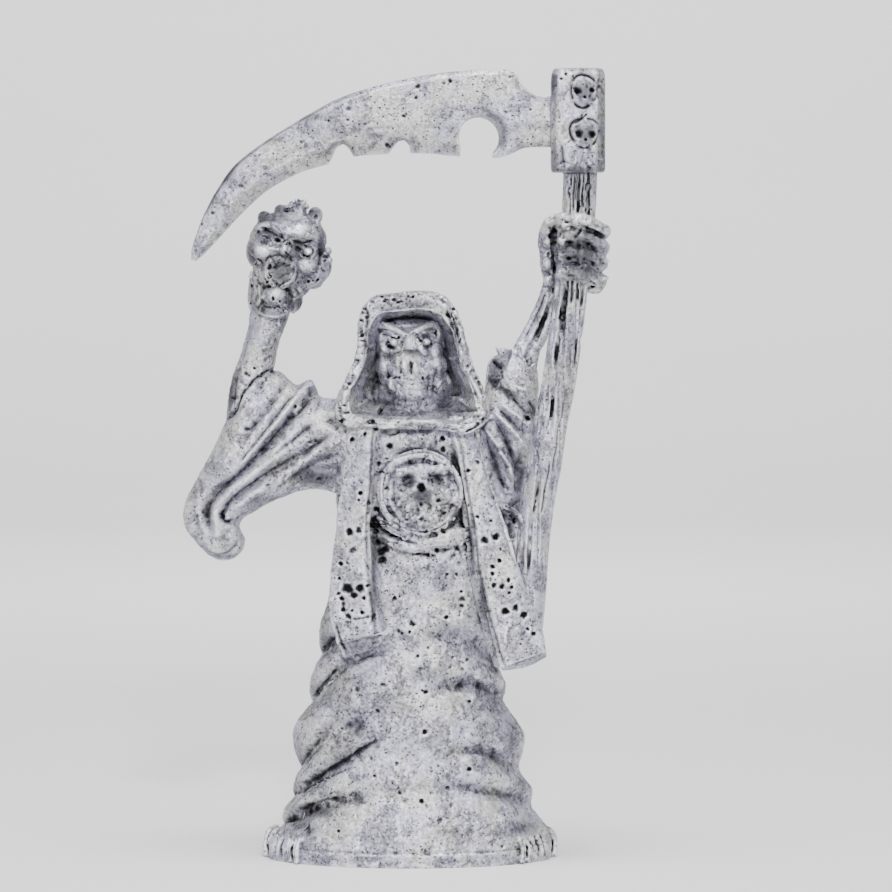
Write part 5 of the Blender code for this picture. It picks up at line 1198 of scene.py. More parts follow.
def faceForms():
    return [
        ball("cranium", (0.1, 0.2, 64.8), (4.1, 4.2, 3.7)), ball("forehead", (0.1, -1.9, 67.2), (3.6, 1.6, 1.3)),
        ball("brow", (0.1, -2.2, 66.2), (4.0, 2.3, 1.5)), ball("jaw", (0.3, -2.0, 61.4), (4.25, 2.6, 2.7)),
        ball("chin", (0.4, -3.2, 59.9), (1.9, 1.5, 1.2)), ball("beard", (0.4, -2.7, 58.9), (2.6, 1.9, 1.9)),
        ball("muzzle", (0.15, -2.6, 62.6), (3.9, 2.1, 1.8)),
        ball("left muzzle", (-3.05, -3.1, 62.5), (1.3, 1.4, 1.45)),
        ball("right muzzle", (3.3, -2.9, 62.6), (1.4, 1.4, 1.5)),
        ball("middle muzzle", (0.0, -3.7, 63.0), (2.3, 1.5, 1.6)),
        ball("nose bridge", (0.12, -5.2, 65.6), (0.75, 0.85, 0.8)),
        ball("lower lip", (0.4, -3.4, 60.9), (2.6, 1.3, 0.8)),
        ball("left cheek", (-3.3, -2.6, 64.6), (0.9, 1.7, 1.4)),
        ball("right cheek", (3.1, -2.7, 64.4), (1.1, 1.7, 1.3)),
        ball("left temple", (-3.6, -1.8, 66.0), (0.8, 1.8, 1.7)),
        ball("right temple", (3.5, -1.8, 66.2), (0.8, 1.8, 1.7)),
        ball("neck", (0.4, -2.2, 57.2), (3.3, 2.1, 1.7)), ball("left throat", (-2.3, -1.2, 58.9), (1.7, 2.0, 2.1)),
        ball("right throat", (3.4, -1.1, 59.0), (1.8, 2.0, 2.1)),
        ball("throat", (0.4, -2.5, 58.0), (2.9, 1.9, 1.6)),
        tube("left brow", [(-4.1, -2.6, 67.1, 0.3), (-3.2, -3.8, 67.65, 0.42), (-2.0, -4.4, 67.2, 0.42),
                           (-1.2, -4.7, 66.75, 0.4), (-0.5, -4.9, 66.4, 0.36), (0.0, -4.9, 66.5, 0.32)], 5),
        tube("right brow", [(0.0, -4.9, 66.5, 0.32), (0.9, -4.7, 66.95, 0.38), (1.85, -4.3, 67.55, 0.42),
                            (2.9, -3.8, 67.8, 0.42), (3.6, -3.1, 67.1, 0.36), (3.95, -2.6, 66.0, 0.36),
                            (4.1, -2.4, 65.0, 0.34)], 5),
        tube("lower left brow", [(-3.7, -3.0, 66.9, 0.3), (-2.6, -4.1, 66.7, 0.26), (-1.5, -4.5, 66.3, 0.24)], 5),
        tube("lower right brow", [(1.0, -4.4, 66.5, 0.26), (2.0, -4.2, 66.7, 0.28), (3.0, -3.6, 66.3, 0.3)], 5),
        loft("nose", [
            [(0.2 - w, y, z), (0.2, y - 1.1, z), (0.2 + w, y, z)]
            for w, y, z in ((0.3, -5.0, 66.7), (0.8, -5.15, 65.8), (1.15, -5.2, 65.0), (1.0, -4.9, 64.7))]),
        ball("left eye", (-1.98, -4.4, 65.55), (0.5, 0.55, 0.46)),
        ball("right eye", (2.08, -4.4, 65.6), (0.5, 0.55, 0.46)),
        tube("right fold", [(0.9, -4.9, 65.8, 0.24), (1.35, -5.1, 64.9, 0.32), (1.9, -4.9, 64.1, 0.24)], 5),
        tube("right jaw ridge", [(4.0, -2.6, 61.8, 0.26), (3.8, -3.0, 60.6, 0.32), (3.3, -3.3, 59.6, 0.28)], 5),
        tube("fang", [(-2.3, -4.2, 60.9, 0.34), (-2.3, -4.3, 60.1, 0.34), (-2.0, -4.1, 59.5, 0.24)], 5),
        tube("left tooth", [(-0.75, -4.9, 63.4, 0.3), (-0.65, -5.15, 62.6, 0.5), (-0.5, -5.0, 61.7, 0.26)], 5),
        tube("middle tooth", [(0.5, -4.9, 63.0, 0.32), (0.75, -5.1, 62.2, 0.46), (0.95, -4.9, 61.4, 0.24)], 5),
        tube("right tooth", [(1.3, -4.7, 62.4, 0.26), (1.6, -4.8, 61.8, 0.3), (1.8, -4.6, 61.2, 0.18)], 5),
    ]


faceStrokes = [
    ([(-4.2, 66.9), (-3.4, 66.9), (-2.6, 66.6), (-1.4, 66.3)], 0.22, 0.35),
    ([(-2.5, 66), (-1.9, 66.2), (-1.3, 66.2)], 0.16, 0.45),
    ([(-2.75, 65.5), (-2.6, 65.05), (-2.1, 64.8)], 0.17, 0.55),
    ([(-1.4, 65.8), (-1, 65.2), (-1.3, 64.8)], 0.2, 0.35),
    ([(0.95, 66.1), (1.2, 65.6), (1.55, 65.1)], 0.2, 0.6), ([(0.3, 66.75), (0.8, 66.65)], 0.14, 0.4),
    ([(2.55, 65.9), (2.65, 65.5), (2.55, 65)], 0.15, 0.55), ([(1.6, 66.1), (2.2, 66.2), (2.6, 66)], 0.14, 0.35),
    ([(3, 67.1), (3.2, 66.8), (3.5, 66.3)], 0.13, 0.4), ([(-0.9, 64.45), (0.2, 64.35), (1, 64.4)], 0.3, 0.08),
    ([(1.9, 64.9), (2.3, 64), (2.9, 63.3)], 0.3, 0.2), ([(-1.1, 64.4), (-2.2, 63.9), (-3.2, 63.2)], 0.3, 0.2),
    ([(-1.25, 63.2), (-1.22, 62.4), (-1.15, 61.6)], 0.14, 0.5),
    ([(0.12, 63.2), (0.15, 62.4), (0.22, 61.4)], 0.14, 0.5), ([(1.55, 63), (1.6, 62), (1.7, 61.2)], 0.14, 0.35),
    ([(-2.6, 62.8), (-2.7, 62), (-2.6, 61.2)], 0.2, 0.35),
    ([(-2.9, 61.4), (-2.2, 61), (-1.5, 61.15)], 0.2, 0.4), ([(1.2, 61), (1.9, 60.75), (2.5, 60.9)], 0.2, 0.3),
    ([(-0.9, 60.9), (0.2, 60.6), (1, 60.8)], 0.25, 0.2), ([(-1.7, 60.6), (-1.4, 60.2), (-1.1, 60)], 0.15, 0.35),
    ([(-1.2, 59.4), (-0.6, 58.6), (-0.8, 57.8)], 0.25, 0.15),
    ([(2.4, 61.4), (2.5, 60.2), (2.3, 59.4)], 0.2, 0.35), ([(3.3, 62.2), (3.3, 61.2), (3, 60.2)], 0.2, 0.3),
    ([(-3.9, 64.6), (-3.3, 64), (-3, 63.4)], 0.25, 0.2), ([(0, 62.9), (0.6, 62.95)], 0.12, 0.25),
    ([(-3.2, 60.6), (-3, 59.6), (-2.4, 58.8)], 0.25, 0.3),
]


# shallow grooves with painted shade round the nose, under the eyes and under the brows: path, width
noseShade = [
    ([(-0.5, 66.3), (-0.85, 65.6), (-1, 64.9)], 0.2), ([(0.9, 66.2), (1.35, 65.7)], 0.2),
    ([(-2.75, 66.1), (-2.8, 65.5), (-2.4, 65), (-1.8, 64.85)], 0.2),
    ([(1.5, 65.2), (2, 65), (2.6, 65.1)], 0.18), ([(-3.4, 66.6), (-2.4, 66.35), (-1.4, 66.1)], 0.22),
    ([(1.4, 66.4), (2.3, 66.5), (3, 66.2)], 0.22),
]
facePits = [
    (1.65, 61.05, 0.17, 0.6), (-2.7, 61.15, 0.22, 0.5), (-1.3, 61.1, 0.2, 0.5), (-3.1, 66.5, 0.35, 0.2),
    (1.33, 65.75, 0.2, 0.6), (-1.4, 66.15, 0.16, 0.5), (-2.7, 65.55, 0.14, 0.5), (2.7, 65.3, 0.17, 0.6),
]


def carveFace(clay):
    clay.strokes(faceStrokes, 1.6)
    # shallow grooves that carry painted shade
    for path, width in noseShade:
        clay.stroke(path, width, 0.12, oxideAndPaintedLight=0.3)
    clay.renew()
    clay.pits(facePits)


castPiece("face", faceForms(), faceLook, carveFace)
print("face done")


# Right arm, at the viewer's left: the long hanging sleeve and the forearm that comes out of it

rightArmLook = {
    "marks": [
        ((-28, 37), (-8, 62), 170, 0.34, 0.13, 25, 45), ((-24, 59), (-14, 72), 60, 0.26, 0.1, 26, 70),
    ],
    "grainMm": 0.05, "softening": 3, "triangles": 85000, "seed": 15,
    # oxide and painted shade laid on: x, z, half width, half height, how much
    "oxideAndPaintedLight": [
        (-11.8, 48.2, 3, 0.9, 0.45), (-18.6, 65, 2.8, 6.4, 0.12), (-22.4, 60, 0.7, 5, 0.25),
        (-12.6, 58.8, 0.9, 1.3, 0.35), (-18.4, 51.8, 0.7, 0.8, 0.2), (-25.6, 44, 0.6, 1.8, 0.25),
        (-24, 38.4, 2.4, 0.4, 0.3), (-9.6, 56, 1, 1.2, 0.25), (-22.8, 60, 0.4, 4, 0.3),
        (-15.8, 67, 0.5, 3, 0.2), (-27.2, 46.6, 0.6, 1.6, 0.25), (-17.4, 45.6, 2.6, 0.4, 0.25),
    ],
    "skin": {"pitsPerMm2": 1.4, "pitDepthMm": 0.05, "grainDepthMm": 0.16},
}


def rightArmForms():
    sleeve = strip("right sleeve", [
        (-6.5, -1.0, 57.0, -7.0, -1.0, 46.6, 4.6), (-9.0, -1.0, 58.2, -9.0, -1.0, 46.3, 4.2),
        (-11.3, -0.8, 58.6, -11.2, -1.0, 46.8, 3.7), (-12.4, -0.6, 60.8, -13.5, -1.0, 46.7, 3.5),
        (-14.4, -0.4, 60.2, -15.6, -1.0, 46.0, 3.5), (-17.0, -0.4, 62.0, -17.6, -1.0, 45.2, 3.7),
        (-20.6, -0.6, 59.4, -19.3, -1.0, 44.2, 4.0), (-23.1, -0.8, 55.8, -20.8, -1.0, 43.4, 4.1),
        (-25.0, -1.0, 51.8, -21.6, -1.0, 42.5, 3.8), (-27.0, -1.0, 48.2, -21.5, -1.0, 41.6, 3.3),
        (-28.6, -1.0, 44.8, -20.9, -1.0, 40.4, 3.1), (-28.5, -1.0, 42.2, -21.3, -1.0, 39.0, 2.9),
        (-27.0, -1.0, 40.0, -22.6, -1.0, 38.0, 2.3), (-25.6, -1.0, 38.5, -24.0, -1.0, 37.8, 1.0)], 2.3)
    cutFrom(sleeve, [ball("cuff hollow", (-14.0, 0.2, 62.6), (5.6, 1.5, 4.6))])
    forearm = strip("right forearm", [
        (-23.6, -1.0, 52.0, -18.6, -1.0, 53.6, 2.1), (-23.2, -1.0, 56.5, -18.3, -1.0, 58.2, 2.2),
        (-22.6, -0.9, 60.6, -17.2, -0.9, 62.2, 2.3), (-21.3, -0.8, 64.4, -16.5, -0.8, 65.6, 2.2),
        (-20.5, -0.6, 67.4, -15.5, -0.6, 68.2, 2.1), (-20.2, -0.4, 69.6, -14.9, -0.4, 70.2, 2.0),
        (-19.8, 0.2, 72.0, -14.2, 0.2, 72.4, 1.8)], 2.3)
    return [sleeve, forearm]


sleeveStrokes = [  # valleys, then the folds between them
    ([(-12.6, 58.6), (-13.9, 57.4), (-16, 54.8), (-18.7, 51.7), (-20.8, 49.5), (-24.5, 46.4), (-25.7, 44.3),
      (-25.4, 41.9)], 0.62, 1.15),
    ([(-10.2, 54), (-12.8, 52.1), (-15.5, 50.3), (-19.2, 47.9), (-22.4, 45.5), (-23.5, 44)], 0.5, 1),
    ([(-9.4, 51.6), (-11.4, 50.6), (-13.4, 49.2), (-15.4, 47.9)], 0.5, 0.6),
    ([(-15.6, 60.2), (-17.4, 57.8), (-19, 55.6), (-21.2, 52.8)], 0.55, 0.5),
    ([(-14.6, 59), (-16.6, 56.4), (-19.4, 52.8), (-21.6, 50.2)], 0.28, 0.4),
    ([(-12.4, 55.2), (-14.8, 53.2), (-17.2, 51.2)], 0.35, 0.45),
    ([(-23.4, 44.4), (-23.75, 43.6), (-23.2, 42.9), (-22.2, 42.8)], 0.28, 0.7),
    ([(-22.2, 48.2), (-24.4, 47), (-25.8, 45.8)], 0.4, 0.35),
    ([(-22, 42.9), (-21.2, 43.5), (-20, 44.05), (-18.2, 44.95), (-16.2, 45.85), (-13.8, 46.7), (-11, 47.1)],
     0.24, 0.5),
    ([(-26.8, 39.9), (-25.6, 38.9), (-24, 38.5), (-22.4, 39.1), (-21.6, 40.3)], 0.28, 0.4),
    ([(-14.4, 47.8), (-12.8, 48.8), (-10.8, 49.2), (-8.6, 49)], 1, 1.2),
    ([(-26.9, 48.4), (-26.4, 46.4)], 0.4, 0.35), ([(-11.6, 58), (-9.4, 57.2)], 0.6, 0.35),
    ([(-12.6, 60), (-12.2, 58.6)], 0.5, 0.5), ([(-10.4, 55.8), (-9, 54.6)], 0.5, 0.4),
    ([(-22.6, 41.8), (-23.6, 40.8), (-24.8, 40.6)], 0.4, 0.25),
    ([(-27.4, 44.4), (-27, 42.4), (-26.2, 41)], 0.4, 0.25),
    ([(-13.1, 59.9), (-15.5, 56.8), (-18.5, 53.6), (-21.9, 49.5)], 0.6, -0.4),
    ([(-16, 58.8), (-18.6, 55.4), (-20.8, 52.5)], 0.5, -0.3),
    ([(-13.6, 54.8), (-17.1, 51.1), (-20, 48.9), (-24.4, 45.6)], 0.7, -0.45),
    ([(-10.4, 53.6), (-13.9, 49.9), (-16.6, 48.1), (-19.7, 46.4), (-22.4, 44.7)], 0.75, -0.45),
    ([(-24.6, 44.6), (-24.4, 42.8), (-24, 40.8)], 0.7, -0.3),
    ([(-12, 52.9), (-14.6, 50.9), (-17.4, 49.1)], 0.28, -0.3),
]
armStrokes = [
    ([(-23.3, 55.7), (-22.1, 56.9), (-21.2, 58.9), (-19.7, 60.6), (-18.4, 61.5), (-17.1, 62.2)], 0.22, 0.75),
    ([(-22.3, 57.2), (-22.2, 60.4), (-21.2, 64), (-20.3, 67.6)], 0.3, 0.35),
    ([(-16.9, 63), (-16.6, 64.6), (-15.8, 67)], 0.25, 0.25), ([(-20.7, 61.6), (-20.2, 61.2)], 0.22, 0.3),
    ([(-19, 66), (-18.4, 69)], 0.6, -0.15), ([(-17.6, 64), (-17, 66.6)], 0.5, 0.12),
]
sleeveBack = [
    ([(-12.2, 57.2), (-16.2, 54.6), (-20.2, 50.3), (-24.8, 46.4), (-26, 43.4)], 0.9, 0.9),
    ([(-10.6, 54.4), (-15.2, 50.6), (-20.6, 46.6), (-23.4, 43.8)], 0.8, 0.8),
    ([(-16, 58.4), (-19.6, 55.4), (-22.6, 51)], 0.6, 0.5),
    ([(-9.8, 51.6), (-13.4, 48.8), (-17.4, 46.6)], 0.5, 0.5),
]
sleevePits = [
    (-23.5, 43.6, 0.3, 0.5), (-14.5, 57.4, 0.25, 0.4), (-15.3, 56, 0.25, 0.25), (-11.5, 48.3, 0.22, 0.3),
    (-19.6, 62.2, 0.2, 0.2), (-20.7, 61.6, 0.24, 0.25), (-20.5, 54.6, 0.3, 0.15), (-23.9, 43.85, 0.2, 0.4),
]


def carveRightArm(clay):
    clay.strokes(sleeveStrokes, 1.8)
    clay.strokes(sleeveBack, side=1)
    clay.renew()
    clay.strokes(armStrokes, 1.5)
    clay.pits(sleevePits)


castPiece("right_arm", rightArmForms(), rightArmLook, carveRightArm)
print("right arm done")


# The head held up in the right hand, with the hand's fingers over it and a small skull below

trophyLook = {
    "marks": [
        ((-20.5, 68.5), (-10.5, 83.5), 170, 0.18, 0.12, 27, -30),
        ((-18, 72.8), (-14.6, 76.2), 50, 0.15, 0.14, 28, 70),
    ],
    "grainMm": 0.032, "softening": 3, "triangles": 115000, "seed": 16, "finger": mmToUnits(0.74) / 2,
    # oxide and painted shade laid on; those below 0 are painted highlights on the head's brows, eyes, nose, cheeks
    # and lips, the fingers and the small skull
    "oxideAndPaintedLight": [
        (-15.4, 76, 5.4, 7, 0.31), (-18.3, 77.15, 1.3, 0.75, -0.8), (-14, 79.75, 1.4, 0.6, -0.8),
        (-13, 75.3, 0.9, 0.8, -0.7), (-12.8, 76.95, 0.4, 0.4, -0.9), (-16.8, 71.7, 1.1, 0.8, -0.6),
        (-15.8, 77.3, 0.4, 0.5, -0.6), (-18.6, 80.1, 1, 0.45, -0.6), (-14.7, 74, 0.35, 0.6, -0.5),
        (-17.95, 74.6, 0.3, 0.7, -0.5), (-15.4, 81, 1.2, 0.5, -0.3), (-18.2, 79, 1.1, 0.6, 0.3),
        (-15.8, 81, 2.6, 0.7, 0.2), (-18.5, 81.4, 0.7, 0.7, 0.4), (-16.3, 82.2, 0.6, 0.6, 0.3),
        (-12, 81.8, 0.7, 0.8, 0.4), (-14.2, 77.4, 0.7, 0.8, 0.3), (-16.2, 74.6, 1.2, 1.3, 0.22),
        (-18.6, 69.8, 1.2, 0.8, 0.4), (-20, 76.8, 0.6, 1.6, 0.35), (-13.9, 70.4, 0.8, 0.9, 0.35),
        (-11.2, 77.8, 0.4, 2, 0.3), (-19.9, 71.6, 0.6, 1.8, 0.3), (-16.4, 81.2, 1.4, 0.5, 0.2),
    ],
    "skin": {"pitsPerMm2": 2.5, "pitRadiusMm": 0.05, "pitDepthMm": 0.045, "grainMm": 0.28, "grainDepthMm": 0.13},
}


def handForms():
    finger = trophyLook["finger"]
    forms = [ball("palm", (-15.9, 1.6, 75.0), (4.1, 1.9, 4.6))]
    tips = ((-18.4, 81.2, -18.3), (-16.3, 82.0, -16.6), (-14.0, 82.3, -14.7), (-12.0, 81.7, -12.9))
    for tip, top, root in tips:
        forms.append(tube("finger", [
            (root, 2.0, 76.5, finger * 1.05), (root, 2.6, 79.5, finger), (tip, 1.2, top - 0.4, finger * 1.05),
            (tip, -0.8, top, finger * 1.05), (tip + 0.1, -2.4, top - 0.6, finger * 0.85),
            (tip + 0.2, -3.2, top - 1.3, finger * 0.5)], 5))
    forms.append(tube("thumb", [
        (-12.4, 1.6, 73.0, finger), (-10.9, 0.6, 74.4, finger), (-10.6, -1.0, 75.6, finger * 0.8),
        (-10.8, -2.0, 76.7, finger * 0.7)], 5))
    for x, z, size in ((-10.35, 77.0, 0.5), (-10.2, 75.85, 0.48), (-10.9, 73.95, 0.4), (-14.9, 82.9, 0.4),
                       (-14.2, 83.35, 0.36), (-13.5, 83.1, 0.4), (-15.3, 82.6, 0.34), (-13.0, 82.6, 0.3)):
        forms.append(ball("bead", (x, -2.0, z), (size, 0.6, size)))
    return forms


def trophyForms():
    def oval(name, x, z, wide, high, y, thick, turn=0.0, start=0.0, end=2 * math.pi):
        cos, sin = math.cos(turn), math.sin(turn)
        return tube(name, [
            (x + wide * math.cos(a) * cos - high * math.sin(a) * sin, y,
             z + wide * math.cos(a) * sin + high * math.sin(a) * cos, thick)
            for a in np.linspace(start, end, 29)], 1)
    strands = [
        [(-19.5, -3.0, 75.2, 0.26), (-19.2, -3.4, 74.3, 0.3), (-18.5, -3.6, 73.3, 0.28)],
        [(-19.0, -3.6, 74.8, 0.24), (-18.6, -3.9, 73.9, 0.26), (-18.0, -4.0, 73.1, 0.24)],
        [(-19.9, -2.0, 74.2, 0.28), (-20.0, -2.2, 72.8, 0.34), (-20.2, -2.0, 71.0, 0.34),
         (-20.1, -1.6, 69.8, 0.28)],
        [(-19.4, -2.8, 73.6, 0.3), (-19.5, -3.0, 72.3, 0.34), (-19.6, -2.8, 70.8, 0.3)],
        [(-15.0, -3.6, 72.7, 0.26), (-14.6, -3.4, 71.9, 0.3), (-14.1, -3.0, 71.2, 0.28)],
        [(-14.3, -3.4, 73.2, 0.26), (-13.9, -3.2, 72.2, 0.3), (-13.6, -2.8, 71.4, 0.26)],
        [(-14.6, -3.0, 71.0, 0.34), (-14.3, -2.8, 70.2, 0.42), (-14.8, -2.4, 69.4, 0.34)],
        [(-18.9, -3.2, 72.4, 0.32), (-18.9, -3.2, 71.4, 0.3), (-19.1, -3.0, 70.2, 0.26)],
        [(-19.8, -2.2, 70.2, 0.2), (-18.8, -3.2, 69.2, 0.2), (-17.6, -3.6, 68.8, 0.2), (-16.4, -3.5, 68.8, 0.2),
         (-15.5, -3.0, 69.3, 0.2)],
        [(-18.5, -4.0, 71.2, 0.22), (-17.6, -4.4, 70.9, 0.22), (-16.6, -4.4, 70.4, 0.22),
         (-15.6, -4.0, 70.2, 0.22)],
    ]
    forms = [
        ball("skull", (-15.4, -1.2, 78.4), (4.9, 4.0, 3.5)), ball("crown", (-15.3, -1.5, 80.2), (4.1, 3.0, 1.9)),
        ball("temple", (-18.6, -1.4, 77.0), (2.1, 2.6, 2.5)), ball("jaw", (-16.0, -2.2, 74.4), (3.6, 2.8, 2.9)),
        ball("left cheek", (-18.0, -3.6, 77.0), (2.1, 1.5, 1.15)),
        ball("right cheek", (-12.9, -3.9, 75.2), (1.4, 1.5, 1.15)),
        ball("right jaw", (-11.8, -1.8, 74.8), (1.6, 2.2, 2.1)),
        ball("mouth", (-16.2, -3.5, 74.6), (2.2, 1.7, 2.1)),
        oval("left lip", -16.3, 74.5, 1.7, 1.95, -4.9, 0.26, 0.0, 2.3, 4.3),
        oval("right lip", -16.2, 74.4, 1.75, 1.9, -4.9, 0.24, 0.0, -1.5, 0.6),
        tube("upper lip", [(-17.6, -4.8, 75.8, 0.3), (-16.8, -5.2, 76.0, 0.34), (-15.9, -5.3, 75.9, 0.3),
                           (-15.2, -5.0, 75.5, 0.26)], 5),
        ball("tongue", (-16.3, -4.6, 74.5), (0.9, 0.6, 1.0)), ball("gum", (-16.9, -4.7, 75.1), (0.5, 0.5, 0.5)),
        oval("ear", -12.4, 73.1, 1.05, 0.5, -3.1, 0.19, 0.4),
        ball("ear lobe", (-12.3, -2.2, 73.1), (1.3, 1.0, 0.9)),
        tube("left brow", [(-19.3, -2.8, 79.3, 0.34), (-18.5, -3.9, 80.2, 0.42), (-17.2, -4.6, 80.3, 0.42),
                           (-16.2, -5.0, 79.5, 0.38), (-15.5, -5.3, 78.7, 0.34)], 5),
        ball("forehead", (-13.9, -3.9, 79.8), (1.6, 1.2, 0.85)),
        ball("crown fill", (-15.4, -0.8, 82.0), (0.9, 1.2, 0.9)),
        tube("right brow", [(-15.4, -5.3, 79.2, 0.38), (-14.2, -5.2, 79.25, 0.5), (-12.9, -4.8, 78.9, 0.46),
                            (-11.5, -3.8, 78.35, 0.36)], 5),
        tube("nose", [(-15.4, -5.4, 78.1, 0.3), (-15.7, -5.8, 77.4, 0.42), (-15.9, -5.7, 77.0, 0.46)], 5),
        ball("nostril", (-15.15, -5.5, 77.1), (0.42, 0.5, 0.4)),
        ball("left eye", (-18.2, -4.5, 78.75), (0.68, 0.5, 0.5)),
        ball("right eye", (-12.8, -4.7, 76.95), (0.55, 0.5, 0.5)),
        oval("right lid", -12.85, 76.95, 0.95, 0.85, -4.5, 0.16),
        tube("left lid", [(-19.4, -3.2, 78.0, 0.18), (-18.2, -4.6, 77.95, 0.2), (-16.9, -5.1, 78.05, 0.18)], 5),
        tube("cheek line", [(-18.8, -4.4, 77.6, 0.16), (-17.6, -5.1, 77.3, 0.2), (-16.5, -5.4, 77.2, 0.2)], 5),
        ball("small skull", (-16.9, -3.7, 71.45), (1.6, 1.4, 1.3)),
        ball("small jaw", (-17.2, -2.9, 69.8), (1.6, 1.4, 1.0)),
        ball("left shred", (-19.3, -1.4, 71.6), (1.0, 1.4, 2.2)),
        ball("right shred", (-14.5, -1.6, 71.3), (1.0, 1.4, 2.0)),
    ]
    return forms + [tube("strand", rows, 4) for rows in strands]


trophyStrokes = [
    ([(-18.7, 79.85), (-18.1, 79.75), (-17.5, 79.5), (-16.6, 78.95), (-15.9, 78.6)], 0.17, 0.4),
    ([(-18.9, 78.1), (-18.2, 78), (-17.5, 78.2)], 0.15, 0.3),
    ([(-18.9, 78.9), (-18.2, 78.95), (-17.6, 78.6)], 0.14, 0.3),
    ([(-17, 78.6), (-16.7, 78.4), (-16.3, 78.2)], 0.2, 0.6),
    ([(-15.5, 78.2), (-15.3, 78), (-15, 77.8)], 0.15, 0.55),
    ([(-14.6, 78.35), (-13.8, 78.1), (-13, 78), (-12.2, 78.2)], 0.22, 0.55),
    ([(-14.2, 77.6), (-13.9, 77.2), (-13.6, 77)], 0.22, 0.5),
    ([(-13.2, 77.75), (-12.8, 77.68), (-12.4, 77.7)], 0.16, 0.5),
    ([(-12.1, 77.4), (-12.1, 76.8), (-12.5, 76.4)], 0.14, 0.4),
    ([(-13.4, 76.5), (-13, 76.3), (-12.5, 76.4)], 0.14, 0.3),
    ([(-11.2, 78.4), (-11.2, 77.2), (-11.3, 76), (-11.4, 75.2)], 0.2, 0.5),
    ([(-10.9, 76.35), (-10.2, 76.25)], 0.12, 0.4), ([(-11, 75), (-10.7, 74.4)], 0.2, 0.4),
    ([(-19.3, 76), (-18.8, 75.6), (-18.6, 75.1)], 0.2, 0.4),
    ([(-20, 76.4), (-19.7, 75.8), (-19.3, 75.4)], 0.2, 0.4),
    ([(-18, 75.9), (-17.6, 76.2), (-17.2, 75.9)], 0.15, 0.3),
    ([(-17.9, 75), (-17.9, 74.2), (-17.6, 73.5)], 0.15, 0.4),
    ([(-15, 76.3), (-14.6, 75.6), (-14.5, 74.8), (-14.8, 73.8)], 0.14, 0.3),
    ([(-14.1, 74.4), (-14.2, 73.7), (-14.6, 73.1)], 0.15, 0.4), ([(-19.3, 81.2), (-18.9, 80.6)], 0.3, 0.5),
    ([(-17.6, 81.7), (-17.1, 82.3)], 0.25, 0.5), ([(-15.5, 82), (-15.4, 82.9)], 0.25, 0.6),
    ([(-13.2, 82.2), (-12.9, 81.6)], 0.25, 0.6), ([(-16.7, 80), (-16.2, 79.4), (-15.8, 78.9)], 0.16, 0.25),
    ([(-17, 80.3), (-16.5, 79.6)], 0.14, 0.2), ([(-12.4, 80.6), (-11.6, 80.2), (-11.2, 79.4)], 0.25, 0.25),
    ([(-18.4, 72.4), (-18.4, 71.8), (-18.5, 71.2)], 0.2, 0.45),
    ([(-15.3, 72.2), (-15.2, 71.4), (-15.3, 70.4)], 0.2, 0.45),
    ([(-18.8, 72.9), (-18.2, 72.5), (-17.4, 72.7)], 0.18, 0.35),
    ([(-16.6, 72.7), (-15.8, 72.5), (-15.2, 72)], 0.16, 0.35),
    ([(-18.6, 70.4), (-18, 70), (-17, 70), (-16, 70.2)], 0.14, 0.25),
    ([(-15.9, 69.3), (-15.4, 69.7)], 0.2, 0.35),
]
trophyPits = [
    (-18.15, 79.75, 0.2, 0.5), (-16.55, 78.4, 0.28, 0.7), (-15.25, 77.95, 0.18, 0.6),
    (-15.55, 76.85, 0.17, 0.6), (-15.3, 76.55, 0.12, 0.4), (-18.3, 78.5, 0.13, 0.2), (-12.8, 77.7, 0.22, 0.5),
    (-10.7, 75.75, 0.17, 0.45), (-12.8, 73.2, 0.2, 0.7), (-11.6, 73.4, 0.16, 0.6), (-12.2, 73.3, 0.14, 0.4),
    (-17.9, 73.15, 0.2, 0.7), (-16.8, 72.85, 0.18, 0.6), (-17.2, 71.15, 0.17, 0.7), (-17.15, 70.95, 0.16, 0.6),
    (-16.35, 70.7, 0.15, 0.5), (-17, 69.8, 0.14, 0.3), (-16.9, 75, 0.2, 0.3), (-20.1, 70.4, 0.15, 0.4),
    (-19.9, 72.6, 0.15, 0.4), (-11.8, 81.3, 0.3, 0.5), (-12.5, 82, 0.2, 0.4), (-17.9, 81.6, 0.15, 0.3),
    (-18.6, 69.7, 0.35, 0.3), (-14, 83.3, 0.2, 0.4),
]


def carveTrophy(clay):
    clay.strokes(trophyStrokes, 1.6)
    clay.renew()
    clay.pits(trophyPits)
    for x in (-18.0, -15.8, -13.6):
        clay.stroke([(x, 80.0), (x + 0.2, 76.0), (x + 0.3, 72.6)], 0.3, 0.4, side=1)


castPiece("trophy_head", trophyForms() + handForms(), trophyLook, carveTrophy)
print("trophy done")


# Left arm, at the viewer's right: the torn sleeve, two forearm bones and the fist round the staff

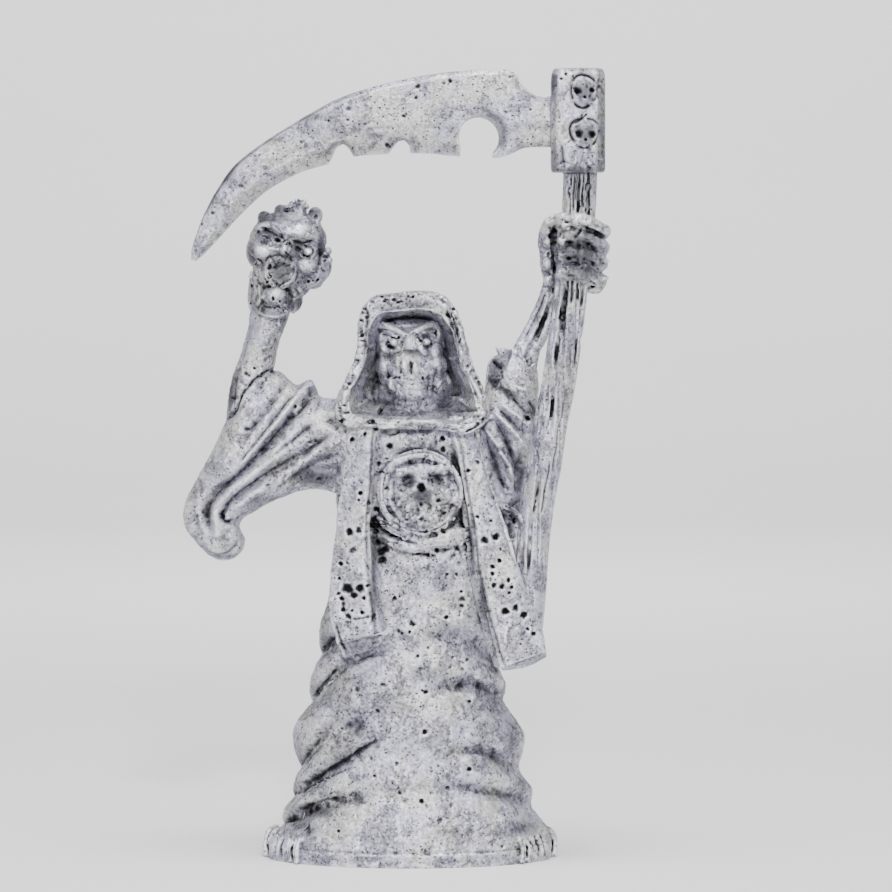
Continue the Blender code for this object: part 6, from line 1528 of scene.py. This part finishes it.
staffLine = [
    (21.5, -2.6, 93, 1.04), (21.5, -2.6, 87, 1.06), (21.3, -2.7, 82, 1), (20.9, -2.9, 77, 0.98),
    (20.3, -3.1, 72, 1.02), (19.6, -3.4, 66, 1.08), (18.7, -3.7, 60, 1.05), (17.7, -3.9, 55, 1.02),
    (17, -4.1, 50, 0.96), (16.1, -4.3, 45, 0.88), (15.5, -4.6, 40, 0.72), (15.2, -4.9, 36, 0.62),
    (14.9, -5.2, 32, 0.56), (14.6, -5.4, 29.5, 0.46),
]
leftArmLook = {
    "marks": [
        ((8, 43), (17, 66), 110, 0.3, 0.13, 29, -50), ((17, 72), (25.5, 81.5), 130, 0.26, 0.22, 30, -10),
    ],
    "grainMm": 0.045, "softening": 2, "triangles": 105000, "seed": 17,
    # oxide and painted shade laid on: x, z, half width, half height, how much
    "oxideAndPaintedLight": [
        (21.2, 76.4, 2.6, 3.6, 0.58), (11, 61.6, 1, 2.2, 0.45), (12.6, 59, 1.2, 0.9, 0.25),
        (12.4, 51.4, 0.9, 3, 0.2), (10.4, 50.6, 0.9, 3, 0.25), (18.2, 76.6, 0.4, 4, 0.4),
        (15.5, 56.6, 0.7, 1.2, 0.4), (13.9, 49, 0.6, 2.4, 0.45), (13.4, 44.6, 1.2, 1.4, 0.5),
        (16.2, 68.6, 0.5, 4, 0.25),
    ],
    "finger": mmToUnits(0.74) / 2, "grip": mmToUnits(1.82) / 2,
    "skin": {"pitsPerMm2": 1.8, "pitRadiusMm": 0.07, "pitDepthMm": 0.05, "grainDepthMm": 0.18},
}


def fistForms():
    finger = leftArmLook["finger"]
    forms = [
        ball("back of hand", (18.3, 0.2, 76.6), (1.9, 1.7, 4.6)), ball("web", (18.9, -1.7, 78.6), (1.3, 1.7, 2.2)),
        tube("thumb", [(17.5, -0.6, 76.0, finger * 1.1), (17.1, -1.4, 78.4, finger * 1.15),
                       (17.7, -2.8, 80.3, finger * 1.1), (19.1, -4.4, 81.1, finger * 0.95),
                       (20.2, -4.9, 80.9, finger * 0.7)], 5),
        ball("wrist knob", (17.4, -2.2, 78.2), (0.65, 0.9, 0.8)),
        ball("wrist knob", (17.35, -2.0, 75.4), (0.8, 1.0, 0.8)),
        ball("wrist knob", (17.5, -1.8, 73.3), (0.75, 0.9, 0.85)),
        ball("heel of hand", (23.3, -1.9, 72.2), (1.1, 1.1, 0.6)),
        ball("heel knob", (22.5, -2.6, 72.8), (0.5, 0.7, 0.4)),
    ]
    reach = leftArmLook["grip"] + finger * 0.8
    forms.append(ball("grip fill", (21.5, -3.3, 76.6), (3.3, 2.4, 4.3)))
    rows = ((79.9, 0.5, 1.0), (77.9, 0.2, 1.06), (75.9, -0.1, 1.04), (73.7, -0.3, 1.08))
    for height, lift, size in rows:
        middle = 20.6 + 0.085 * (height - 72.0)
        forms.append(tube("finger", [
            (middle - 2.2, 0.2, height + 0.2, finger), (middle + 1.6, 0.3, height - 0.3, finger * 1.1),
            (middle + reach + 0.35, -1.9, height - 0.5, finger * 1.15 * size),
            (middle + reach - 0.1, -3.9, height - 0.1, finger * 1.05 * size),
            (middle + 0.4, -3.0 - reach, height + 0.7 + lift * 0.4, finger * 1.15 * size),
            (middle - 1.4, -2.6 - reach, height + 0.6 + lift * 0.4, finger * 1.0)], 5))
        forms.append(ball("knuckle", (middle + reach + 0.2, -3.0, height - 0.4), (0.85, 1.0, 0.82)))
        forms.append(ball("finger end", (middle - 1.5, -2.9 - reach, height + 0.4), (0.75, 0.6, 0.62)))
    return forms


def leftArmForms():
    sleeve = strip("left sleeve", [
        (11.0, 0.6, 64.9, 15.4, 0.6, 63.9, 2.4), (9.8, 0.4, 62.2, 16.2, 0.4, 61.6, 3.3),
        (9.4, 0.2, 58.5, 16.3, 0.2, 58.2, 3.7), (8.2, 0.0, 54.0, 15.9, 0.0, 54.0, 4.0),
        (7.6, 0.0, 49.5, 15.2, 0.0, 49.8, 4.0), (8.0, -0.2, 45.5, 14.4, -0.2, 46.0, 3.7),
        (9.2, -0.4, 42.2, 13.6, -0.4, 42.8, 2.8), (10.8, -0.6, 40.4, 12.8, -0.6, 40.8, 1.2)], 2.3)
    mouth = tube("mouth", [(11.4, -1.6, 67.5, 1.7), (11.2, -1.6, 63.4, 1.7), (11.0, -1.4, 60.4, 1.3)])
    slant = prism("slant", [(12.9, 64.8), (14.3, 63.7), (15.4, 62.2), (17.2, 59.8), (17.6, 66.0), (13.2, 67.4)],
                  -8, -1.4)
    gap = prism("gap", [(8.6, 66.0), (12.2, 66.0), (12.1, 64.2), (11.7, 62.4), (11.9, 60.9), (11.2, 60.6),
                        (10.6, 59.8), (8.6, 60.6)], -8, -1.8)
    tears = [tube("tear", [(x, -6.0, z, size), (x, 6.0, z, size)], 1)
             for x, z, size in ((9.9, 64.4, 1.1), (11.3, 66.3, 0.7), (9.3, 62.2, 0.4), (12.6, 65.5, 0.4),
                                (10.9, 64.0, 0.3))]
    cutFrom(sleeve, [mouth, slant, gap, *tears])
    inner = [(12.5, 60.0), (14.0, 64.7), (14.8, 66.1), (15.7, 67.9), (16.5, 69.5), (17.3, 71.6), (18.0, 74.0)]
    outer = [(14.8, 60.0), (15.6, 64.2), (16.3, 65.6), (17.1, 67.4), (17.8, 69.2), (18.6, 71.4), (19.0, 74.0)]
    bones = [tube("bone", [(x, -0.9, z, 0.86) for x, z in line], 5) for line in (inner, outer)]
    sinew = [tube("sinew", [(x + 0.5, -1.6, z, 0.34) for x, z in inner], 5)]
    return [sleeve, *bones, *sinew, *fistForms()]


leftStrokes = [
    ([(10.4, 60.3), (11.6, 59.6), (12.9, 58.6), (14.2, 57.4), (15.2, 56.4)], 0.42, 0.55),
    ([(11.8, 57.5), (13.2, 56.5), (14.8, 55.2)], 0.32, -0.5),
    ([(11.2, 57), (12.6, 55.8), (14.4, 54.2)], 0.35, 0.5),
    ([(10.8, 56.5), (12.2, 55.2), (13.6, 53.6), (14.8, 51.8)], 0.38, -0.5),
    ([(10.6, 55.6), (12, 53.4), (13.2, 50.8), (13.6, 49.4)], 0.4, 0.65),
    ([(9.4, 55), (11.4, 52), (12.8, 49.2), (13.5, 47.2)], 0.42, -0.55),
    ([(9, 54), (10.1, 51.4), (11.2, 48.8), (12.3, 46.2)], 0.45, 0.7),
    ([(8.6, 51.6), (10, 48), (11, 45.4)], 0.4, -0.3), ([(14.9, 56.4), (14.6, 54.8), (14.9, 53.6)], 0.35, 0.9),
    ([(13.9, 50.6), (13.7, 48.4), (13.9, 46.2)], 0.4, 1), ([(11.9, 60.4), (12.8, 59), (13.6, 57.6)], 0.35, 0.2),
    ([(15.2, 58.2), (15.9, 57), (16, 56)], 0.3, 0.5), ([(16, 61), (16.1, 58.6)], 0.25, 0.3),
    ([(15, 63.6), (15.6, 62.6)], 0.4, 0.6), ([(10.6, 63), (11.6, 62)], 0.25, 0.3),
    ([(13.6, 64), (14.8, 63)], 0.18, 0.25),
    ([(14.4, 65.8), (15.4, 67.8), (16.4, 69.8), (17, 71.6)], 0.18, 0.35),
    ([(15.9, 65.6), (16.8, 68), (17.5, 70.4), (17.9, 72.2)], 0.22, 0.6),
    ([(18.25, 80), (18.2, 78), (18.3, 76.4), (18.2, 74)], 0.24, 0.8), ([(17.4, 76.7), (17.8, 76.4)], 0.25, 0.6),
    ([(17.3, 74.3), (17.8, 74.2)], 0.22, 0.5),
    ([(21.6, 80), (22.6, 79.7), (23.6, 79.3), (24.6, 78.7)], 0.22, 0.4),
    ([(21.6, 78.1), (22.4, 77.8), (23.2, 77.3), (23.9, 76.9)], 0.24, 0.45),
    ([(21.8, 76), (22.6, 75.6), (23.4, 75.2)], 0.24, 0.4), ([(19.6, 79.9), (20.8, 79.85)], 0.2, 0.4),
    ([(19.4, 78.1), (20.7, 78)], 0.2, 0.4), ([(19.6, 76.1), (20.8, 75.9)], 0.2, 0.4),
    ([(21, 79), (21.2, 77.2), (21, 75.4)], 0.3, 0.25), ([(22.2, 72.9), (23.4, 72.7)], 0.2, 0.5),
    ([(19, 80.9), (19.9, 80.6)], 0.16, 0.4), ([(24.9, 78.4), (25.5, 78.4)], 0.22, 0.5),
    ([(24.8, 76.4), (25.4, 76.4)], 0.22, 0.5), ([(24.4, 74.4), (25.2, 74.5)], 0.2, 0.5),
    ([(23.6, 80), (24.4, 79.7), (24.9, 79.2)], 0.3, -0.15), ([(17.6, 79), (18.4, 78.6)], 0.18, 0.4),
    ([(19.2, 75.4), (19.6, 74.6)], 0.2, 0.4),
]
leftBack = [
    ([(9.6, 56), (11.2, 50), (12.4, 44.6)], 0.7, 0.7), ([(12.4, 60), (13.4, 53), (13.8, 47)], 0.6, 0.6),
    ([(10.6, 62), (11.2, 57)], 0.5, 0.4),
]
leftPits = [
    (18.4, 79.6, 0.24, 0.6), (20.1, 78.1, 0.28, 0.6), (20.4, 79.8, 0.24, 0.5), (20, 76.1, 0.26, 0.5),
    (22.3, 80, 0.22, 0.5), (22.4, 77.9, 0.3, 0.6), (18.2, 75.4, 0.25, 0.6), (14.9, 55.8, 0.3, 0.8),
]


def carveLeftArm(clay):
    clay.strokes(leftStrokes, 1.6)
    clay.strokes(leftBack, side=1)
    clay.renew()
    clay.pits(leftPits)


castPiece("left_arm", leftArmForms(), leftArmLook, carveLeftArm)
print("left arm done")


# Scythe: blade, socket and the barked staff

scytheLook = {
    "marks": [
        ((18, 87), (24.5, 100), 80, 0.26, 0.1, 31, 80), ((-27, 76), (18, 100), 220, 0.3, 0.05, 32, 10),
    ],
    "grainMm": 0.045, "softening": 1, "triangles": 110000, "seed": 18, "plane": -2.6, "ridge": 0.66,
    # oxide and painted shade laid on: x, z, half width, half height, how much
    "oxideAndPaintedLight": [
        (21.9, 97.1, 1.6, 1.9, 0.45), (22, 91.9, 1.8, 1.7, 0.45), (18, 98.2, 0.5, 1.8, 0.5),
        (18.6, 88.6, 0.8, 1.8, 0.35), (24.3, 93, 0.5, 6, 0.35), (21.2, 87.2, 3.4, 0.5, 0.35),
        (21.4, 99.9, 3.4, 0.35, 0.4), (21.5, 84.4, 2.4, 3.4, 0.26), (19.4, 65, 1.4, 7, 0.14),
        (16.4, 47, 1.4, 9, 0.14), (-24.6, 82.6, 1.2, 2.4, 0.15), (6, 94.5, 9, 4.5, 0.1),
        (-11, 92, 8, 3.6, 0.12), (-21, 86, 5, 4.6, 0.12), (-13, 93.8, 4, 0.5, 0.25),
        (-18, 90.8, 2.4, 0.5, 0.25), (-23, 86.6, 1, 1.4, 0.25), (-6, 91.9, 5, 0.5, 0.15),
        (20.2, 72, 1.6, 1.6, 0.2),
    ],
    "bladeThick": mmToUnits(1.0), "bladeEdge": mmToUnits(0.32), "socketWide": mmToUnits(3.0),
    "socketDeep": mmToUnits(2.6),
    "staffMm": 1.82, "ridgeHeightMm": 0.13, "ridgeWidthMm": 0.24, "ridgeLengthMm": 6.0,
    "skin": {"pitsPerMm2": 0.8, "pitRadiusMm": 0.06, "pitDepthMm": 0.04, "grainDepthMm": 0.02},
    # back edge x, z, then cutting edge x, z, from inside the socket to the tip
    "chords": [
        (20, 99.4, 20, 90.2), (17.2, 99.9, 17.2, 90.1), (13.4, 99.9, 14.5, 90), (11, 99.8, 12.4, 89.1),
        (8.6, 99.8, 10.3, 88.7), (4.6, 99.5, 6.3, 88.9), (0, 98.8, 2, 89.3), (-5, 97.6, -3, 89.2),
        (-9.5, 96, -7, 88.9), (-14, 93.5, -10.8, 87.8), (-18, 91, -14, 86.8), (-22, 87.9, -18, 84.6),
        (-24.5, 84.4, -21.4, 81.5), (-26.2, 81, -24, 78.7), (-27.4, 77.6, -25.8, 76.8), (-27.6, 76, -27, 75.7),
    ],
    "nicks": [
        [(-10.6, 87), (-9.9, 88.6), (-9.2, 90.1), (-8.4, 90.5), (-7.7, 90), (-6.8, 88.4), (-7, 87)],
        [(-3.2, 88), (-2.6, 89.4), (-1.5, 90.8), (-0.7, 91), (0, 90.2), (0.1, 88)],
    ],
}


def bladeForm():
    plane = scytheLook["plane"]
    rows = through(scytheLook["chords"], 8)
    thick, edge = scytheLook["bladeThick"] / 2, scytheLook["bladeEdge"] / 2
    profile = [(0.0, 0.45), (0.055, 0.97), (0.3, 1.0), (scytheLook["ridge"], 1.0), (1.0, None)]
    rings = []
    for i, (backX, backZ, cutX, cutZ) in enumerate(rows):
        taper = min(1.0, 0.45 + 0.05 * (len(rows) - 1 - i))
        front, rear = [], []
        for share, fullness in profile:
            half = edge if fullness is None else thick * fullness * taper
            x, z = backX + (cutX - backX) * share, backZ + (cutZ - backZ) * share
            front.append((x, plane - half, z))
            rear.append((x, plane + half, z))
        rings.append(front + rear[::-1])
    cutters = [
        prism("collar", circle(17.2, 100.2, 3.75), -8, 4),
        loft("eye", [[(x, y, z) for x, z in circle(*spot)] for y, spot in (
            (-8, (9.7, 91.6, 3.4)), (plane - thick, (8.95, 91.35, 2.75)), (plane + thick, (8.6, 91.3, 2.5)),
            (4, (8.6, 91.3, 2.5)))]),
        prism("throat", circle(8.4, 89.4, 2.05), -8, 4),
    ]
    cutters += [prism("nick", outline, -8, 4) for outline in scytheLook["nicks"]]
    return cutFrom(loft("blade", rings), cutters)


def socketForms():
    half, deep, plane = scytheLook["socketWide"] / 2, scytheLook["socketDeep"] / 2, scytheLook["plane"]
    corners = [(-1.0, -0.55), (-0.82, -0.95), (-0.7, -1.0), (0.62, -1.0), (0.72, -0.97), (1.0, -0.45),
               (1.0, 0.6), (0.8, 1.0), (-0.8, 1.0), (-1.0, 0.6)]
    rings = []
    levels = ((86.9, 0.95), (87.3, 1.0), (93.0, 1.0), (98.6, 1.0), (99.3, 0.975), (99.8, 0.92), (100.0, 0.84))
    for height, share in levels:
        rings.append([(21.2 + half * share * a, plane + deep * share * b, height) for a, b in corners])
    front = plane - deep
    forms = [loft("socket", rings)]
    for x, z, wide, high in ((21.9, 97.1, 1.25, 1.55), (22.0, 91.9, 1.4, 1.4)):
        forms += [ball("stud", (x, front + 0.3, z + 0.15), (wide * 0.9, 0.75, high * 0.75)),
                  ball("stud jaw", (x + 0.1, front + 0.25, z - high * 0.62), (wide * 0.55, 0.6, high * 0.45))]
    return forms


def staffForm():
    path = through(staffLine, 8)
    return grown(pathCurve("staff", path.tolist()), staffTree, {
        "Staff radius": scytheLook["staffMm"] / 2 * mm, "Ridge height": scytheLook["ridgeHeightMm"] * mm,
        "Ridge width": scytheLook["ridgeWidthMm"] * mm, "Ridge length": scytheLook["ridgeLengthMm"] * mm,
        "Seed": 4.0, "Metal": whiteMetal})


bladeStrokes = [
    ([(6, 92.2), (2, 92.5), (-2, 92.5), (-5, 92.3), (-8, 91.7), (-12, 90.3), (-15.5, 88.9), (-19.4, 86.4)],
     0.35, 0.14),
    ([(-25.6, 82.2), (-23.2, 86.2), (-20, 89.4), (-15, 92.9), (-9, 95.9), (-3, 97.9), (3, 99)], 0.22, 0.2),
    ([(-2.9, 90.5), (-2.4, 90)], 0.2, 0.3), ([(21.7, 94.2), (21.5, 93.7)], 0.16, 0.35),
    ([(22.3, 94.3), (21.6, 93.6), (20.6, 93)], 0.15, 0.35),
    ([(23.8, 99), (23.9, 95), (23.9, 91), (23.8, 87.4)], 0.22, 0.2),
    ([(19.1, 90.4), (19.3, 88.8), (19.5, 87.3)], 0.2, 0.25), ([(18.3, 99.2), (18.3, 97.6)], 0.2, 0.3),
]
# painted shade along the blade's back edge and bevel, the eye's inner wall, the nicks and the edges near the
# socket: path, width, how much
bladeShade = [
    ([(-27, 78), (-25.6, 82.4), (-23.2, 86.4), (-20, 89.7), (-15, 93.2), (-9, 96.2), (-3, 98.3), (3, 99.5),
      (10, 100)], 0.3, 0.4),
    ([(6, 90), (2, 89.9), (-3, 89.9), (-7, 89.6), (-12, 88.2), (-16, 86.2), (-20, 83.4), (-24, 79.4)], 0.5, 0.12),
    ([(9.4, 94.4), (11.4, 93.4), (11.9, 91.4), (11.3, 89.8)], 0.35, 0.45),
    ([(-11, 88.6), (-9.4, 90.5), (-7.8, 90.4), (-6.6, 88.8)], 0.25, 0.35),
    ([(-3.2, 89.6), (-1.2, 91.1), (0.2, 90.4)], 0.22, 0.35),
    ([(13, 99.6), (13.8, 97.6), (15.6, 96.4), (17.4, 96.2)], 0.25, 0.3),
    ([(12.6, 89.3), (15, 90.3), (17.6, 90.3)], 0.25, 0.3),
]
bladePits = [
    (1, 97.7, 0.3, 0.4), (5.1, 98.4, 0.28, 0.35), (0.8, 96.3, 0.24, 0.3), (-7.7, 94.9, 0.34, 0.25),
    (-0.7, 94, 0.26, 0.3), (-7.8, 93.5, 0.2, 0.2), (4.3, 98.1, 0.22, 0.2), (12.6, 98.9, 0.2, 0.2),
    (12.1, 94.5, 0.24, 0.2), (15.2, 94.8, 0.2, 0.2), (-21.2, 85.2, 0.3, 0.2), (-24.8, 81.8, 0.24, 0.2),
    (-13.6, 90.7, 0.2, 0.15), (-2.9, 90.4, 0.25, 0.3), (-24.4, 79.9, 0.22, 0.2), (-10.2, 93.4, 0.18, 0.2),
    (19.6, 99.2, 0.2, 0.3), (19, 98.6, 0.2, 0.3), (20.5, 98.9, 0.18, 0.25), (-26.2, 80.4, 0.2, 0.2),
]
studEyes = [
    (21.05, 97.1, 0.42, 0.9), (22.85, 97.2, 0.3, 0.8), (21.95, 96.3, 0.2, 0.4), (21.25, 91.75, 0.42, 0.8),
    (22.9, 91.7, 0.4, 0.8), (22.1, 91, 0.2, 0.4),
]
staffCracks = [  # how far from the middle, top, foot, width, depth
    (-0.9, 72.6, 62.8, 0.2, 0.8), (-0.55, 73.5, 66, 0.17, 0.6), (0.1, 73.6, 70.6, 0.16, 0.5),
    (0.9, 73, 71, 0.15, 0.4), (1.55, 72, 61, 0.15, 0.35), (-0.3, 58.5, 55, 0.14, 0.5), (1.2, 58, 49, 0.15, 0.4),
    (0.6, 50.6, 44, 0.14, 0.3), (-0.9, 86.6, 82.2, 0.16, 0.5), (-0.2, 86.6, 81.6, 0.16, 0.6),
    (0.9, 86.6, 81.6, 0.18, 0.7), (-1.3, 86.5, 81.2, 0.12, 0.5), (-0.55, 86.6, 83.2, 0.12, 0.5),
    (0.4, 86.6, 82.6, 0.12, 0.5), (1.25, 86.4, 81.3, 0.12, 0.6), (1.5, 86.6, 81.6, 0.14, 0.4),
    (-0.4, 48, 36, 0.14, 0.3),
]


def carveScythe(clay):
    clay.strokes(bladeStrokes, 1.5)
    # painted shade along these edges and walls, without carving
    for path, width, oxideAndPaintedLight in bladeShade:
        clay.stroke(path, width, 0.0, oxideAndPaintedLight=oxideAndPaintedLight)
    # a broken groove round each stud, in four arcs
    for x, z, wide, high, turn in ((21.9, 97.1, 1.7, 2.05, 0.3), (22.0, 91.9, 1.9, 1.85, 1.6)):
        for start, end, depth in ((0.2, 2.3, 0.42), (2.5, 3.4, 0.3), (3.6, 4.9, 0.45), (5.2, 6.2, 0.28)):
            angles = np.linspace(start + turn, end + turn, 7)
            reach = 1 + 0.06 * np.sin(3 * angles + 4 * turn)
            arc = np.stack([x + wide * reach * np.cos(angles), z + high * reach * np.sin(angles)], axis=1)
            clay.stroke(arc.tolist(), 0.18, depth, power=1.6)
    clay.renew()
    clay.pits(bladePits + studEyes)
    heights = [row[2] for row in staffLine[::-1]]
    middles = [row[0] for row in staffLine[::-1]]
    for aside, top, foot, width, depth in staffCracks:
        path = [(np.interp(z, heights, middles) + aside + 0.08 * math.sin(z * 1.7), z)
                for z in np.linspace(top, foot, 6)]
        clay.stroke(path, width, depth, power=1.6)


castPiece("scythe", [bladeForm(), *socketForms(), staffForm()], scytheLook, carveScythe)
print("scythe done")


# Floor, lights and camera

stageLook = {
    "floor": "#e6e6e8", "world": "#dfe1e6", "worldStrength": 0.12,
    # name, place and aim in units, size in units, watts
    "lights": [
        ("key", (40, -560, 290), (0, 0, 50), 60, 0.70), ("fill", (-260, -520, 40), (0, 0, 50), 160, 0.12),
        ("top", (0, 60, 520), (0, 60, 0), 260, 0.12), ("card", (0, -60, 430), (0, 360, 60), 260, 0.66),
        ("back wash", (0, 420, 430), (0, 900, 60), 260, 0.66),
        ("front wash", (0, -420, 430), (0, -900, 60), 260, 0.18),
        ("left wash", (-420, 0, 430), (-900, 0, 60), 260, 0.18),
        ("right wash", (420, 0, 430), (900, 0, 60), 260, 0.18),
    ],
    "rim": [(600, 0), (720, 0), (800, 9), (865, 40), (905, 105), (920, 420)],
    "lensMm": 200.0, "elevation": 2.5, "aimX": 4.57, "aimZ": 52.28, "frameUnits": 892 / 7.88,
}


def plainFloor():
    # a round floor whose rim rises all round, so that the same card lies behind the figure from every side
    around = 96
    turns = np.linspace(0, 2 * math.pi, around, endpoint=False)
    points = [(reach * math.cos(turn), reach * math.sin(turn), z)
              for reach, z in stageLook["rim"] for turn in turns]
    faces = [tuple(range(around))]
    for i in range(len(stageLook["rim"]) - 1):
        inner, outer = i * around, (i + 1) * around
        for j in range(around):
            k = (j + 1) % around
            faces.append((inner + j, outer + j, outer + k, inner + k))
    mesh = bpy.data.meshes.new("floor")
    mesh.from_pydata((np.array(points) * unit).tolist(), [], faces)
    mesh.shade_smooth()
    floor = bpy.data.objects.new("floor", mesh)
    bpy.context.scene.collection.objects.link(floor)
    paper = bpy.data.materials.new("pale card")
    paper.use_nodes = True
    shader = paper.node_tree.nodes["Principled BSDF"]
    shader.inputs["Base Color"].default_value = toLinear(stageLook["floor"])
    shader.inputs["Roughness"].default_value = 0.9
    mesh.materials.append(paper)


def aimed(thing, place, target):
    thing.location = Vector(place) * unit
    thing.rotation_euler = (Vector(target) - Vector(place)).to_track_quat("-Z", "Y").to_euler()


def studio():
    world = bpy.data.worlds.new("studio")
    world.use_nodes = True
    sky = world.node_tree.nodes["Background"]
    sky.inputs["Color"].default_value = toLinear(stageLook["world"])
    sky.inputs["Strength"].default_value = stageLook["worldStrength"]
    bpy.context.scene.world = world
    for name, place, target, size, watts in stageLook["lights"]:
        data = bpy.data.lights.new(name, "AREA")
        data.size = size * unit
        data.energy = watts
        lamp = bpy.data.objects.new(name, data)
        bpy.context.scene.collection.objects.link(lamp)
        aimed(lamp, place, target)
    data = bpy.data.cameras.new("camera")
    data.lens = stageLook["lensMm"]
    data.sensor_width = 36.0
    data.clip_start = 0.01
    camera = bpy.data.objects.new("camera", data)
    bpy.context.scene.collection.objects.link(camera)
    distance = stageLook["frameUnits"] * data.lens / data.sensor_width
    tilt = math.radians(stageLook["elevation"])
    target = (stageLook["aimX"], 0.0, stageLook["aimZ"])
    place = (target[0], -distance * math.cos(tilt), target[2] + distance * math.sin(tilt))
    aimed(camera, place, target)
    bpy.context.scene.camera = camera


plainFloor()
studio()
print("stage done")
